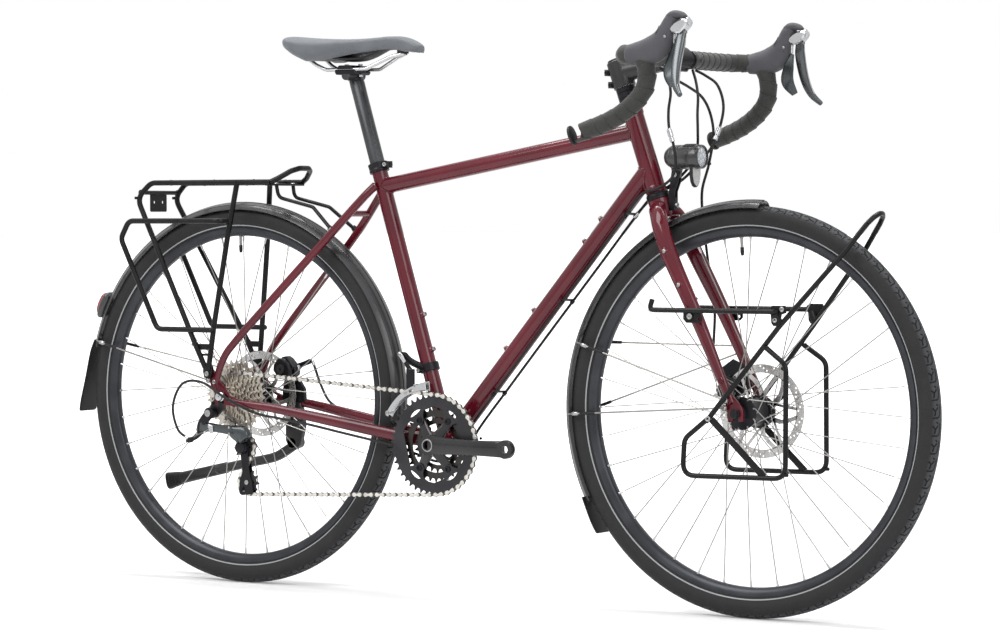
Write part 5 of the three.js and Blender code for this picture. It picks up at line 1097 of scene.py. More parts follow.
def limb(shape, part, side, sides=24):      # a stay or fork blade that changes section as it goes
    run = flow([sideOf(point, side) for point in part["places"]], 5)
    return shape.sweep(run, flowHalves(part["wides"], part["talls"], 5), sides, lead=across, soft=0.8)


quickRelease = {
    "nut": [(2.4, 0), (8.6, 0), (8.6, 2.2), (7.2, 3), (7.4, 7.6), (6.6, 8.8), (2.4, 9)],
    "bolt": [(0, 0.5), (2.6, 0.5), (2.6, 10.2), (2, 10.8), (0, 10.8)],
    "cam": [(2.4, 0), (8.8, 0), (8.8, 1.8), (8, 2.6), (7.6, 3.4), (7.8, 8.2), (6.8, 9.2), (0, 9.4)],
    "leverWides": [4.5, 4, 3, 2.6, 1.6],
    "leverTalls": [6, 6.4, 5.4, 6.2, 4.4],
}


def skewer(side, centre, wall, lean):
    reach = hubs[side]["spacing"] / 2 + wall
    nut = Shape().turn(centre + across * -reach, -across, quickRelease["nut"], 28)
    nut.turn(centre + across * -reach, -across, quickRelease["bolt"], 14, False)
    nut.turn(centre + across * reach, across, quickRelease["cam"], 28, False)
    root = centre + across * (reach + 5.5)
    way = Vector((-math.cos(lean), 0, math.sin(lean)))
    run = flow([root + way * -6, root + way * 6 + across * 1.4, root + way * 22 + across * 4.4,
                root + way * 38 + across * 6.6,
                root + way * 45 + across * 6.2], 5)
    halves = flowPairs(quickRelease["leverWides"], quickRelease["leverTalls"], 5)
    nut.sweep(run, halves, 18, lead=across, soft=0.5)
    return nut


def makeRearTriangle():
    zero = bike["axleHeight"]
    shape = Shape()
    for side in (-1, 1):
        limb(shape, chainStay, side)
        limb(shape, seatStay, side)
        outline = [(x, zero + z) for x, z in dropout["outline"]]
        low, high = sorted((side * dropout["inner"], side * (dropout["inner"] + dropout["thickness"])))
        eyes = [ringOf(14, 2.6, (-24, zero + 40)), ringOf(14, 2.6, (-14.5, zero + 27))]
        window = [(6, zero + 10.5), (16, zero + 1), (27, zero - 5), (24, zero - 10.5), (14, zero - 8),
                  (9.5, zero + 2)]
        shape.plate(outline, low, high, eyes + [window], 0.5)
        bead(shape, sideOf((330, 37.5, 294), side), Vector((1, side * -0.28, -0.16)), 8.2, crankFoot,
             across, mainTube["shellRadius"], 1.8)
    for places, index, share, radius in ((seatStay["places"], 1, 0.45, 5.5),
            (chainStay["places"], 4, 0.98, 5.5)):
        foot = Vector(places[index]).lerp(Vector(places[index + 1]), share)
        shape.rod(sideOf(foot, -1), foot, radius, sides=24)
        for side in (-1, 1):
            shape.turn(sideOf(foot, side) - across * side * 5, across * side,
                       [(radius, 0), (radius + 1.5, 2.5), (radius, 5)], 24)
    piece("rearTriangle", shape, framePaint, "frame", "frame_paint", ["rear_triangle"])
    hanger = Shape().plate(dropout["hanger"], -72.4, -66.4, [ringOf(20, 4.9, (-18, 319))], 0.5)
    piece("derailleurHanger", hanger, satinHanger, "frame", "black_alloy")
    screw("frame", "black", Vector((-19, -72.2, zero - 12)), -across, 3.2, 1.6)
    piece("rearSkewer", skewer("rear", rearAxle, dropout["thickness"], 0.5), silverAlloy, "frame",
          "silver_alloy")
    for x, z in ((-24, 40), (-14.5, 27)):
        for side in (-1, 1):
            screw("frame", "socket", Vector((x, side * 73.4, zero + z)), across * side, 4, 3)


makeRearTriangle()
print("rear triangle made")


# Fork, headset and front skewer

forkBlade = {
    "places": [(889, 14, 693), (901, 31, 680), (912, 40, 656), (930, 45.5, 616), (985, 51, 511),
               (1041, 54, 393), (1053, 54, 366)],
    "wides": [26, 23, 22, 21, 18, 13, 11], "talls": [34, 32, 31, 30, 25, 17, 15],
}
fork = {
    "cup": 12, "crown": 32, "cupRadius": 20.5, "tip": 6, "inner": 50,
    "endOutline": [(-20, 26), (-13, 30), (-6, 30), (3, 21), (12, 10), (14, 0), (14, -12), (6.2, -13),
                   (6, -2), (0, 5.2), (-6, -2), (-6.2, -13), (-14, -12), (-16, 4), (-19, 16)],
    "crownProfile": [(0, 0), (19.2, 0), (19.8, -0.8), (19.6, -7), (18.2, -15), (17, -24), (15, -31),
                     (12.5, -34), (0, -34.5)],
    "headset": [(14.5, 0), (19.6, 0), (20.4, 0.7), (20.4, 3.6), (19.9, 4), (20.4, 4.4), (20.4, 9.2),
                (19, 11.4), (18.4, 11.9), (14.5, 11.9)],
}


def makeFork():
    shape = Shape()
    for side in (-1, 1):
        limb(shape, forkBlade, side, 28)
        x, z = frontAxle.x, frontAxle.z
        outline = fork["endOutline"]
        low, high = sorted((side * fork["inner"], side * (fork["inner"] + fork["tip"])))
        shape.plate([(x + a, z + b) for a, b in outline], low, high, [ringOf(14, 2.6, (x - 8, z + 19))],
                    0.5)
        boss(shape, sideOf((984, 60, 512), side), across * side, 3.4)
        boss(shape, sideOf((1036, 59.5, 404), side), across * side, 2.6)
        for spot in ((926, 55.5, 621), (955.5, 58.5, 564)):
            boss(shape, sideOf(spot, side), across * side, 2.2)
            screw("steering", "dome", sideOf(spot, side) + across * side * 2.4, across * side, 3.8, 2.6)
    foot = onHead(-fork["cup"] - 0.4)
    profile = fork["crownProfile"]
    shape.turn(foot, headWay, profile, 48, False)
    piece("fork", shape, framePaint, "steering", "frame_paint", ["fork"])
    headset = Shape()
    headset.turn(foot, headWay, fork["headset"], 56)
    piece("lowerHeadset", headset, blackAlloy, "steering", "black_alloy")
    piece("frontSkewer", skewer("front", frontAxle, fork["tip"], 2.3), blackAlloy, "steering",
          "black_alloy")


makeFork()
print("fork made")


# Stem, spacers and the taped drop bar

stem = {
    "foot": 192, "height": 48, "radius": 19.4, "bar": (919, 0, 948),
    "wides": [16.5, 15, 15.2, 18.5],
    "talls": [18, 16, 15.2, 16.5],
    "clamp": [(13.2, -21), (18.2, -21), (19.4, -20), (19.6, -12), (19.6, 12), (19.4, 20), (18.2, 21),
              (13.2, 21)],
    "spacer": [(14.4, 191.9), (17.9, 191.9), (18.3, 192.4), (18.3, 193.6), (17.9, 194.1), (14.4, 194.1)],
    "cap": [(0, 240), (17.2, 240), (17.4, 241), (16.6, 243.2), (7, 244), (5, 243.2), (0, 243.2)],
}
barSpot = Vector(stem["bar"])


def makeStem():
    shape = Shape()
    foot, top = onHead(stem["foot"]), onHead(stem["foot"] + stem["height"])
    radius = stem["radius"]
    shape.turn(foot, headWay, [(14.4, 0), (radius - 1, 0), (radius, 1), (radius, stem["height"] - 1.2),
                               (radius - 1.2, stem["height"]), (14.4, stem["height"])], 48)
    start = onHead(stem["foot"] + stem["height"] * 0.55)
    run = flow([start, start.lerp(barSpot, 0.4), start.lerp(barSpot, 0.8), barSpot], 4)
    halves = flowPairs(stem["wides"], stem["talls"], 4)
    shape.sweep(run, halves, 32, lead=across)
    profile = stem["clamp"]
    shape.turn(barSpot, across, profile, 48)
    way = (barSpot - start).normalized()
    rise = Vector((-way.z, 0, way.x))
    back = Vector((-headWay.z, 0, headWay.x))
    for share in (0.25, 0.72):
        spot = foot.lerp(top, share) + back * (radius + 1.5)
        shape.block((spot.x - 4.5, -11.5, spot.z - 5.5), (spot.x + 4.5, -0.6, spot.z + 5.5), 0.8)
        shape.block((spot.x - 4.5, 0.6, spot.z - 5.5), (spot.x + 4.5, 11.5, spot.z + 5.5), 0.8)
        screw("steering", "black", spot - across * 11.4, -across, 3.4, 2.2)
    piece("stem", shape, blackPaint, "steering", "black_alloy", ["stem"])
    plate = Shape()
    turns = [-80 + 160 * k / 16 for k in range(17)]
    aim = math.degrees(math.atan2(way.z, way.x))

    def arc(radius, turns):
        angles = [math.radians(aim + turn) for turn in turns]
        return [(barSpot.x + radius * math.cos(angle),
                 barSpot.z + radius * math.sin(angle)) for angle in angles]

    plate.plate(arc(21.6, turns) + arc(13.3, turns[::-1]), -20, 20, [], 1.2)
    for lift in (-1, 1):
        spot = barSpot + rise * (lift * 18.5) + way * 5.4
        plate.rod(spot - across * 18.5, spot + across * 18.5, 4.6, sides=20, soft=1)
        for side in (-12.5, 12.5):
            screw("steering", "black", spot + across * side + way * 3.6, way, 3.4, 2.4)
    piece("stemFacePlate", plate, blackAlloy, "steering", "black_alloy")
    spacers = Shape()
    low = mainTube["headLength"] + 0.5
    for bottom, high, radius in ((low, low + 10.5, 18.4), (low + 10.8, low + 20.6, 17.2),
                                 (low + 20.9, low + 30.6, 17.2), (low + 30.9, 191.8, 17.2)):
        profile = [(14.4, bottom), (radius - 0.6, bottom), (radius, bottom + 0.6), (radius, high - 0.6),
                   (radius - 0.6, high), (14.4, high)]
        spacers.turn(onHead(0), headWay, profile, 48)
    piece("headsetSpacers", spacers, blackAlloy, "steering", "black_alloy")
    bright = Shape().turn(onHead(0), headWay, stem["spacer"], 48)
    piece("spacerRing", bright, silverAlloy, "steering", "silver_alloy")
    cap = Shape().turn(onHead(0), headWay, stem["cap"], 48, False)
    piece("topCap", cap, blackAlloy, "steering", "black_alloy")
    screw("steering", "socket", onHead(243), headWay, 4.2, 1.4)


makeStem()

tape = {
    "radius": 13.4, "pitch": 20.5, "sides": 30, "lapLow": 14.9, "lapHigh": 16.1,
    "plug": [(0, -2), (13, -2), (16.4, -0.6), (16.8, 1.2), (16.2, 3), (13, 4.2), (8, 4.8), (7, 4.2),
             (0, 4.2)],
    "band": [(12.8, 0), (15.2, 0), (15.8, 0.8), (15.9, 11), (15.7, 12), (15.9, 13), (15.9, 18), (14.4, 19),
             (12.8, 19)],
}
dropPlaces = [(919, 46, 948), (919, 152, 948), (925, 188, 948), (941, 204, 947.5), (966, 211, 946),
              (980, 213, 928), (983, 215, 906), (980, 219, 887.5), (967.5, 224, 869), (944.5, 229, 849.5),
              (915.5, 235, 834), (884.5, 241, 822.5), (858, 245, 814)]


class Track:                            # a run that can be asked for its point and frame at a length along it
    def __init__(self, run, lead=None):
        self.spots = frames(run, lead)
        self.marks = [0.0]
        for a, b in zip(run, run[1:]):
            self.marks.append(self.marks[-1] + (b - a).length)
        self.length = self.marks[-1]

    def at(self, along):
        along = min(max(along, 0.0), self.length - 0.001)
        i = max(k for k, mark in enumerate(self.marks[:-1]) if mark <= along)
        share = (along - self.marks[i]) / (self.marks[i + 1] - self.marks[i])
        first, second = self.spots[i], self.spots[i + 1]
        return [a.lerp(b, share) for a, b in zip(first, second)]


def makeTape(side):
    track = Track(flow([sideOf(point, side) for point in dropPlaces], 8))
    turns = int((track.length - 8) / tape["pitch"])
    section = [(0, tape["radius"] - 1.5), (0, tape["lapLow"] - 0.6), (2, tape["lapLow"]),
               (tape["pitch"], tape["lapHigh"] - 0.35), (tape["pitch"] + 3.2, tape["lapHigh"]),
               (tape["pitch"] + 4.4, tape["lapHigh"] - 0.2), (tape["pitch"] + 4.8, tape["lapHigh"] - 0.9),
               (tape["pitch"] + 4.2, tape["radius"] - 1.5)]
    rings = []
    for j in range(turns * tape["sides"] + 1):
        angle = side * 2 * math.pi * j / tape["sides"]
        # wound from the bar's end towards the stem
        start = track.length - 4 - tape["pitch"] * j / tape["sides"]
        ring = []
        for width, radius in section:
            spot, right, rise = track.at(start - width)
            ring.append(spot + right * (radius * math.cos(angle)) + rise * (radius * math.sin(angle)))
        rings.append(ring)
    shape = Shape().skin(rings)
    end = track.at(track.length)[0]
    way = (end - track.at(track.length - 5)[0]).normalized()
    plug = Shape().turn(end - way * 1, way, tape["plug"], 36, False)
    name = "right" if side < 0 else "left"
    piece(name + "BarTape", shape, tapeCloth, "steering", "bar_tape", ["handlebar"] if side < 0 else (), 46)
    piece(name + "BarPlug", plug, cableRubber, "steering", "cable_housing")
    band = Shape()
    foot = track.at(1)[0] - across * side * 3
    band.turn(foot, across * side, tape["band"], 36)
    piece(name + "TapeBand", band, guardPlastic, "steering", "bar_tape")


makeTape(-1)
makeTape(1)
core = Shape().turn(barSpot, across, [(0, -50), (12.9, -50), (12.9, -22), (13, -20), (13, 20), (12.9, 22),
                                      (12.9, 50), (0, 50)], 40, False)
for side in (-1, 1):
    core.turn(barSpot + across * side * 22, across * side,
              [(12.9, 0), (13.5, 0.4), (13.5, 1.6), (12.9, 2)], 40)
piece("barCore", core, blackAlloy, "steering", "black_alloy")
print("stem and bar made")


# Brake hoods with their levers and paddles, drawn for the left and mirrored

hood = {
    "places": [(946, 209, 945.5), (962, 211, 947), (980, 212, 949.5), (997, 212, 955), (1010, 211, 967),
               (1019, 210, 984), (1026, 209, 999), (1033, 209, 1008)],
    "wides": [33, 36, 37, 36, 34, 31, 29, 24], "talls": [33, 38, 42.5, 46, 40, 29, 24, 20],
    "headPlaces": [(1021, 209, 1003), (1032, 209, 1008.6), (1044, 209, 1008), (1052, 209, 1003.6)],
    "headWides": [24, 27, 25, 17],
    "headTalls": [13, 15, 11, 5],
    "blade": [(1047, 211.5, 983), (1045, 215, 962), (1045, 226, 931), (1048, 236, 907), (1054, 245, 890),
              (1067, 255, 875)],
    "bladeWides": [9, 13, 13, 12, 10, 8], "bladeTalls": [15, 18, 17, 15, 12, 8],
    "paddle": [(1031, 210, 962), (1027, 207, 940), (1023, 210, 914), (1033, 219, 892)],
    "paddleTalls": [10, 19, 24, 12],
    "nose": [(1027.5, 984), (1033, 978), (1047, 978), (1054, 984.2), (1058.5, 989), (1061, 995),
             (1060, 1000), (1055, 1001.6), (1045, 1000), (1037, 996), (1030, 990)],
    "badge": [(0, 0), (7.2, 0), (7.4, 3.4), (6.4, 4.6), (0, 5)],
}


def makeHood(side, name):
    shape = Shape()
    run = flow([sideOf(point, side) for point in hood["places"]], 6)
    shape.sweep(run, flowHalves(hood["wides"], hood["talls"], 6), 40, lead=across, power=2.4, soft=2.4)
    run = flow([sideOf(point, side) for point in hood["headPlaces"]], 6)
    shape.sweep(run, flowHalves(hood["headWides"], hood["headTalls"], 6), 32, lead=across, power=2.5,
                soft=2)
    piece(name + "Hood", shape, hoodRubber, "steering", "hood_rubber", ["hood_" + name])
    seam = Shape()                      # the line where the side cover meets the rubber
    for end in (-1, 1):
        y = side * 210.5 + end * 15.7
        line = [Vector(point) for point in ((1012, y, 991), (1003, y - end * 1.2, 975),
                (1010, y - end * 1.6, 966), (1023, y - end * 1.4, 966))]
        seam.sweep(bend(line, 4, 4), 0.5, 8)
    piece(name + "HoodSeam", seam, cableRubber, "steering", "cable_housing")
    rivet = pivot("lever_pull_" + name)
    for end in (-1, 1):
        screw("steering", "dome", Vector((rivet.x, rivet.y + end * 15.2, rivet.z)), across * end, 2.8, 2.2)


def makeLever(side, name):
    body = "lever_" + name
    spot = pivot("lever_pull_" + name)
    carrier = Shape()
    low, high = sorted((side * 199, side * 223))
    carrier.plate(hood["nose"], low, high, [], 2.6)
    carrier.sweep([spot, sideOf((1036, 211, 991), side)], [(4.2, 4.8), (4.6, 5.2)], 18, lead=across)
    carrier.rod(spot - across * 8.8, spot + across * 8.8, 4, sides=20)
    carrier.rod(sideOf((1031, 210, 978), side), sideOf((1031, 210, 962.7), side), 3, sides=16)
    piece(name + "LeverCarrier", carrier, silverAlloy, body, "silver_alloy", ["lever_carrier_" + name])
    badge = Shape()
    badge.turn(Vector((1056, side * 211, 997)), Vector((1, 0, 0.25)), hood["badge"], 28, False)
    piece(name + "LeverNose", badge, silverAlloy, body, "silver_alloy")
    blade = Shape()
    run = flow([sideOf(point, side) for point in hood["blade"]], 7)
    halves = flowHalves(hood["bladeWides"], hood["bladeTalls"], 7)
    blade.sweep(run, halves, 28, lead=across, power=2.6, soft=1.2)
    # a silver strip down the blade's front edge: partly the blade's bright edge and partly a painted
    # highlight
    silverEdgeHighlight = [point + Vector((halfs[1] * 0.86, 0, 0)) for point, halfs in zip(run[4:-8], halves[4:-8])]
    plain = len(blade.faces)
    blade.sweep(silverEdgeHighlight, [(2.0, 1.4)] * len(silverEdgeHighlight), 10, lead=across, soft=0.8)
    blade.marks[plain:] = [1] * (len(blade.faces) - plain)
    piece(name + "LeverBlade", blade, [leverGrey, silverAlloy], "blade_" + name, "silver_alloy",
          ["lever_blade_" + name])
    screw("blade_" + name, "socket", sideOf((1053.5, 211.5, 980), side), (1, 0, 0), 3, 1.6)
    paddle = Shape()
    run = flow([sideOf(point, side) for point in hood["paddle"]], 7)
    talls = flowNumbers(hood["paddleTalls"], 7)
    paddle.sweep(run, [(1.8, tall / 2) for tall in talls], 24, lead=across, power=3.4, soft=0.6)
    piece(name + "ShiftPaddle", paddle, mechGrey, "paddle_" + name, "black_alloy", ["paddle_" + name])


for side, name in ((-1, "right"), (1, "left")):
    makeHood(side, name)
    makeLever(side, name)
print("hoods and levers made")


# Seat collar, post and clamp

seat = {
    "length": 522, "postTop": 682, "railZ": 946.5, "railRadius": 3.5,
    "headZ": 936, "rearX": 120, "long": 278, "top": 1003, "half": 74, "noseHalf": 19,
    "skirts": [24, 37, 47, 45, 37, 31, 28, 26, 26, 29, 23],
    "headProfile": [(0, -27), (7.5, -27), (9, -25.5), (9, -12), (11.5, -8), (12.5, 0), (11.5, 8), (9, 12),
                    (9, 25.5), (7.5, 27), (0, 27)],
    "neckHalves": [(13.4, 13.4), (13, 14), (11, 10)],
    "shellSection": [(-1, 5), (-0.96, 1.5), (-0.6, -0.5), (0, -1.2), (0.6, -0.5), (0.96, 1.5), (1, 5),
                     (0.5, 7), (0, 7.5), (-0.5, 7)],
}
postHead = onSeat(seat["postTop"])
clampX = postHead.x - 6


def makeSeatPost():
    low = seat["length"] - 15
    profile = [(14.6, low), (17.6, low), (18.2, low + 0.8), (18.2, low + 5), (17.8, low + 5.6),
               (17.8, low + 12), (18.2, low + 12.6), (18.2, low + 16), (17.4, low + 17), (13.8, low + 17)]
    collar = Shape().turn(onSeat(0), seatWay, profile, 48)
    back = onSeat(low + 8.5) + seatFront * 20
    for side in (-1, 1):
        inner, outer = sorted((side * 1.0, side * 9.5))
        collar.block((back.x - 5.5, inner, back.z - 6), (back.x + 5.5, outer, back.z + 6), 1.6)
    piece("seatCollar", collar, blackAlloy, "frame", "black_alloy", ["seat_collar"])
    screw("frame", "socket", back + across * -9.4, -across, 4, 3.2)
    screw("frame", "nut", back + across * 9.4, across, 4.2, 2.6)
    start, end = seat["length"] - 105, seat["postTop"] - 4
    profile = [(0, start), (13.2, start), (13.4, start + 1), (13.4, end), (12, end + 2), (0, end + 2)]
    post = Shape().turn(onSeat(0), seatWay, profile, 44, False)
    head = Vector((clampX, 0, seat["headZ"]))
    post.turn(head, across, seat["headProfile"], 32, False)
    post.sweep([onSeat(seat["postTop"] - 26), onSeat(seat["postTop"] - 8), head], seat["neckHalves"], 28,
               lead=across)
    piece("seatPost", post, postGrey, "frame", "black_alloy", ["seatpost"])
    clamp = Shape()
    z, r = seat["railZ"], seat["railRadius"]
    lower = [(clampX - 23, z - 6), (clampX - 20, z - 9.4), (clampX + 16, z - 9.4), (clampX + 19, z - 6),
             (clampX + 19, z - 0.4), (clampX - 23, z - 0.4)]
    upper = [(clampX - 18, z + 0.4), (clampX + 15, z + 0.4), (clampX + 15, z + 4), (clampX + 11, z + 7.4),
             (clampX - 14, z + 7.4), (clampX - 18, z + 4)]
    clamp.plate(lower, -27.6, 27.6, [], 1.4)
    clamp.plate(upper, -27.6, 27.6, [], 1.4)
    piece("railClamp", clamp, blackAlloy, "frame", "black_alloy")
    for end in (-1, 1):
        screw("frame", "socket", Vector((clampX + end * 15, 0, z + 7)), (0, 0, 1), 4.2, 3.2)
        screw("frame", "nut", Vector((clampX + end * 15, 0, z - 9)), (0, 0, -1), 5, 4.5)


def makeRails():
    shape = Shape()
    for side in (-1, 1):
        points = [(158, 0, 977), (160, side * 30, 974), (184, side * 25, 956), (204, side * 22, 946.5),
                  (292, side * 22, 946.5), (338, side * 12, 967), (362, side * 3, 973)]
        shape.sweep(bend(points, 24, 6), seat["railRadius"], 18, soft=0.8)
    piece("saddleRails", shape, silverAlloy, "frame", "silver_alloy", ["saddle_rails"])


def saddleRow(share):                   # half width, crown and skirt at a share of the length from the tail
    tail = math.sqrt(max(0, 1 - max(0, 1 - share / 0.16) ** 2))
    tip = math.sqrt(max(0, 1 - max(0, (share - 0.93) / 0.07) ** 2))
    waist = 1 / (1 + math.exp((share - 0.42) * 11))
    half = seat["noseHalf"] + (seat["half"] - seat["noseHalf"]) * waist
    half = half * (0.35 + 0.65 * tail) * (0.3 + 0.7 * tip)
    dip = -5 * math.sin(math.pi * min(1, max(0, (share - 0.05) / 0.7)))
    drop = 17 * max(0, (share - 0.82) / 0.18) ** 2 + 7 * max(0, 1 - share / 0.07) ** 2
    crown = seat["top"] + 7 * (1 - share) + dip - drop
    k = min(int(share * 10), 9)
    skirts = seat["skirts"]
    wing = skirts[k] + (skirts[k + 1] - skirts[k]) * (share * 10 - k)
    return half, crown, wing - drop * 0.5


def saddleSpot(share, angle, grow=0.0):
    half, crown, wing = saddleRow(share)
    c, s = math.cos(angle), math.sin(angle)
    y = math.copysign(abs(c) ** (0.75 if s >= 0 else 0.5), c) * (half + grow)
    edge = crown - wing * 0.36
    if s >= 0:
        z = edge + (crown - edge + grow) * s ** 0.8
        # the pressure channel down the middle
        z -= 2.2 * math.exp(-(y / 9) ** 2) * math.sin(math.pi * min(1, max(0, (share - 0.12) / 0.7)))
        return Vector((seat["rearX"] + seat["long"] * share, y, z))
    z = edge - 0.64 * wing * abs(s) ** 0.9 * (0.45 + 0.55 * min(1, abs(c) * 2))
    return Vector((seat["rearX"] + seat["long"] * share, y * (1 - 0.12 * s * s), z))


def makeSaddle():
    stations, around = 72, 72
    rings = []
    for i in range(stations + 1):
        share = 0.0015 + 0.997 * (0.5 - 0.5 * math.cos(math.pi * i / stations))
        ring = []
        for k in range(around):
            angle = 2 * math.pi * k / around
            grow = 0.22 * math.sin(angle * 3 + share * 9)               # foam never lies quite even
            ring.append(saddleSpot(share, angle, grow))
        rings.append(ring)
    cover = Shape().skin(rings)
    saddle = piece("saddle", cover, saddleCover, "frame", "saddle_cover", ["saddle"], 60)
    shell = Shape()
    rings = []
    for i in range(41):
        share = 0.05 + 0.86 * i / 40
        half, crown, wing = saddleRow(share)
        floor = crown - wing * 0.86 - 14 * max(0, math.sin(math.pi * min(max((share - 0.33) / 0.42, 0), 1)))
        x = seat["rearX"] + seat["long"] * share
        rings.append([Vector((x, y * half * 0.62, floor + lift)) for y, lift in seat["shellSection"]])
    shell.skin(rings)
    for side in (-1, 1):                # sockets that hold the rails
        shell.block((350, side * 5 - 5, 973), (364, side * 5 + 5, 984), 1.5)
        shell.block((156, side * 26 - 7, 972), (168, side * 26 + 7, 986), 1.5)
    piece("saddleShell", shell, saddleShell, "frame", "black_alloy")


makeSeatPost()
makeRails()
makeSaddle()
print("seat made")


# The chain line: ring, cog and two pulleys with the turn of the chain on each

ringPlanes = [-49.5, -42, -34.5]
ringTeeth = [44, 32, 24]
cogTeeth = [11, 12, 14, 16, 18, 20, 22, 25, 28, 32]
cogY, cogStep = -62.5, 3.95
chainY = cogY + 6 * cogStep
guideSpot, tensionSpot = pivot("guide_wheel_spin"), pivot("tension_wheel_spin")


def pitchRadius(teeth):
    return bike["chainPitch"] / (2 * math.sin(math.pi / teeth))


def chainRun():
    circles = [(crankAxle, 44, 1, ringPlanes[0]), (rearAxle, 22, 1, chainY), (guideSpot, 11, -1, chainY),
               (tensionSpot, 11, 1, chainY)]
    ways = []
    for (a, teeth, turn, _), (b, nextTeeth, nextTurn, _) in zip(circles, circles[1:] + circles[:1]):
        dx, dz = b.x - a.x, b.z - a.z
        offset = nextTurn * pitchRadius(nextTeeth) - turn * pitchRadius(teeth)
        ways.append(math.atan2(dz, dx) - math.asin(offset / math.hypot(dx, dz)))
    stretches = []
    for i, (centre, teeth, turn, y) in enumerate(circles):
        wayIn, wayOut = ways[i - 1], ways[i]
        start = wayIn - turn * math.pi / 2
        wrap = ((wayOut - wayIn) * turn) % (2 * math.pi)
        radius = pitchRadius(teeth)
        stretches.append((wrap * teeth * bike["chainPitch"] / (2 * math.pi), centre, start, turn, teeth, y))
        follow = circles[(i + 1) % 4]
        leave, meet = wayOut - turn * math.pi / 2, wayOut - follow[2] * math.pi / 2
        a = polar(centre, radius, leave, y)
        b = polar(follow[0], pitchRadius(follow[1]), meet, follow[3])
        stretches.append(((b - a).length, a, b))
    rollers, phases = [], {}
    passed = 0.0
    k = 0
    total = sum(stretch[0] for stretch in stretches)
    links = 2 * round(total / bike["chainPitch"] / 2)
    step = total / links
    for stretch in stretches:
        while k < links and k * step < passed + stretch[0] - 0.001:
            along = k * step - passed
            if len(stretch) == 6:
                _, centre, start, turn, teeth, y = stretch
                angle = start + turn * along * 2 * math.pi / (teeth * bike["chainPitch"])
                phases.setdefault((teeth, y, round(centre.z)), angle)
                rollers.append(polar(centre, pitchRadius(teeth), angle, y))
            else:
                _, a, b = stretch
                share = (along - 50.8) / max(stretch[0] - 101.6, bike["chainPitch"])
                spot = a.lerp(b, along / stretch[0])
                spot.y = a.y + (b.y - a.y) * min(max(share, 0), 1)
                rollers.append(spot)
            k += 1
        passed += stretch[0]
    return rollers, phases


rollers, phases = chainRun()


def linkPlate(shape, low, high, radius, waist):
    half = bike["chainPitch"] / 2
    outline = []
    for k in range(9):
        angle = math.radians(-100 + 200 * k / 8)
        outline.append((half + radius * math.cos(angle), radius * math.sin(angle)))
    outline.append((0, waist))
    for k in range(9):
        angle = math.radians(80 + 200 * k / 8)
        outline.append((-half + radius * math.cos(angle), radius * math.sin(angle)))
    outline.append((0, -waist))
    shape.plate(outline, low, high, [], 0.14)


def alongChain(offset):                 # every second link, with its facing
    spots = []
    count = len(rollers)
    for k in range(offset, count, 2):
        a, b = rollers[k], rollers[(k + 1) % count]
        way = (b - a).normalized()
        rise = way.cross(across).normalized()
        facing = Matrix((way, rise.cross(way), rise)).transposed()
        spots.append((a.lerp(b, 0.5), facing, (1, 1, 1), 0))
    return spots


chainParts = {
    "pin": [(0, 0), (1.5, 0), (1.8, 0.25), (1.8, 5.65), (1.5, 5.9), (0, 5.9)],
    "roller": [(1.9, 0), (3.8, 0), (3.8, 2.3), (1.9, 2.3)],
}


def makeChain():
    outer, inner = Shape(), Shape()
    for side in (-1, 1):
        linkPlate(outer, *sorted((side * 1.98, side * 2.7)), 4.0, 1.4)
        linkPlate(inner, *sorted((side * 1.2, side * 1.92)), 4.1, 1.7)
    for end in (-6.35, 6.35):
        outer.turn((end, -2.95, 0), across, chainParts["pin"], 10, False)
        inner.turn((end, -1.15, 0), across, chainParts["roller"], 16)
    dress(shown("chainOuterLinks", stands("chainOuterLinks", outer, alongChain(0), chainSteel)), "frame",
          "steel", ["chain"])
    dress(shown("chainInnerLinks", stands("chainInnerLinks", inner, alongChain(1), innerSteel)), "frame",
          "steel")


makeChain()


def toothed(teeth, phase, centre, root=4.4, tip=2.5, spin=1):
    radius = pitchRadius(teeth)
    outline = []
    share = 2 * math.pi / teeth
    for k in range(teeth):
        gap = phase + share * k
        for r, part in ((radius - root + 0.5, -0.2), (radius - root + 0.1, 0.0),
                        (radius - root + 0.5, 0.2), (radius - 1.2, 0.32), (radius + tip - 0.7, 0.42),
                        (radius + tip, 0.47), (radius + tip, 0.53), (radius + tip - 0.7, 0.58),
                        (radius - 1.2, 0.68)):
            outline.append((centre.x + r * math.cos(gap + share * part),
                            centre.z + r * math.sin(gap + share * part)))
    return outline


cassette = {
    "spacer": [(18, 0), (19.8, 0), (19.8, 2.0), (18, 2.0)],
    "carrier": [(9, -63.5), (17.2, -63.5), (17.8, -62.8), (17.8, -25.4), (15, -24.6), (9, -24.6)],
}


def makeCassette():
    cogs = Shape()
    zero = rearAxle
    for i, teeth in enumerate(cogTeeth):
        y = cogY + i * cogStep
        phase = phases.get((22, chainY, 349), 0.0) if teeth == 22 else 0.4 * i
        holes = [ringOf(40, 17.9, (zero.x, zero.z))]
        inner, outer = 26, pitchRadius(teeth) - 9
        if teeth >= 20 and outer - inner > 5:            # windows in the larger cogs
            spread = 0.6 if outer < 45 else 0.55
            window = [(inner, -0.2), (inner, 0.2), (outer, spread / 2), (outer, -spread / 2)]
            for k in range(8):
                angle = 2 * math.pi * k / 8 + 0.2 * i
                holes.append([(zero.x + r * math.cos(angle + a),
                               zero.z + r * math.sin(angle + a)) for r, a in window])
        cogs.plate(toothed(teeth, phase, zero), y - 0.9, y + 0.9, holes, 0.15)
        if i:
            cogs.turn(Vector((0, y - 3.0, zero.z)), across, cassette["spacer"], 40)
    piece("cassetteCogs", cogs, cogSteel, "cassette", "silver_alloy", ["cassette"], 30)
    carrier = Shape().turn(zero, across, cassette["carrier"], 44)
    piece("freehub", carrier, blackAlloy, "cassette", "black_alloy")
    notches = notched(48, 12.4, 11, zero, 4)
    lock = Shape().plate(ringOf(44, 17, (zero.x, zero.z)), -66.2, -63.6, [notches], 0.4)
    piece("cassetteLockring", lock, cogSteel, "cassette", "silver_alloy")


makeCassette()
print("chain and cassette made, links:", len(rollers))


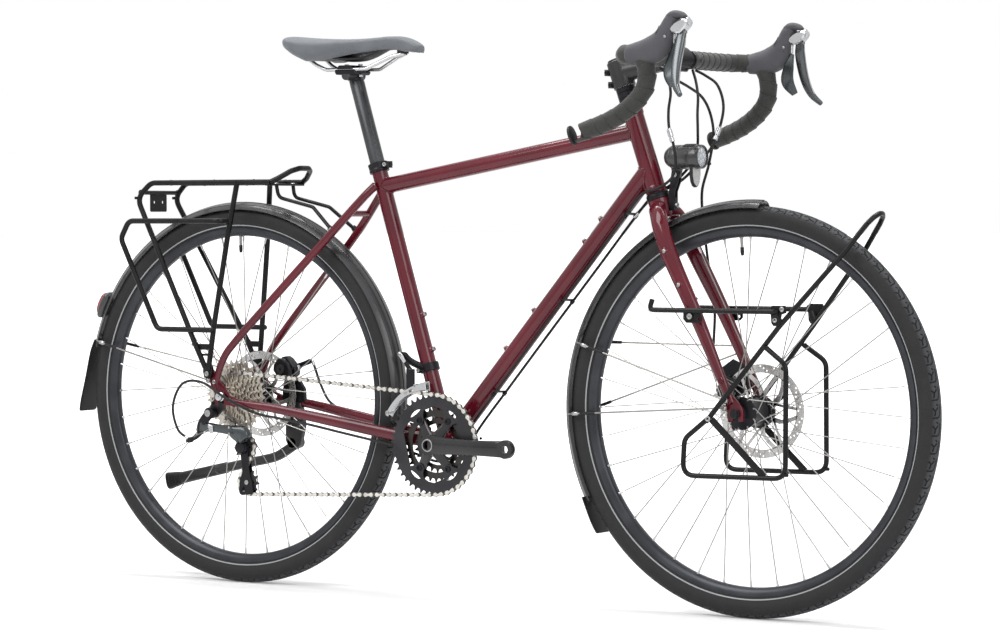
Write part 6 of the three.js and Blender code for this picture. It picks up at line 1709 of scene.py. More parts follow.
# Cranks, spider and chainrings

crank = {
    "length": 172.5, "face": 70, "eyeY": 90.5,
    "shares": [0.0, 0.12, 0.3, 0.62, 0.88, 0.97],
    "wides": [12, 12.5, 12.5, 12.5, 12.5, 12],
    "talls": [33, 31, 29, 27, 28.5, 30],
    "boss": [(12.2, 0), (18, 0), (19, 1.2), (19, 22), (18.4, 25), (17.4, 26), (12.2, 26)],
    "eye": [(7, 0), (15.4, 0), (16.4, 1.4), (16.4, 10.8), (15.4, 12.4), (7.9, 12.4), (7, 11.4)],
    "spiderWides": [13, 9.5, 8.2, 7.4],
    "spiderTalls": [5, 3.4, 2.1, 1.9],
    "spiderPad": [(0, -3.8), (7.6, -3.8), (8.2, -3.2), (8.2, 0), (0, 0)],
    "axle": [(8.5, -69), (12, -69), (12, 69), (8.5, 69)],
    "axleRing": [(9.2, 0), (11.4, 0), (11.4, 4.6), (10.8, 5.2), (9.2, 5.2)],
}
boltAngles = [math.radians(angle) for angle in (54.5, 125.5, 234.5, 305.5)]


def crankArm(side, forward):
    shape = Shape()
    shares = crank["shares"]
    lift = crank["eyeY"] - crank["face"]
    run = [crankAxle + Vector((forward * crank["length"] * share,
                               side * (crank["face"] - 6.25 + lift * min(1, share * 1.35)),
                               0)) for share in shares]
    run = flow(run, 6)
    shape.sweep(run, flowHalves(crank["wides"], crank["talls"], 6), 32, lead=across, power=3.2, soft=1)
    foot = crankAxle + across * side * 44
    shape.turn(foot, across * side, crank["boss"], 48)
    end = crankAxle + Vector((forward * crank["length"], side * (crank["eyeY"] - 12.4), 0))
    shape.turn(end, across * side, crank["eye"], 44)
    return shape


def makeCranks():
    right = crankArm(-1, 1)
    for angle in boltAngles:
        way = Vector((math.cos(angle), 0, math.sin(angle)))
        root, tip = crankAxle + across * -54, crankAxle + way * 56 + across * -45.7
        run = flow([root + way * 8, root.lerp(tip, 0.5) + way * 2 + across * 0.5, tip - way * 9, tip], 5)
        halves = flowPairs(crank["spiderWides"], crank["spiderTalls"], 5)
        right.sweep(run, halves, 20, lead=across.cross(way), power=3.2, soft=0.8)
        right.turn(tip - way * 4 + across * 1.9, across, crank["spiderPad"], 26, False)
    piece("rightCrankArm", right, crankBlack, "crank", "black_alloy", ["crank_arm_right"], 32)
    left = crankArm(1, -1)
    piece("leftCrankArm", left, crankBlack, "crank", "black_alloy", ["crank_arm_left"], 32)
    axle = Shape().turn(crankAxle, across, crank["axle"], 32)
    for side in (-1, 1):
        axle.turn(crankAxle + across * side * 66.5, across * side, crank["axleRing"], 40)
    piece("crankSpindle", axle, boltSteel, "crank", "steel")
    cap = Shape()
    teeth = notched(16, 7.2, 8.3, crankAxle)
    for low, high in ((67, 69.4), (-69.4, -67)):
        cap.plate(ringOf(32, 9.1, (crankAxle.x, crankAxle.z)), low, high, [teeth], 0.4)
    piece("crankCaps", cap, blackAlloy, "crank", "black_alloy")
    for side in (-1, 1):
        screw("crank", "black", crankAxle + Vector((side * 23, side * 69.2, 5)), across * side, 2.6, 1.4)


chainrings = {
    "boltCircle": 52,
    "window": [(64, -16), (58, -13), (50, -10), (45, -6), (43.5, 0), (45, 6), (50, 10), (58, 13), (64, 16),
               (67, 26), (68, 36)],
    "leaf": [(68, -11.5), (70.4, -6), (71.2, 0), (70.4, 6), (68, 11.5), (65.6, 6), (64.8, 0), (65.6, -6)],
    "pin": [(0, 0), (1.8, 0), (1.6, 1), (0, 1)],
    "tab": [(5, -0.9), (9.5, -0.9), (9.5, 0.9), (5, 0.9)],
    "bolt": [(3.0, 0), (5.6, 0), (5.8, 0.6), (5.8, 1.4), (5.2, 2), (3.0, 2)],
    "boltCore": [(0, 0.1), (3.0, 0.1), (3.0, 0.5), (0, 0.5)],
    "boltNut": [(0, 0), (5.6, 0), (5.6, 1.4), (0, 1.4)],
    "lowNut": [(0, 0), (5.6, 0), (5.6, 6), (0, 6)],
}


def outerHoles(centre):                 # the outer ring's window, bolt holes and leaf slots
    def loopAt(angle, places):
        return [(centre[0] + reach * math.cos(angle + math.radians(turn)),
                 centre[1] + reach * math.sin(angle + math.radians(turn))) for reach, turn in places]

    window = []
    for angle in boltAngles:
        window += loopAt(angle, chainrings["window"])
    bolts = [ringOf(18, 5, loopAt(angle, [(chainrings["boltCircle"], 0)])[0]) for angle in boltAngles]
    return [window] + bolts + [loopAt(angle, chainrings["leaf"]) for angle in boltAngles]


def makeRings():
    centre = (crankAxle.x, crankAxle.z)
    rings = (("outer", ringBlack, "black_alloy", outerHoles(centre)),
             ("middle", ringSteel, "steel", [ringOf(48, 50, centre)]),
             ("inner", ringSteel, "steel", [ringOf(40, 37, centre)]))
    for (name, material, slotName, holes), teeth, y in zip(rings, ringTeeth, ringPlanes):
        phase = phases.get((teeth, y, 275), 0.0) if name == "outer" else 0.1
        shape = Shape().plate(toothed(teeth, phase, crankAxle), y - 0.95, y + 0.95, holes, 0.2)
        for angle in boltAngles:
            if name == "outer":                          # three shift pins on the inside
                for n in range(3):
                    spot = polar(crankAxle, pitchRadius(teeth) - 9, angle + math.radians(24 + n * 9),
                                 y + 0.9)
                    shape.turn(spot, across, chainrings["pin"], 12, False)
            if name == "middle":
                shape.turn(polar(crankAxle, 50.5, angle, y), across, chainrings["tab"], 22)
        piece(name + "Ring", shape, material, "crank", slotName, ["chainring_" + name], 30)
    bolts = Shape()
    for angle in boltAngles:
        spot = polar(crankAxle, chainrings["boltCircle"], angle, ringPlanes[0] - 1)
        bolts.turn(spot, -across, chainrings["bolt"], 24)
        bolts.turn(spot, -across, chainrings["boltCore"], 12, False)
        bolts.turn(spot + across * 8.4, across, chainrings["boltNut"], 20, False)
        low = polar(crankAxle, 32, angle, -43)
        bolts.turn(low, across, chainrings["lowNut"], 18, False)
    piece("chainringBolts", bolts, blackAlloy, "crank", "black_alloy")


makeCranks()
makeRings()
print("cranks made")


# Front derailleur

frontMech = {
    "band": [(14.5, 133), (17, 133), (17.8, 133.8), (17.8, 147.2), (17, 148), (14.5, 148)],
    "linkTop": [(2, 2.6), (2.4, 4), (1.9, 3)],
    "linkLow": [(2.2, 3.4), (2.8, 4.8), (2.4, 3.2)],
    "slot": [(108, 112), (108.4, 124), (104.6, 124), (102.6, 112)],
}


def makeFrontDerailleur():
    foot, top = onSeat(134), onSeat(148)
    band = Shape().turn(onSeat(0), seatWay, frontMech["band"], 44)
    back = onSeat(141) - seatFront * 19.5
    band.block((back.x - 5, -8, back.z - 5.5), (back.x + 3, 8, back.z + 5.5), 1.2)
    high, low = pivot("shifter_link_swing"), pivot("shifter_cage_swing")
    run = [Vector((foot.x - 6, -12, foot.z + 6)), Vector((high.x + 12, -19, high.z - 12)),
           Vector((high.x, -23, high.z))]
    band.sweep(flow(run, 5), [(6, 6)] * 11, 20, lead=across, power=3, soft=0.8)
    band.rod(Vector((high.x, -20, high.z)), Vector((high.x, -29.9, high.z)), 4.6, sides=22)
    piece("frontMechClamp", band, blackAlloy, "frame", "black_alloy", ["front_derailleur_clamp"])
    screw("frame", "socket", back - across * 7.9, -across, 3.8, 2.6)
    link = Shape()
    way = (low - high).normalized()
    nose = [high - way * 5, high, high.lerp(low, 0.5), low, low + way * 5]
    link.sweep(nose[:3], frontMech["linkTop"], 22, lead=across, power=3, soft=0.6)
    link.mark = 1
    link.sweep(nose[2:], frontMech["linkLow"], 22, lead=across, power=3, soft=0.6)
    piece("frontMechLink", link, [silverAlloy, blackAlloy], "shifter_link", "silver_alloy",
          ["front_derailleur_link"])
    screw("shifter_link", "dome", high - across * 2.8, -across, 3.4, 1.4)
    screw("shifter_link", "dome", low - across * 2.8, -across, 3.4, 1.4)
    cage = Shape()
    y0 = ringPlanes[0]
    for y, deeper in ((y0 - 7, 0), (y0 + 5.6, 2)):
        outer = [polar(crankAxle, 111 + deeper, math.radians(97 + 56 * k / 16)) for k in range(17)]
        inner = [polar(crankAxle, 98 - deeper * 0.8 + 7 * (1 - k / 16),
                       math.radians(153 - 56 * k / 16)) for k in range(17)]
        slot = [polar(crankAxle, r, math.radians(a)) for r, a in frontMech["slot"]]
        cage.plate([(p.x, p.z) for p in outer + inner], y, y + 1.4, [[(p.x, p.z) for p in slot]], 0.3)
    for angle, radius in ((150, 109), (109, 111)):
        spot = polar(crankAxle, radius, math.radians(angle))
        cage.rod(spot + across * (y0 - 7), spot + across * (y0 + 7), 2.6, sides=16)
    cage.mark = 1
    cage.block((low.x - 3, y0 + 5.8, low.z - 34), (low.x + 13, -37.6, low.z + 3), 1)
    piece("frontMechCage", cage, [silverAlloy, blackAlloy], "shifter_cage", "silver_alloy",
          ["front_derailleur_cage"])
    screw("shifter_cage", "socket", polar(crankAxle, 109, math.radians(150), y0 - 7), -across, 3.6, 1.8)


makeFrontDerailleur()


# Rear derailleur: knuckle on the hanger, two links, cage knuckle, cage and two pulleys

rearMech = {
    "hangerHead": [(0, 0), (9.8, 0), (10.4, 0.8), (10.4, 13.6), (9.6, 15), (6.2, 15.6), (0, 15.6)],
    "neckWides": [5.4, 5.6, 5.2, 4.8],
    "neckTalls": [8.6, 9.2, 8.6, 7.2],
    "tailWides": [4.4, 4.2, 4],
    "tailTalls": [7, 4.6, 4.2],
    "barrelTip": [(0, 9), (2.8, 9), (2.8, 14), (0, 14)],
    "link": [(2, 6.6), (2.5, 8), (2.3, 6.4), (2.5, 8), (2, 6.6)],
    "linkPin": [(0, 0), (2.4, 0), (2.4, 16.4), (0, 16.4)],
    "lug": [(1.8, 3.6), (2.6, 5.4), (1.8, 4.2)],
    "kneeWides": [8.6, 9.6, 9.8, 8.6],
    "kneeTalls": [9.4, 14.5, 17, 11],
    "kneeEnd": [(0, 0), (11, 0), (12, 1), (12, 8), (10.6, 11), (7, 12.2), (0, 12.4)],
    "cageLeft": [(-0.15, 3), (-0.13, 7.5), (-0.04, 9.4), (0.1, 8), (0.5, 7.4), (0.72, 8), (0.86, 12),
                 (1, 16.5), (1.2, 20.5), (1.3, 19), (1.35, 14)],
    "cageRight": [(1.35, -7), (1.3, -11), (1.12, -12), (0.98, -11.2), (0.86, -9), (0.72, -7.6),
                  (0.35, -7.6), (0.08, -9.6), (-0.04, -9.8), (-0.13, -6.5), (-0.15, -3)],
    "cagePin": [(0, 0), (2.7, 0), (2.7, 12), (0, 12)],
    "pulleyHub": [(3.2, 0), (6.4, 0), (6.8, 0.6), (6.8, 7.6), (6.4, 8.2), (3.2, 8.2)],
    "cageWindow": [(1.1, 9), (1.24, 15.5), (1.27, 3), (1.16, 3)],
}


def makeRearDerailleur():
    reach = Vector((50, 22, -6))
    outerPivot, innerPivot = pivot("derailleur_outer_swing"), pivot("derailleur_inner_swing")
    bolt = pivot("derailleur_hanger_pivot")
    knuckle = Shape()
    knuckle.turn(Vector((bolt.x, -74, bolt.z)), -across, rearMech["hangerHead"], 36, False)
    run = flow([Vector((bolt.x, -84, bolt.z)), Vector((-30, -84, 306)), Vector((-37, -84, 295)),
                Vector((-40, -84, 284))], 5)
    knuckle.sweep(run, flowPairs(rearMech["neckWides"], rearMech["neckTalls"], 5), 26, lead=across,
                  power=2.8, soft=0.8)
    run = flow([Vector((-38, -84, 286)), Vector((-48, -84, 275)), Vector((-61, -84, 268.5))], 5)
    knuckle.sweep(run, flowPairs(rearMech["tailWides"], rearMech["tailTalls"], 5), 20, lead=across,
                  soft=0.6)
    piece("hangerKnuckle", knuckle, blackAlloy, "derailleur_knuckle", "black_alloy", ["hanger_knuckle"])
    barrel = Shape()
    spot = Vector((-58, -84, 269))
    way = Vector((-0.95, 0, -0.2)).normalized()
    rise = way.cross(across)
    rings = []
    for along, grow in ((0, 0.85), (0.8, 1), (8.4, 1), (9.4, 0.85)):
        ring = []
        for k in range(32):
            spin = 2 * math.pi * k / 32
            size = (5.2 if k % 2 else 4.7) * grow
            ring.append(spot + way * along + across * (size * math.cos(spin))
                        + rise * (size * math.sin(spin)))
        rings.append(ring)
    barrel.skin(rings)
    barrel.turn(spot, way, rearMech["barrelTip"], 16, False)
    piece("derailleurBarrel", barrel, blackAlloy, "derailleur_knuckle", "black_alloy")
    screw("derailleur_knuckle", "socket", Vector((bolt.x, -89.5, bolt.z)), -across, 6.4, 2.2)
    for z in (288, 281):
        screw("derailleur_knuckle", "socket", Vector((-44, -87.6, z)), Vector((-0.4, -0.9, 0)), 2.4, 2.4)
    arms = (("outer", outerPivot, mechGrey, "silver_alloy"),
            ("inner", innerPivot, blackAlloy, "black_alloy"))
    for name, spot, material, slotName in arms:
        link = Shape()
        a, b = spot - reach * 0.055, spot + reach * 1.055
        run = [a, a.lerp(b, 0.12), a.lerp(b, 0.5), a.lerp(b, 0.88), b]
        link.sweep(run, rearMech["link"], 24, lead=across, power=3.2, soft=0.5)
        for centre in (spot, spot + reach):
            link.turn(centre - Vector((0, 0, 8.2)), (0, 0, 1), rearMech["linkPin"], 16, False)
        piece(name + "Link", link, material, "derailleur_" + name + "_link", slotName, [name + "_link"])
    anchor = outerPivot + reach * 0.35 - across * 2
    lug = Shape().sweep([anchor + Vector((-9, 0, 6)), anchor + Vector((1, -1.6, 2)),
                         anchor + Vector((3, -2, -9))], rearMech["lug"], 22,
                        lead=across, power=2.6, soft=0.6)
    piece("cableLug", lug, silverAlloy, "derailleur_outer_link", "silver_alloy")
    screw("derailleur_outer_link", "socket", anchor - Vector((0, 0, 3)), Vector((0, -1, -0.2)), 3.8, 3.2)
    head = outerPivot + reach
    knee = Shape()
    run = flow([head + Vector((-4, 7, 0)), head + Vector((8, 9, -5)), head + Vector((20, 11, -9)),
                Vector((guideSpot.x + 14, -56, guideSpot.z + 14))], 6)
    knee.sweep(run, flowPairs(rearMech["kneeWides"], rearMech["kneeTalls"], 6), 32, lead=across, power=2.6,
               soft=1)
    outerY = chainY - 6
    knee.mark = 1
    knee.turn(Vector((guideSpot.x, outerY - 0.3, guideSpot.z)), -across, rearMech["kneeEnd"], 40, False)
    piece("cageKnuckle", knee, [mechGrey, blackAlloy], "derailleur_body", "black_alloy", ["cage_knuckle"])
    for offset in (Vector((2, -9, 7)), Vector((2, -9, -7))):
        screw("derailleur_body", "dome", head + offset * 0.8, (0, -1, 0.1), 2.6, 1.6)
    cage = Shape()
    way = (tensionSpot - guideSpot)
    way.y = 0
    way.normalize()
    side = Vector((way.z, 0, -way.x))
    length = (tensionSpot - guideSpot).length

    def spotAt(share, out):
        p = guideSpot + way * (length * share) + side * out
        return (p.x, p.z)

    outline = [spotAt(*row) for row in rearMech["cageLeft"] + rearMech["cageRight"]]
    window = [spotAt(*row) for row in rearMech["cageWindow"]]
    for low in (chainY - 6, chainY + 4.4):
        cage.plate(outline, low, low + 1.6, [window], 0.35)
    for centre in (guideSpot, tensionSpot):
        cage.turn(Vector((centre.x, chainY - 6, centre.z)), across, rearMech["cagePin"], 18, False)
    piece("derailleurCage", cage, blackAlloy, "pulley_cage", "black_alloy", ["derailleur_cage"])
    for centre in (guideSpot, tensionSpot):
        screw("pulley_cage", "socket", Vector((centre.x, chainY + 5.8, centre.z)), across, 4, 1.8)
        screw("pulley_cage", "socket", Vector((centre.x, chainY - 5.9, centre.z)), -across, 4.2, 1.6)
    for centre, name, body in ((guideSpot, "guide", "guide_wheel"),
                               (tensionSpot, "tension", "tension_wheel")):
        phase = phases.get((11, chainY, round(centre.z)), 0.0)
        pulley = Shape()
        outline = toothed(11, phase, centre, 4.5, 2.2)
        holes = [ringOf(20, 3.2, (centre.x, centre.z))]
        for k in range(5):
            angle = 2 * math.pi * k / 5
            holes.append(ringOf(12, 2.3, (centre.x + 10.6 * math.cos(angle),
                    centre.z + 10.6 * math.sin(angle))))
        pulley.plate(outline, chainY - 1, chainY + 1, holes, 0.25)
        pulley.turn(Vector((centre.x, chainY - 4.1, centre.z)), across, rearMech["pulleyHub"], 28)
        piece(name + "Pulley", pulley, pulleyPlastic, body, "pulley_plastic", [name + "_pulley"])


makeRearDerailleur()
print("derailleurs made")


# Disc calipers with their feet and cable arms

caliper = {
    "armReach": 42,
    "padCap": [(0, 0), (13.4, 0), (13.4, 3.2), (12.4, 4.6), (0, 4.6)],
    "armHead": [(0, 0), (8.6, 0), (9.2, 0.6), (9.2, 5), (8.4, 6), (0, 6)],
    "armWides": [2.3, 2.1, 2, 2.2],
    "armTalls": [7.6, 5.6, 4.6, 5],
    "armEye": [(0, 0), (4.2, 0), (4.2, 7.6), (0, 7.6)],
    "barrel": [(0, 0), (4.6, 0), (5, 0.8), (5, 5), (4.2, 6), (0, 6)],
    "rearFoot": [(42, 338), (96, 334), (94, 360), (84, 374), (62, 388), (46, 372)],
    "frontFoot": [(976, 372), (1006, 372), (1036, 376), (1033, 404), (1026, 426), (1004, 436), (982, 421)],
    "outside": [(-18, -12), (-14, -18), (-6, -22), (8, -22.5), (16, -18), (19, -10), (19.5, 0), (19, 10),
                (16, 18), (8, 22.5), (-6, 22), (-14, 18), (-18, 12)],
    "inside": [(-16, -10), (-8, -18), (8, -20), (16, -12), (18, 0), (16, 12), (8, 20), (-8, 18), (-16, 10)],
    "bridge": [(13.4, -13), (19, -10), (19.4, 10), (13.4, 13)],
}


def tipOf(side, turn):                  # where a caliper's arm holds its cable
    turn = math.radians(turn)
    return pivot(side + "_brake_arm_pull") + polar((0, 0, 0), caliper["armReach"], turn)


armTip = {"rear": tipOf("rear", 20), "front": tipOf("front", 200)}


def makeCaliper(side, centre, lean, footOutline, footLow, footHigh, rider):
    hub = hubs[side]
    discY = hub["spacing"] / 2 - hub["inset"]
    spot = polar(centre, 72, lean, discY)
    radial = Vector((math.cos(lean), 0, math.sin(lean)))
    along = Vector((-math.sin(lean), 0, math.cos(lean)))

    def flat(r, t):
        p = spot + radial * r + along * t
        return (p.x, p.z)

    shape = Shape()
    outer = [flat(r, t) for r, t in caliper["outside"]]
    shape.plate(outer, discY + 1.8, discY + 19.5, [], 2.4)
    inner = [flat(r, t) for r, t in caliper["inside"]]
    shape.plate(inner, discY - 12.6, discY - 1.8, [], 2)
    shape.plate([flat(r, t) for r, t in caliper["bridge"]], discY - 4, discY + 5, [], 0.6)
    shape.turn(spot + across * 18, across, caliper["padCap"], 36, False)
    for k in range(3):                  # cooling ribs
        low, high = -15 + k * 11, -11.5 + k * 11
        rib = [flat(-9, low), flat(9, low), flat(9, high), flat(-9, high)]
        shape.plate(rib, discY + 18, discY + 20.6, [], 0.8)
    piece(side + "Caliper", shape, blackAlloy, rider, "black_alloy", [side + "_caliper"])
    dial = Shape()
    dial.plate(notched(24, 8.2, 9, spot), discY - 16, discY - 12.4, [ringOf(6, 2.6, (spot.x, spot.z))], 0.5)
    piece(side + "PadDial", dial, pulleyPlastic, rider, "black_alloy")
    foot = Shape().plate(footOutline, footLow, footHigh, [], 1.2)
    piece(side + "CaliperFoot", foot, blackAlloy, rider, "black_alloy")
    for t in (-19, 19):
        screw(rider, "socket", spot + along * t * 0.86 + radial * 6 + across * 19.2, across, 4.4, 3.6)
    arm = pivot(side + "_brake_arm_pull")
    tip = armTip[side]
    body = side + "_brake_arm"
    lever = Shape()
    lever.turn(arm - across * 2.4, across, caliper["armHead"], 32, False)
    run = flow([arm, arm.lerp(tip, 0.3), arm.lerp(tip, 0.7), tip], 5)
    lever.sweep(run, flowPairs(caliper["armWides"], caliper["armTalls"], 5), 20, lead=across, power=3,
                soft=0.5)
    lever.turn(tip - across * 3.8, across, caliper["armEye"], 22, False)
    piece(side + "BrakeArm", lever, silverAlloy if side == "front" else blackAlloy, body, "black_alloy",
          [side + "_caliper_arm"])
    screw(body, "socket", arm + across * 3.4, across, 4.6, 2.6)
    screw(body, "socket", tip + across * 3.7, across, 3.2, 2.8)
    stop = Shape()
    stop.turn(spot + radial * 17 + along * (14 if side == "front" else -14) + across * 11, radial,
              caliper["barrel"], 20, False)
    piece(side + "BarrelAdjuster", stop, silverAlloy, rider, "silver_alloy")


makeCaliper("rear", rearAxle, math.radians(41), caliper["rearFoot"], 59, 66.6, "frame")
makeCaliper("front", frontAxle, math.radians(149), caliper["frontFoot"], 42.6, 48.6, "steering")
for spot in ((52, 66.6, 346), (84, 66.6, 344)):
    screw("frame", "socket", spot, across, 4.4, 4)
for spot in ((988, 48.6, 382), (1018, 48.6, 420)):
    screw("steering", "socket", spot, across, 4.4, 4)
print("calipers made")


# Headlamp, its bracket and the reflector under it

lamp = {
    "back": 899, "front": 970, "z": 781, "radius": 21,
    "body": [(0, 0), (9, 0.4), (13, 2.2), (17, 7), (19.4, 12), (20.2, 13.6), (20.2, 15), (19.6, 16),
             (20.6, 18), (20.8, 30), (20.2, 31), (20.8, 32), (21, 62), (20.6, 69.5), (19.4, 71),
             (18, 70.6), (17.6, 66), (0, 65)],
    "glass": [(0, 0), (17.4, 0), (17.4, 2.6), (12, 4.2), (0, 5.2)],
    "bowl": [(0, 0), (6, 0.2), (12, 1), (16, 2.4), (17.6, 3.6), (17.6, 2.4), (16, 0.6), (8, -1), (0, -1.4)],
    "reflector": [(-15, 765), (15, 765), (15.5, 750), (12, 738), (6, 731), (0, 729), (-6, 731), (-12, 738),
                  (-15.5, 750)],
}


def makeLamp():
    start, z, r = Vector((lamp["back"], 0, lamp["z"])), lamp["z"], lamp["radius"]
    body = Shape()
    body.turn(start, (1, 0, 0), lamp["body"], 56, False)
    for k in range(6):                  # cooling fins
        angle = math.radians(60 + k * 12)
        way = Vector((0, math.cos(angle), math.sin(angle)))
        body.sweep([start + way * 19.8 + Vector((36, 0, 0)), start + way * 21.4 + Vector((40, 0, 0)),
                    start + way * 21.4 + Vector((58, 0, 0)),
                    start + way * 19.8 + Vector((62, 0, 0))], [(0.8, 1.2)] * 4, 8,
                    lead=way.cross(Vector((1, 0, 0))))
    pivotSpot = pivot("lamp_tilt")
    ear = [(pivotSpot.x - 7, pivotSpot.z - 5), (pivotSpot.x, pivotSpot.z - 8),
           (pivotSpot.x + 7, pivotSpot.z - 5), (pivotSpot.x + 13, z - 14), (pivotSpot.x - 11, z - 14)]
    body.plate(ear, -2.5, 2.5, [], 0.6)
    piece("headlampBody", body, guardPlastic, "lamp", "black_paint", ["headlamp"])
    glass = Shape().turn(start + Vector((65.4, 0, 0)), (1, 0, 0), lamp["glass"], 44, False)
    piece("headlampGlass", glass, lampGlass, "lamp", "black_paint")
    bowl = Shape().turn(start + Vector((62.6, 0, 0)), (1, 0, 0), lamp["bowl"], 44, False)
    piece("headlampReflector", bowl, silverAlloy, "lamp", "silver_alloy")
    holder = Shape()
    outline = lamp["reflector"]
    holder.plate(outline, 951.6, 957.4, [], 0.8, crosswise)
    piece("reflectorFrame", holder, pulleyPlastic, "lamp", "black_paint")
    panel = Shape().plate(shrink(outline, 2.2), 957.0, 958.4, [], 0.4, crosswise)
    piece("reflectorPanel", panel, prismGlass, "lamp", "black_paint")
    bracket = Shape()
    cheek = [(pivotSpot.x - 7, pivotSpot.z + 5), (pivotSpot.x, pivotSpot.z + 8),
             (pivotSpot.x + 7, pivotSpot.z + 5), (pivotSpot.x + 6, 740), (918, 722), (918, 706),
             (906, 706), (907, 725)]
    bracket.plate(cheek, -6.2, -3, [], 0.5)
    bracket.plate(cheek, 3, 6.2, [], 0.5)
    bracket.block((906, -6.4, 690), (918, 6.4, 712), 0.8)
    bracket.rod((897, 0, 697), (911, 0, 697), 6, sides=24)
    piece("lampBracket", bracket, blackAlloy, "steering", "black_alloy", ["headlamp_bracket"])
    screw("steering", "socket", pivotSpot - across * 6, -across, 4.4, 2.8)
    screw("steering", "nut", pivotSpot + across * 6, across, 5, 2.8)
    screw("steering", "socket", Vector((917.6, 0, 699)), (1, 0, 0), 5, 4)


makeLamp()
print("headlamp made")


# Mudguards

guard = {
    "crown": 358, "half": 23, "depth": 12, "wall": 1.6, "rearArc": (-6, 166), "frontArc": (86, 208),
    "wire": 1.6,
    "clip": [(3.4, 3.4), (4, 4), (3.6, 3.6), (2.2, 2.2)],
    "sleeve": [2.2, 2.8, 2.8, 2.2],
    "eye": [(2.6, 0), (5.2, 0), (5.2, 2.8), (2.6, 2.8)],
    "flapPlaces": [((-341.3, 446.5), 20), ((-349, 424), 23), ((-361, 370), 25), ((-371, 330), 26),
                   ((-375, 312), 25), ((-376, 309), 22)],
    "flapWides": [21, 23, 24, 23.5, 21],
    "flapArc": [(356, 206), (358, 211), (360, 214), (361.5, 216.6), (361.6, 217)],
}


def guardChannel(shape, centre, arc):
    steps = int((arc[1] - arc[0]) / 1.7)
    outer, inner = [], []
    for k in range(13):
        share = -1 + k / 6
        depth = guard["depth"] * abs(share) ** 2.6
        outer.append((guard["crown"] - depth, guard["half"] * share))
        inner.append((guard["crown"] - depth - guard["wall"], guard["half"] * share * (1 - 0.06)))
    outer[0] = (outer[0][0] - 0.6, outer[0][1])
    section = outer + list(reversed(inner))
    rings = []
    for i in range(steps + 1):
        angle = math.radians(arc[0] + (arc[1] - arc[0]) * i / steps)
        rings.append([polar(centre, r, angle, y) for r, y in section])
    shape.skin(rings)
    for y, lift in ((0, 0.5), (-15, -1.4), (15, -1.4)):          # pressed ribs that stiffen it
        run = [polar(centre, guard["crown"] + lift - (0 if y == 0 else 3.1),
                     math.radians(arc[0] + (arc[1] - arc[0]) * i / steps), y) for i in range(steps + 1)]
        shape.sweep(run, (1.5, 0.8), 8, lead=across)


def guardWire(body, centre, angle, end, name):
    side = math.copysign(1, end[1])
    end = Vector(end)
    top = polar(centre, guard["crown"] - guard["depth"], math.radians(angle), side * (guard["half"] - 1))
    out = top.lerp(end, 0.04)
    out.y = side * (guard["half"] + 4)
    wires[name].sweep(bend([top + (top - out) * 0.2, out, end], 8, 4), guard["wire"], 10, soft=0.3)
    way = (end - out).normalized()
    clips[name].sweep([out - way * 3, out + way * 2, out + way * 9, out + way * 11], guard["clip"], 18,
                      soft=0.4)
    tips[name].sweep([out + way * 14, out + way * 16, out + way * 44, out + way * 46], guard["sleeve"], 16)
    eye = Shape().turn(end - across * side * 1.4, across * side, guard["eye"], 20)
    wires[name].join(eye)
    screw(body, "dome", end + across * side * 1.4, across * side, 4.2, 2.6)


wires, clips, tips = ({side: Shape() for side in ("rear", "front")} for _ in range(3))


def makeGuards():
    rear, front = Shape(), Shape()
    guardChannel(rear, rearAxle, guard["rearArc"])
    guardChannel(front, frontAxle, guard["frontArc"])
    piece("rearGuard", rear, guardPlastic, "frame", "guard_plastic", ["rear_mudguard"])
    piece("frontGuard", front, guardPlastic, "steering", "guard_plastic", ["front_mudguard"])
    flap = Shape()
    rows = guard["flapPlaces"]
    run = flow([(x, 0, z) for (x, z), _ in rows], 5)
    flap.sweep(run, [(wide, 1.4) for wide in flowNumbers([wide for _, wide in rows], 5)], 32, lead=across,
               power=5, soft=0.5)
    piece("rearFlap", flap, flapRubber, "frame", "guard_plastic")
    for y in (-12, 12):
        screw("frame", "dome", Vector((-347, y, 437)), Vector((-1, 0, 0.33)), 4.2, 2.2)
    flap = Shape()
    run = flow([polar(frontAxle, r, math.radians(a)) for r, a in guard["flapArc"]], 5)
    flap.sweep(run, [(wide, 1.4) for wide in flowNumbers(guard["flapWides"], 5)], 32, lead=across, power=5,
               soft=0.5)
    piece("frontFlap", flap, flapRubber, "steering", "guard_plastic")
    for y in (-12, 12):
        screw("steering", "dome", polar(frontAxle, 359, math.radians(208), y),
              polar((0, 0, 0), 1, math.radians(208)), 4.2, 2.2)
    for side in (-1, 1):
        guardWire("frame", rearAxle, 164, (-27, side * 75.7, 379), "rear")
    for angle, end in ((161, (1047, -61.8, 371)), (182, (1044, -61.8, 359)), (161, (1009, 62.4, 458)),
                       (182, (1014, 62.4, 449))):
        guardWire("steering", frontAxle, angle, end, "front")
    for side, body in (("rear", "frame"), ("front", "steering")):
        piece(side + "GuardStays", wires[side], spokeSteel, body, "steel")
        piece(side + "StayClips", clips[side], boltSteel, body, "steel")
        piece(side + "StaySleeves", tips[side], cableRubber, body, "guard_plastic")
    tab = Shape()
    foot = polar(frontAxle, 359, math.radians(113))
    tab.block((foot.x - 8, -9, foot.z + 0.4), (foot.x + 8, 9, foot.z + 3), 0.8)
    piece("frontGuardTab", tab, silverAlloy, "steering", "silver_alloy")


makeGuards()
print("mudguards made")


# Rear light

rearLight = {
    "shellWides": [13, 16.4, 18, 15.4, 12],
    "shellTalls": [5.4, 8.6, 9.4, 8.4, 5],
    "lensWides": [9, 12, 13.6, 11.6, 8.6],
    "lensTalls": [3.6, 6, 7, 5.8, 3.4],
    "base": [(12, 2.2), (14, 4.2), (14, 4.2), (12, 2.2)],
}


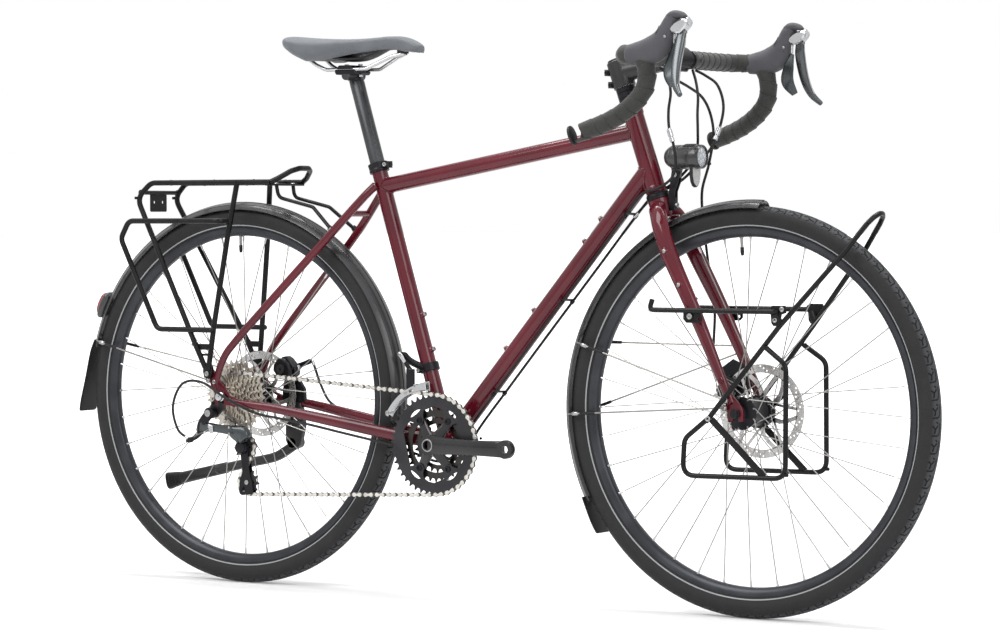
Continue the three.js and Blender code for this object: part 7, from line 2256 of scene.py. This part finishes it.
def makeRearLight():
    angle = math.radians(153.5)
    radial = Vector((math.cos(angle), 0, math.sin(angle)))
    along = Vector((-math.sin(angle), 0, math.cos(angle)))

    def spot(r, t):
        return rearAxle + radial * (352 + r) + along * t

    shell = Shape()
    run = flow([spot(9, -24), spot(11.5, -20), spot(12.6, 0), spot(11.5, 20), spot(9, 24)], 6)
    shell.sweep(run, flowPairs(rearLight["shellWides"], rearLight["shellTalls"], 6), 32, lead=across,
                power=3, soft=0.8)
    piece("rearLightShell", shell, guardPlastic, "frame", "black_paint", ["rear_light"])
    lens = Shape()
    run = flow([spot(18, -19.5), spot(20, -17), spot(21, 0), spot(20, 16), spot(18, 18.5)], 6)
    lens.sweep(run, flowPairs(rearLight["lensWides"], rearLight["lensTalls"], 6), 32, lead=across, power=3,
               soft=0.8)
    for k in range(5):
        t = -12 + k * 6
        lens.sweep([spot(26.4, t) - across * 9, spot(27.4, t), spot(26.4, t) + across * 9],
                   [(0.7, 0.9)] * 3, 8, lead=along)
    piece("rearLightLens", lens, redLens, "frame", "red_lens")
    base = Shape()
    run = [spot(4.5, -18), spot(7, -14), spot(7, 14), spot(4.5, 18)]
    base.sweep(run, rearLight["base"], 28, lead=across, power=3.4)
    piece("rearLightBase", base, cableRubber, "frame", "black_paint")


makeRearLight()


# Racks

rearRack = {
    "tube": 5, "z": 744, "half": 50,
    "rail": [(11, 60, 672), (6, 84, 673), (-205, 84, 673), (-224, 84, 640), (-139, 84, 472),
             (-12, 82, 472), (-14, 76, 472)],
    "foot": [(-34, 384), (-28, 382), (-20, 384), (-15, 394), (-16, 404), (-24, 412), (-34, 408),
             (-37, 396)],
    "windowTop": [(-52, 446), (-17, 446), (-18, 435), (-48, 435)],
    "windowMiddle": [(-45, 428), (-21, 428), (-20, 402), (-32, 402)],
    "windowLow": [(-39, 424), (-27, 424), (-26, 410), (-31, 410)],
    "brace": [(94, 26, 739), (98, 25, 716), (176, 26, 698), (227, 38, 655)],
    "tipHalves": [(2, 5), (2.4, 7), (1.8, 6)],
    "collar": [(0, 0), (5.6, 0), (6.3, 2.4), (5.6, 5.2), (0, 5.2)],
    "boss": [(4, 0), (5.4, 2.4), (5.6, 5)],
    "backPlate": [(-24, 692), (-22, 690), (22, 690), (24, 692), (24, 724), (22, 726), (-22, 726),
                  (-24, 724)],
    "topPlate": [(84, -48), (86, -50), (102, -50), (104, -48), (104, 48), (102, 50), (86, 50), (84, 48)],
}
frontRack = {
    "tube": 4.4,
    "lowLoop": [(1026, 74, 346), (976, 76, 306), (972, 76, 244), (1166, 76, 246), (1166, 74, 434),
                (1126, 69, 462)],
    "strut": [(1016, 75, 335), (1149, 64, 498), (1257, 36, 624), (1290, 24, 668)],
    "shelf": [(914, 76, 540), (908, 76, 522), (1146, 74, 522)],
    "frontTab": [(1132, 528), (1138, 532), (1162, 532), (1165, 526), (1163, 520), (1155, 517), (1153, 503),
                 (1149, 498), (1140, 498), (1136, 503), (1135, 516)],
    "rearTab": [(972, 519), (1004, 519), (1008, 513), (1008, 506), (1003, 501), (978, 501), (972, 507)],
    "collar": [(0, 0), (5, 0), (5.5, 2.4), (5, 5.2), (0, 5.2)],
    "topArch": [(1290, -24, 668), (1298, -17, 678), (1303, -6, 684), (1303, 6, 684), (1298, 17, 678),
                (1290, 24, 668)],
}


def tubeRun(shape, points, radius, corner, side=1, sides=18):
    shape.sweep(bend([sideOf(point, side) for point in points], corner, 6), radius, sides, soft=0.8)


def makeRearRack():
    shape = Shape()
    r, z, half = rearRack["tube"], rearRack["z"], rearRack["half"]
    for side in (-1, 1):
        tubeRun(shape, [(98, half, z), (-176, 53, z), (-206, 57, 716), (-53, 81, 446), (-28, 79, 396)], r,
                24, side)
        tubeRun(shape, [(23, half + 1, z), (10, 62, 650), (-14, 75, 478), (-24, 79, 398)], r, 30, side)
        tubeRun(shape, rearRack["rail"], r, 18, side)
        low, high = sorted((side * 73.8, side * 79.8))
        shape.plate(rearRack["foot"], low, high, [ringOf(14, 2.8, (-26, 391))], 0.6)
        low, high = sorted((side * 75.5, side * 79))
        shape.plate(rearRack["windowTop"], low, high, [], 0.5)
        shape.plate(rearRack["windowMiddle"], low, high, [rearRack["windowLow"]], 0.5)
        tubeRun(shape, rearRack["brace"], 3.4, 16, side)
        tip = sideOf((227, 38, 655), side)
        shape.sweep([tip + Vector((-7, 0, 6)), tip, tip + Vector((3, side * 1, -5))],
                    rearRack["tipHalves"], 18, lead=across, power=3)
        screw("frame", "socket", sideOf((226, 40.6, 656), side), across * side, 4.2, 3.2)
        screw("frame", "socket", sideOf((-26, 79.8, 391), side), across * side, 4.6, 3.6)
        for spot in ((23, 51, 744), (11, 60.4, 672), (-205, 57, 716), (-24, 79, 400), (-53, 81, 446)):
            shape.turn(sideOf(spot, side) - Vector((0, 0, 2.6)), (0, 0, 1), rearRack["collar"], 16, False)
    for x, height, reach in ((-198, 726, 56.6), (-130, z, 52), (-30, z, 51), (60, z, 50)):
        shape.rod((x, -reach, height), (x, reach, height), 4, sides=18)
        for side in (-1, 1):
            shape.turn(Vector((x, side * (reach - 5), height)), across * side, rearRack["boss"], 16)
    tubeRun(shape, [(98, -half, z), (112, -44, 751), (130, -30, 764), (138, -14, 769), (138, 14, 769),
                    (130, 30, 764), (112, 44, 751), (98, half, z)], r, 16)
    piece("rearRack", shape, rackPaint, "frame", "black_paint", ["rear_rack"])
    plates = Shape()
    outline = rearRack["backPlate"]
    plates.plate(outline, -202.2, -199, [ringOf(14, 3, (-12.5, 708)), ringOf(14, 3, (12.5, 708))], 0.5,
                 crosswise)
    outline = rearRack["topPlate"]
    slots = [[(90, y), (98, y), (98, y + 16), (90, y + 16)] for y in (-40, -8, 24)]
    plates.plate(outline, 737.4, 741, slots, 0.5, level)
    piece("rackPlates", plates, rackPaint, "frame", "black_paint")
    for y in (-26, 26):
        screw("frame", "dome", Vector((94, y, 741)), (0, 0, 1), 4.2, 2.4)


def makeFrontRack():
    shape = Shape()
    r = frontRack["tube"]
    for side in (-1, 1):
        tubeRun(shape, frontRack["lowLoop"], r, 22, side)
        tubeRun(shape, frontRack["strut"], r, 90, side)
        shape.sweep([sideOf((1027, 75, 340), side), sideOf((1076, 75, 294), side),
                     sideOf((1126, 75, 247), side)], [(1.5, 6)] * 3, 20, lead=across, power=4, soft=0.4)
        tubeRun(shape, frontRack["shelf"], r, 8, side)
        low, high = sorted((side * 66, side * 71))
        shape.plate(frontRack["frontTab"], low + 1.2, high - 1.2, [], 0.5)
        shape.sweep([sideOf((1142, 70, 518), side), sideOf((1150, 64, 502), side)], [(6, 7), (4, 6)], 20,
                    lead=across, power=3, soft=0.6)
        low, high = sorted((side * 70, side * 75))
        shape.plate(frontRack["rearTab"], low + 1, high - 1, [ringOf(12, 2.6, (1001, 508))], 0.5)
        shape.rod(sideOf((986, 72, 512), side), sideOf((984.6, 59.4, 512), side), 7.6, sides=26)
        screw("steering", "socket", sideOf((986, 75, 512), side), across * side, 5, 4)
        screw("steering", "socket", sideOf((1144, 70, 508), side), across * side, 4.2, 3.2)
        screw("steering", "socket", sideOf((1157, 70, 526), side), across * side, 4.2, 3.2)
        screw("steering", "socket", sideOf((1022, 76.6, 341), side), across * side, 4.8, 4)
        for spot in ((1166, 76, 252), (1146, 74, 522), (1126, 69.5, 462)):
            shape.turn(sideOf(spot, side) - Vector((0, 0, 2.6)), (0, 0, 1), frontRack["collar"], 16, False)
    tubeRun(shape, frontRack["topArch"], r, 14)
    piece("frontRack", shape, rackPaint, "steering", "black_paint", ["front_rack"])


makeRearRack()
makeFrontRack()
print("racks made")


# Kickstand

kickstand = {
    "mountOutline": [(50, 300), (48, 316), (54, 334), (68, 337), (84, 334), (91, 312), (92, 288),
                     (84, 256), (74, 246), (58, 248), (50, 262)],
    "mountBoss": [(0, 0), (9.4, 0), (10.4, 1), (10.4, 10.8), (0, 10.8)],
    "legHead": [(0, 0), (10.2, 0), (11, 0.8), (11, 16.6), (9.6, 17.8), (0, 18)],
    "legWides": [7.4, 8.6, 9.2, 9.2, 9.2],
    "legTalls": [9.4, 9.4, 9.2, 9.2, 9.2],
    "sleeve": [(0, 0), (9.8, 0), (10.2, 1), (10.2, 8), (9, 9.6), (0, 9.6)],
    "grooveHalves": [(8, 10.6), (8, 11), (8.2, 11.6)],
    "footHalves": [(9, 12.2), (9.8, 12.8), (11, 14.4), (12, 16.4)],
    "knob": [(0, -2), (5, -2), (5, 1.4), (4.2, 2.4), (0, 2.6)],
}


def makeKickstand():
    hinge = pivot("kickstand_swing")
    mount = Shape()
    outline = kickstand["mountOutline"]
    mount.plate(outline, 59, 69.8, [ringOf(12, 3.2, (60, 290)), ringOf(12, 3.2, (80, 290))], 1.4)
    mount.turn(hinge - across * 19, across, kickstand["mountBoss"], 32, False)
    piece("kickstandMount", mount, blackPaint, "frame", "black_paint", ["kickstand_mount"])
    for spot in ((62, 69.6, 322), (80, 69.6, 316), (70, 69.6, 286)):
        screw("frame", "socket", spot, across, 5, 4)
    leg = Shape()
    leg.turn(hinge - across * 7.6, across, kickstand["legHead"], 40, False)
    run = flow([hinge + across * 2, Vector((40, 80.4, 243)), Vector((12, 81, 229)),
                Vector((-50, 82.4, 215.5)), Vector((-120, 84, 200.4))], 6)
    leg.sweep(run, flowPairs(kickstand["legWides"], kickstand["legTalls"], 6), 32, lead=across, power=2.3,
              soft=0.8)
    way = (Vector((-238, 87, 174)) - Vector((-100, 84, 205))).normalized()
    leg.turn(Vector((-118, 84, 200.9)), way, kickstand["sleeve"], 32, False)
    leg.sweep([Vector((-104, 84.1, 204)), Vector((-170, 85.5, 189.3)), Vector((-226, 86.7, 176.8))],
              kickstand["grooveHalves"], 28, lead=across,
              power=2.8, soft=0.8)
    piece("kickstandLeg", leg, blackPaint, "kickstand", "black_paint", ["kickstand_leg"])
    start = Vector((-214, 86.5, 179.6))
    foot = Shape().sweep([start, start + way * 12, start + way * 24, start + way * 33],
                         kickstand["footHalves"], 32,
                         lead=across, power=3.2, soft=1.2)
    for k in range(3):
        foot.sweep([start + way * (10 + k * 7), start + way * (12 + k * 7)],
                   [(10.4 + k * 0.7, 13.8 + k * 0.8)] * 2, 32, lead=across, power=3.2, soft=0.8)
    piece("kickstandFoot", foot, cableRubber, "kickstand", "cable_housing")
    knob = Shape().turn(Vector((12, 91, 229)), across, kickstand["knob"], 22, False)
    piece("kickstandButton", knob, boltSteel, "kickstand", "steel")
    screw("kickstand", "socket", hinge + across * 10.2, across, 5.6, 2)


makeKickstand()


# Cable housings with end caps and clips

housing = 2.4
rearBrakeRun = [
    (923.5, 48, 930.9), (934, 40, 912), (946, 26, 885), (950, 17, 855), (950, 18, 826), (945, 26, 800),
    (935, 29, 775), (912, 30, 750), (888, 26, 731), (862, 21, 717), (828, 19, 680), (760, 18, 600),
    (700, 18, 530), (640, 18, 460), (560, 18, 366), (505, 20, 302), (484, 24, 272), (470, 28, 252),
    (440, 33, 243), (400, 37, 257), (372, 44, 277), (330, 50, 288), (258, 61.5, 303), (180, 70, 320),
    (140, 75.5, 337), (118, 79.5, 366), (armTip["rear"].x + 6, armTip["rear"].y, armTip["rear"].z + 1),
]
leftShiftRun = [
    (923.5, 58, 930.9), (940, 62, 922), (964, 62, 905), (977, 60, 870), (973, 55, 833), (963, 46, 800),
    (940, 35, 768), (914, 30, 743), (888, 27, 729), (862, 22, 715), (828, 15, 680),
]
rightShiftRun = [
    (923.5, -50, 930.9), (928, -44, 910), (930, -41, 888), (926, -41, 860), (927, -41, 830),
    (934, -38, 800), (935, -33, 768), (926, -29, 746), (900, -26, 729), (862, -21, 717), (828, -19, 680),
    (760, -18, 600), (700, -18, 530), (640, -18, 460), (560, -18, 366), (505, -18, 300), (484, -18, 270),
    (468, -17, 250), (440, -16, 243), (410, -20, 251), (372, -29, 265), (330, -37.5, 275), (258, -47, 289),
    (180, -56, 304), (120, -62, 313), (75, -72, 322), (20, -90, 350), (-30, -92, 376), (-76, -90, 372),
    (-100, -88, 330), (-90, -86, 286), (-66, -84, 269),
]
frontBrakeRun = [
    (923.5, -68, 930.9), (944, -60, 914), (956, -22, 898), (960, 16, 882), (961, 42, 856), (962, 52, 820),
    (950, 58, 770), (934, 62, 720), (938, 65, 650), (946, 65.5, 590), (957, 65.5, 520), (955, 65.5, 450),
    (armTip["front"].x - 1, armTip["front"].y, armTip["front"].z + 30),
]


def cap(shape, spot, way, radius=3.0, length=11):
    shape.turn(spot, way, [(0, -1), (radius, -1), (radius, length - 2), (radius - 0.8, length - 1),
                           (1.4, length), (0, length)], 18, False)


cableFittings = {
    "adjuster": [(0, -2), (3.4, -2), (3.4, 0), (4.5, 0.6), (4.5, 12.4), (3.4, 13), (3.4, 15), (4.2, 15.6),
                 (4.2, 21), (3.2, 22), (0, 22)],
    "clip": [(2.5, 0), (3.8, 0), (3.8, 6), (2.5, 6)],
    "band": [(2.5, 0), (3.6, 0), (3.6, 4), (2.5, 4)],
}


def makeCables():
    loom, front, ferrules, frontEnds, clipsShape = Shape(), Shape(), Shape(), Shape(), Shape()
    for run in (rearBrakeRun, leftShiftRun, rightShiftRun):
        line = flow(run, 7)
        loom.sweep(line, housing, 14, soft=0.3)
        cap(ferrules, line[-1] - (line[-1] - line[-3]).normalized() * 8, (line[-1] - line[-3]).normalized())
    line = flow(frontBrakeRun, 7)
    front.sweep(line, housing, 14, soft=0.3)
    cap(frontEnds, line[-1] - (line[-1] - line[-3]).normalized() * 10, (line[-1] - line[-3]).normalized())
    housings = shown("cableHousings", meshOf("cableHousings", loom, [cableRubber]))
    place((845, 0, 700))
    place((928, 0, 750))
    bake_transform(housings)
    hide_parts("cables")
    barrels = Shape()                   # adjusters in line with the two shift housings
    for start, end in (((927, -41, 827), (932.5, -38.8, 806)), ((972, 54.6, 831), (966, 48.8, 809))):
        way = Vector(end) - Vector(start)
        barrels.turn(start, way, cableFittings["adjuster"], 20, False)
    adjusters = shown("inlineAdjusters", meshOf("inlineAdjusters", barrels, [silverAlloy]))
    place((845, 0, 700))
    place((928, 0, 750))
    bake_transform(adjusters)
    piece("frontBrakeHousing", front, cableRubber, "steering", "cable_housing", ["front_brake_cable"])
    piece("cableFerrules", ferrules, silverAlloy, "frame", "silver_alloy")
    piece("frontCableEnd", frontEnds, silverAlloy, "steering", "silver_alloy")
    bare = Shape().rod(armTip["front"] + Vector((-1, 0, 31)), armTip["front"] + Vector((-0.6, 0, 3)), 0.8,
                       sides=8)
    piece("frontBrakeWire", bare, spokeSteel, "steering", "steel")
    for x, z in ((828, 681), (700, 531), (560, 367)):
        clipsShape.sweep([(x, -23, z - 0.5), (x, -18, z + 2.6), (x, 0, z + 3.4), (x, 18, z + 2.6),
                          (x, 23, z - 0.5)], [(2.6, 1.2)] * 5, 12, lead=downWay, soft=0.4)
        for y in (-18.5, 18.5):
            clipsShape.turn(Vector((x, y, z - 0.5)) - downWay * 3, downWay, cableFittings["clip"], 18)
    piece("cableClips", clipsShape, blackAlloy, "frame", "black_alloy")
    bands = Shape()
    for index in (5, 8):
        spot = Vector(frontBrakeRun[index + 1])
        bands.turn(spot - Vector((0, 0, 2)), (0.1, 0, 1), cableFittings["band"], 16)
    piece("forkCableClips", bands, cableRubber, "steering", "cable_housing")
    wire = Shape()
    guide = pivot("derailleur_outer_swing") + Vector((17, 6, -3))
    wire.sweep([Vector((-62, -84, 269)), Vector((-48, -89, 276)), Vector((guide.x, guide.y - 3, guide.z))],
               0.7, 8)
    piece("derailleurWire", wire, spokeSteel, "derailleur_knuckle", "steel")


makeCables()
print("cables made")


# Every noted screw is stood in its place

screwKinds = {"socket": (socketScrew, boltSteel), "dome": (domeHead, boltSteel), "nut": (hexNut, boltSteel),
              "black": (socketScrew, blackAlloy)}
for (body, kind), spots in screwLists.items():
    make, material = screwKinds[kind]
    name = body + kind.capitalize() + "Screws"
    dress(shown(name, stands(name, make(), spots, material)), body,
          "black_alloy" if kind == "black" else "steel")
print("screws stood:", sum(len(spots) for spots in screwLists.values()))


# Studio: a pale floor, a soft key light with a fill and a long strip, and the photo's view

studio = {
    "target": (561.9, 0, 495.4), "turn": 32.175, "lift": 1.889, "roll": -0.125, "distance": 5.7481,
    "lens": 117.03,
    "floor": linear(247, 247, 247), "floorGlow": 0.1, "glowFrom": 1.3, "glowTo": 4.0, "skyLevel": 0.46,
    "key": {"spot": (-1.6, -3.6, 4.4), "aim": (0, 0, 0.4), "size": (3.2, 3.2), "power": 185.0},
    "fill": {"spot": (4.2, -2.6, 2.4), "aim": (0, 0, 0.5), "size": (2.6, 2.6), "power": 65.0},
    "strip": {"spot": (0.0, 0.3, 3.6), "aim": (0, 0, 0.5), "size": (4.5, 0.6), "power": 110.0},
}


def floorPaint(graph, where):
    cloud = graph.noise(where, 3, 3)
    reach = graph.make("ShaderNodeVectorMath", {"operation": "LENGTH"}, {0: where}, "Value")
    seen = graph.make("ShaderNodeLightPath", None, None, "Is Camera Ray")
    glow = seen * graph.band(reach, studio["floorGlow"], 1.0, studio["glowFrom"], studio["glowTo"])
    return {
        "Base Color": studio["floor"],
        "Roughness": graph.band(cloud, 0.6, 0.66),
        "Emission Color": graph.mix(glow, (0, 0, 0, 1), (1, 1, 1, 1)),
        "Emission Strength": 1.0,
    }


def makeFloor():
    mesh = bpy.data.meshes.new("studioFloor")
    mesh.from_pydata([(-60, -60, 0), (60, -60, 0), (60, 90, 0), (-60, 90, 0)], [], [(0, 1, 2, 3)])
    mesh.materials.append(finish("floorPaper", floorPaint))
    shown("studioFloor", mesh)


def makeWorld():                        # plain white where it is seen, also in metal and glass
    world = bpy.data.worlds.new("softWhite")
    world.use_nodes = True
    graph = Graph(world.node_tree)
    backdrop = world.node_tree.nodes["Background"]
    ray = world.node_tree.nodes.new("ShaderNodeLightPath")
    seen = None
    for label in ("Is Camera Ray", "Is Glossy Ray", "Is Transmission Ray"):
        part = Wire(graph, ray.outputs[label])
        seen = part if seen is None else graph.maths("MAXIMUM", seen, part)
    backdrop.inputs["Color"].default_value = (1, 1, 1, 1)
    power = graph.band(seen, studio["skyLevel"], 1.0)
    world.node_tree.links.new(power.socket, backdrop.inputs["Strength"])
    bpy.context.scene.world = world


def makeLight(name):
    choice = studio[name]
    data = bpy.data.lights.new(name + "Light", "AREA")
    data.shape = "RECTANGLE"
    data.size, data.size_y = choice["size"]
    data.energy = choice["power"]
    lamp = shown(name + "Light", data)
    lamp.location = choice["spot"]
    way = Vector(choice["aim"]) - Vector(choice["spot"])
    lamp.rotation_euler = way.to_track_quat("-Z", "Y").to_euler()


def makeCamera():
    data = bpy.data.cameras.new("photoView")
    data.lens = studio["lens"]
    data.sensor_width = 36
    camera = shown("photoView", data)
    turn, lift = math.radians(studio["turn"]), math.radians(studio["lift"])
    way = Vector((math.sin(turn) * math.cos(lift), -math.cos(turn) * math.cos(lift), math.sin(lift)))
    target = place(studio["target"])
    camera.location = target + way * studio["distance"]
    roll = Matrix.Rotation(math.radians(studio["roll"]), 3, "Z")
    camera.rotation_euler = ((-way).to_track_quat("-Z", "Y").to_matrix() @ roll).to_euler()
    bpy.context.scene.camera = camera


makeFloor()
makeWorld()
for name in ("key", "fill", "strip"):
    makeLight(name)
makeCamera()
bpy.context.scene.view_settings.view_transform = "Standard"
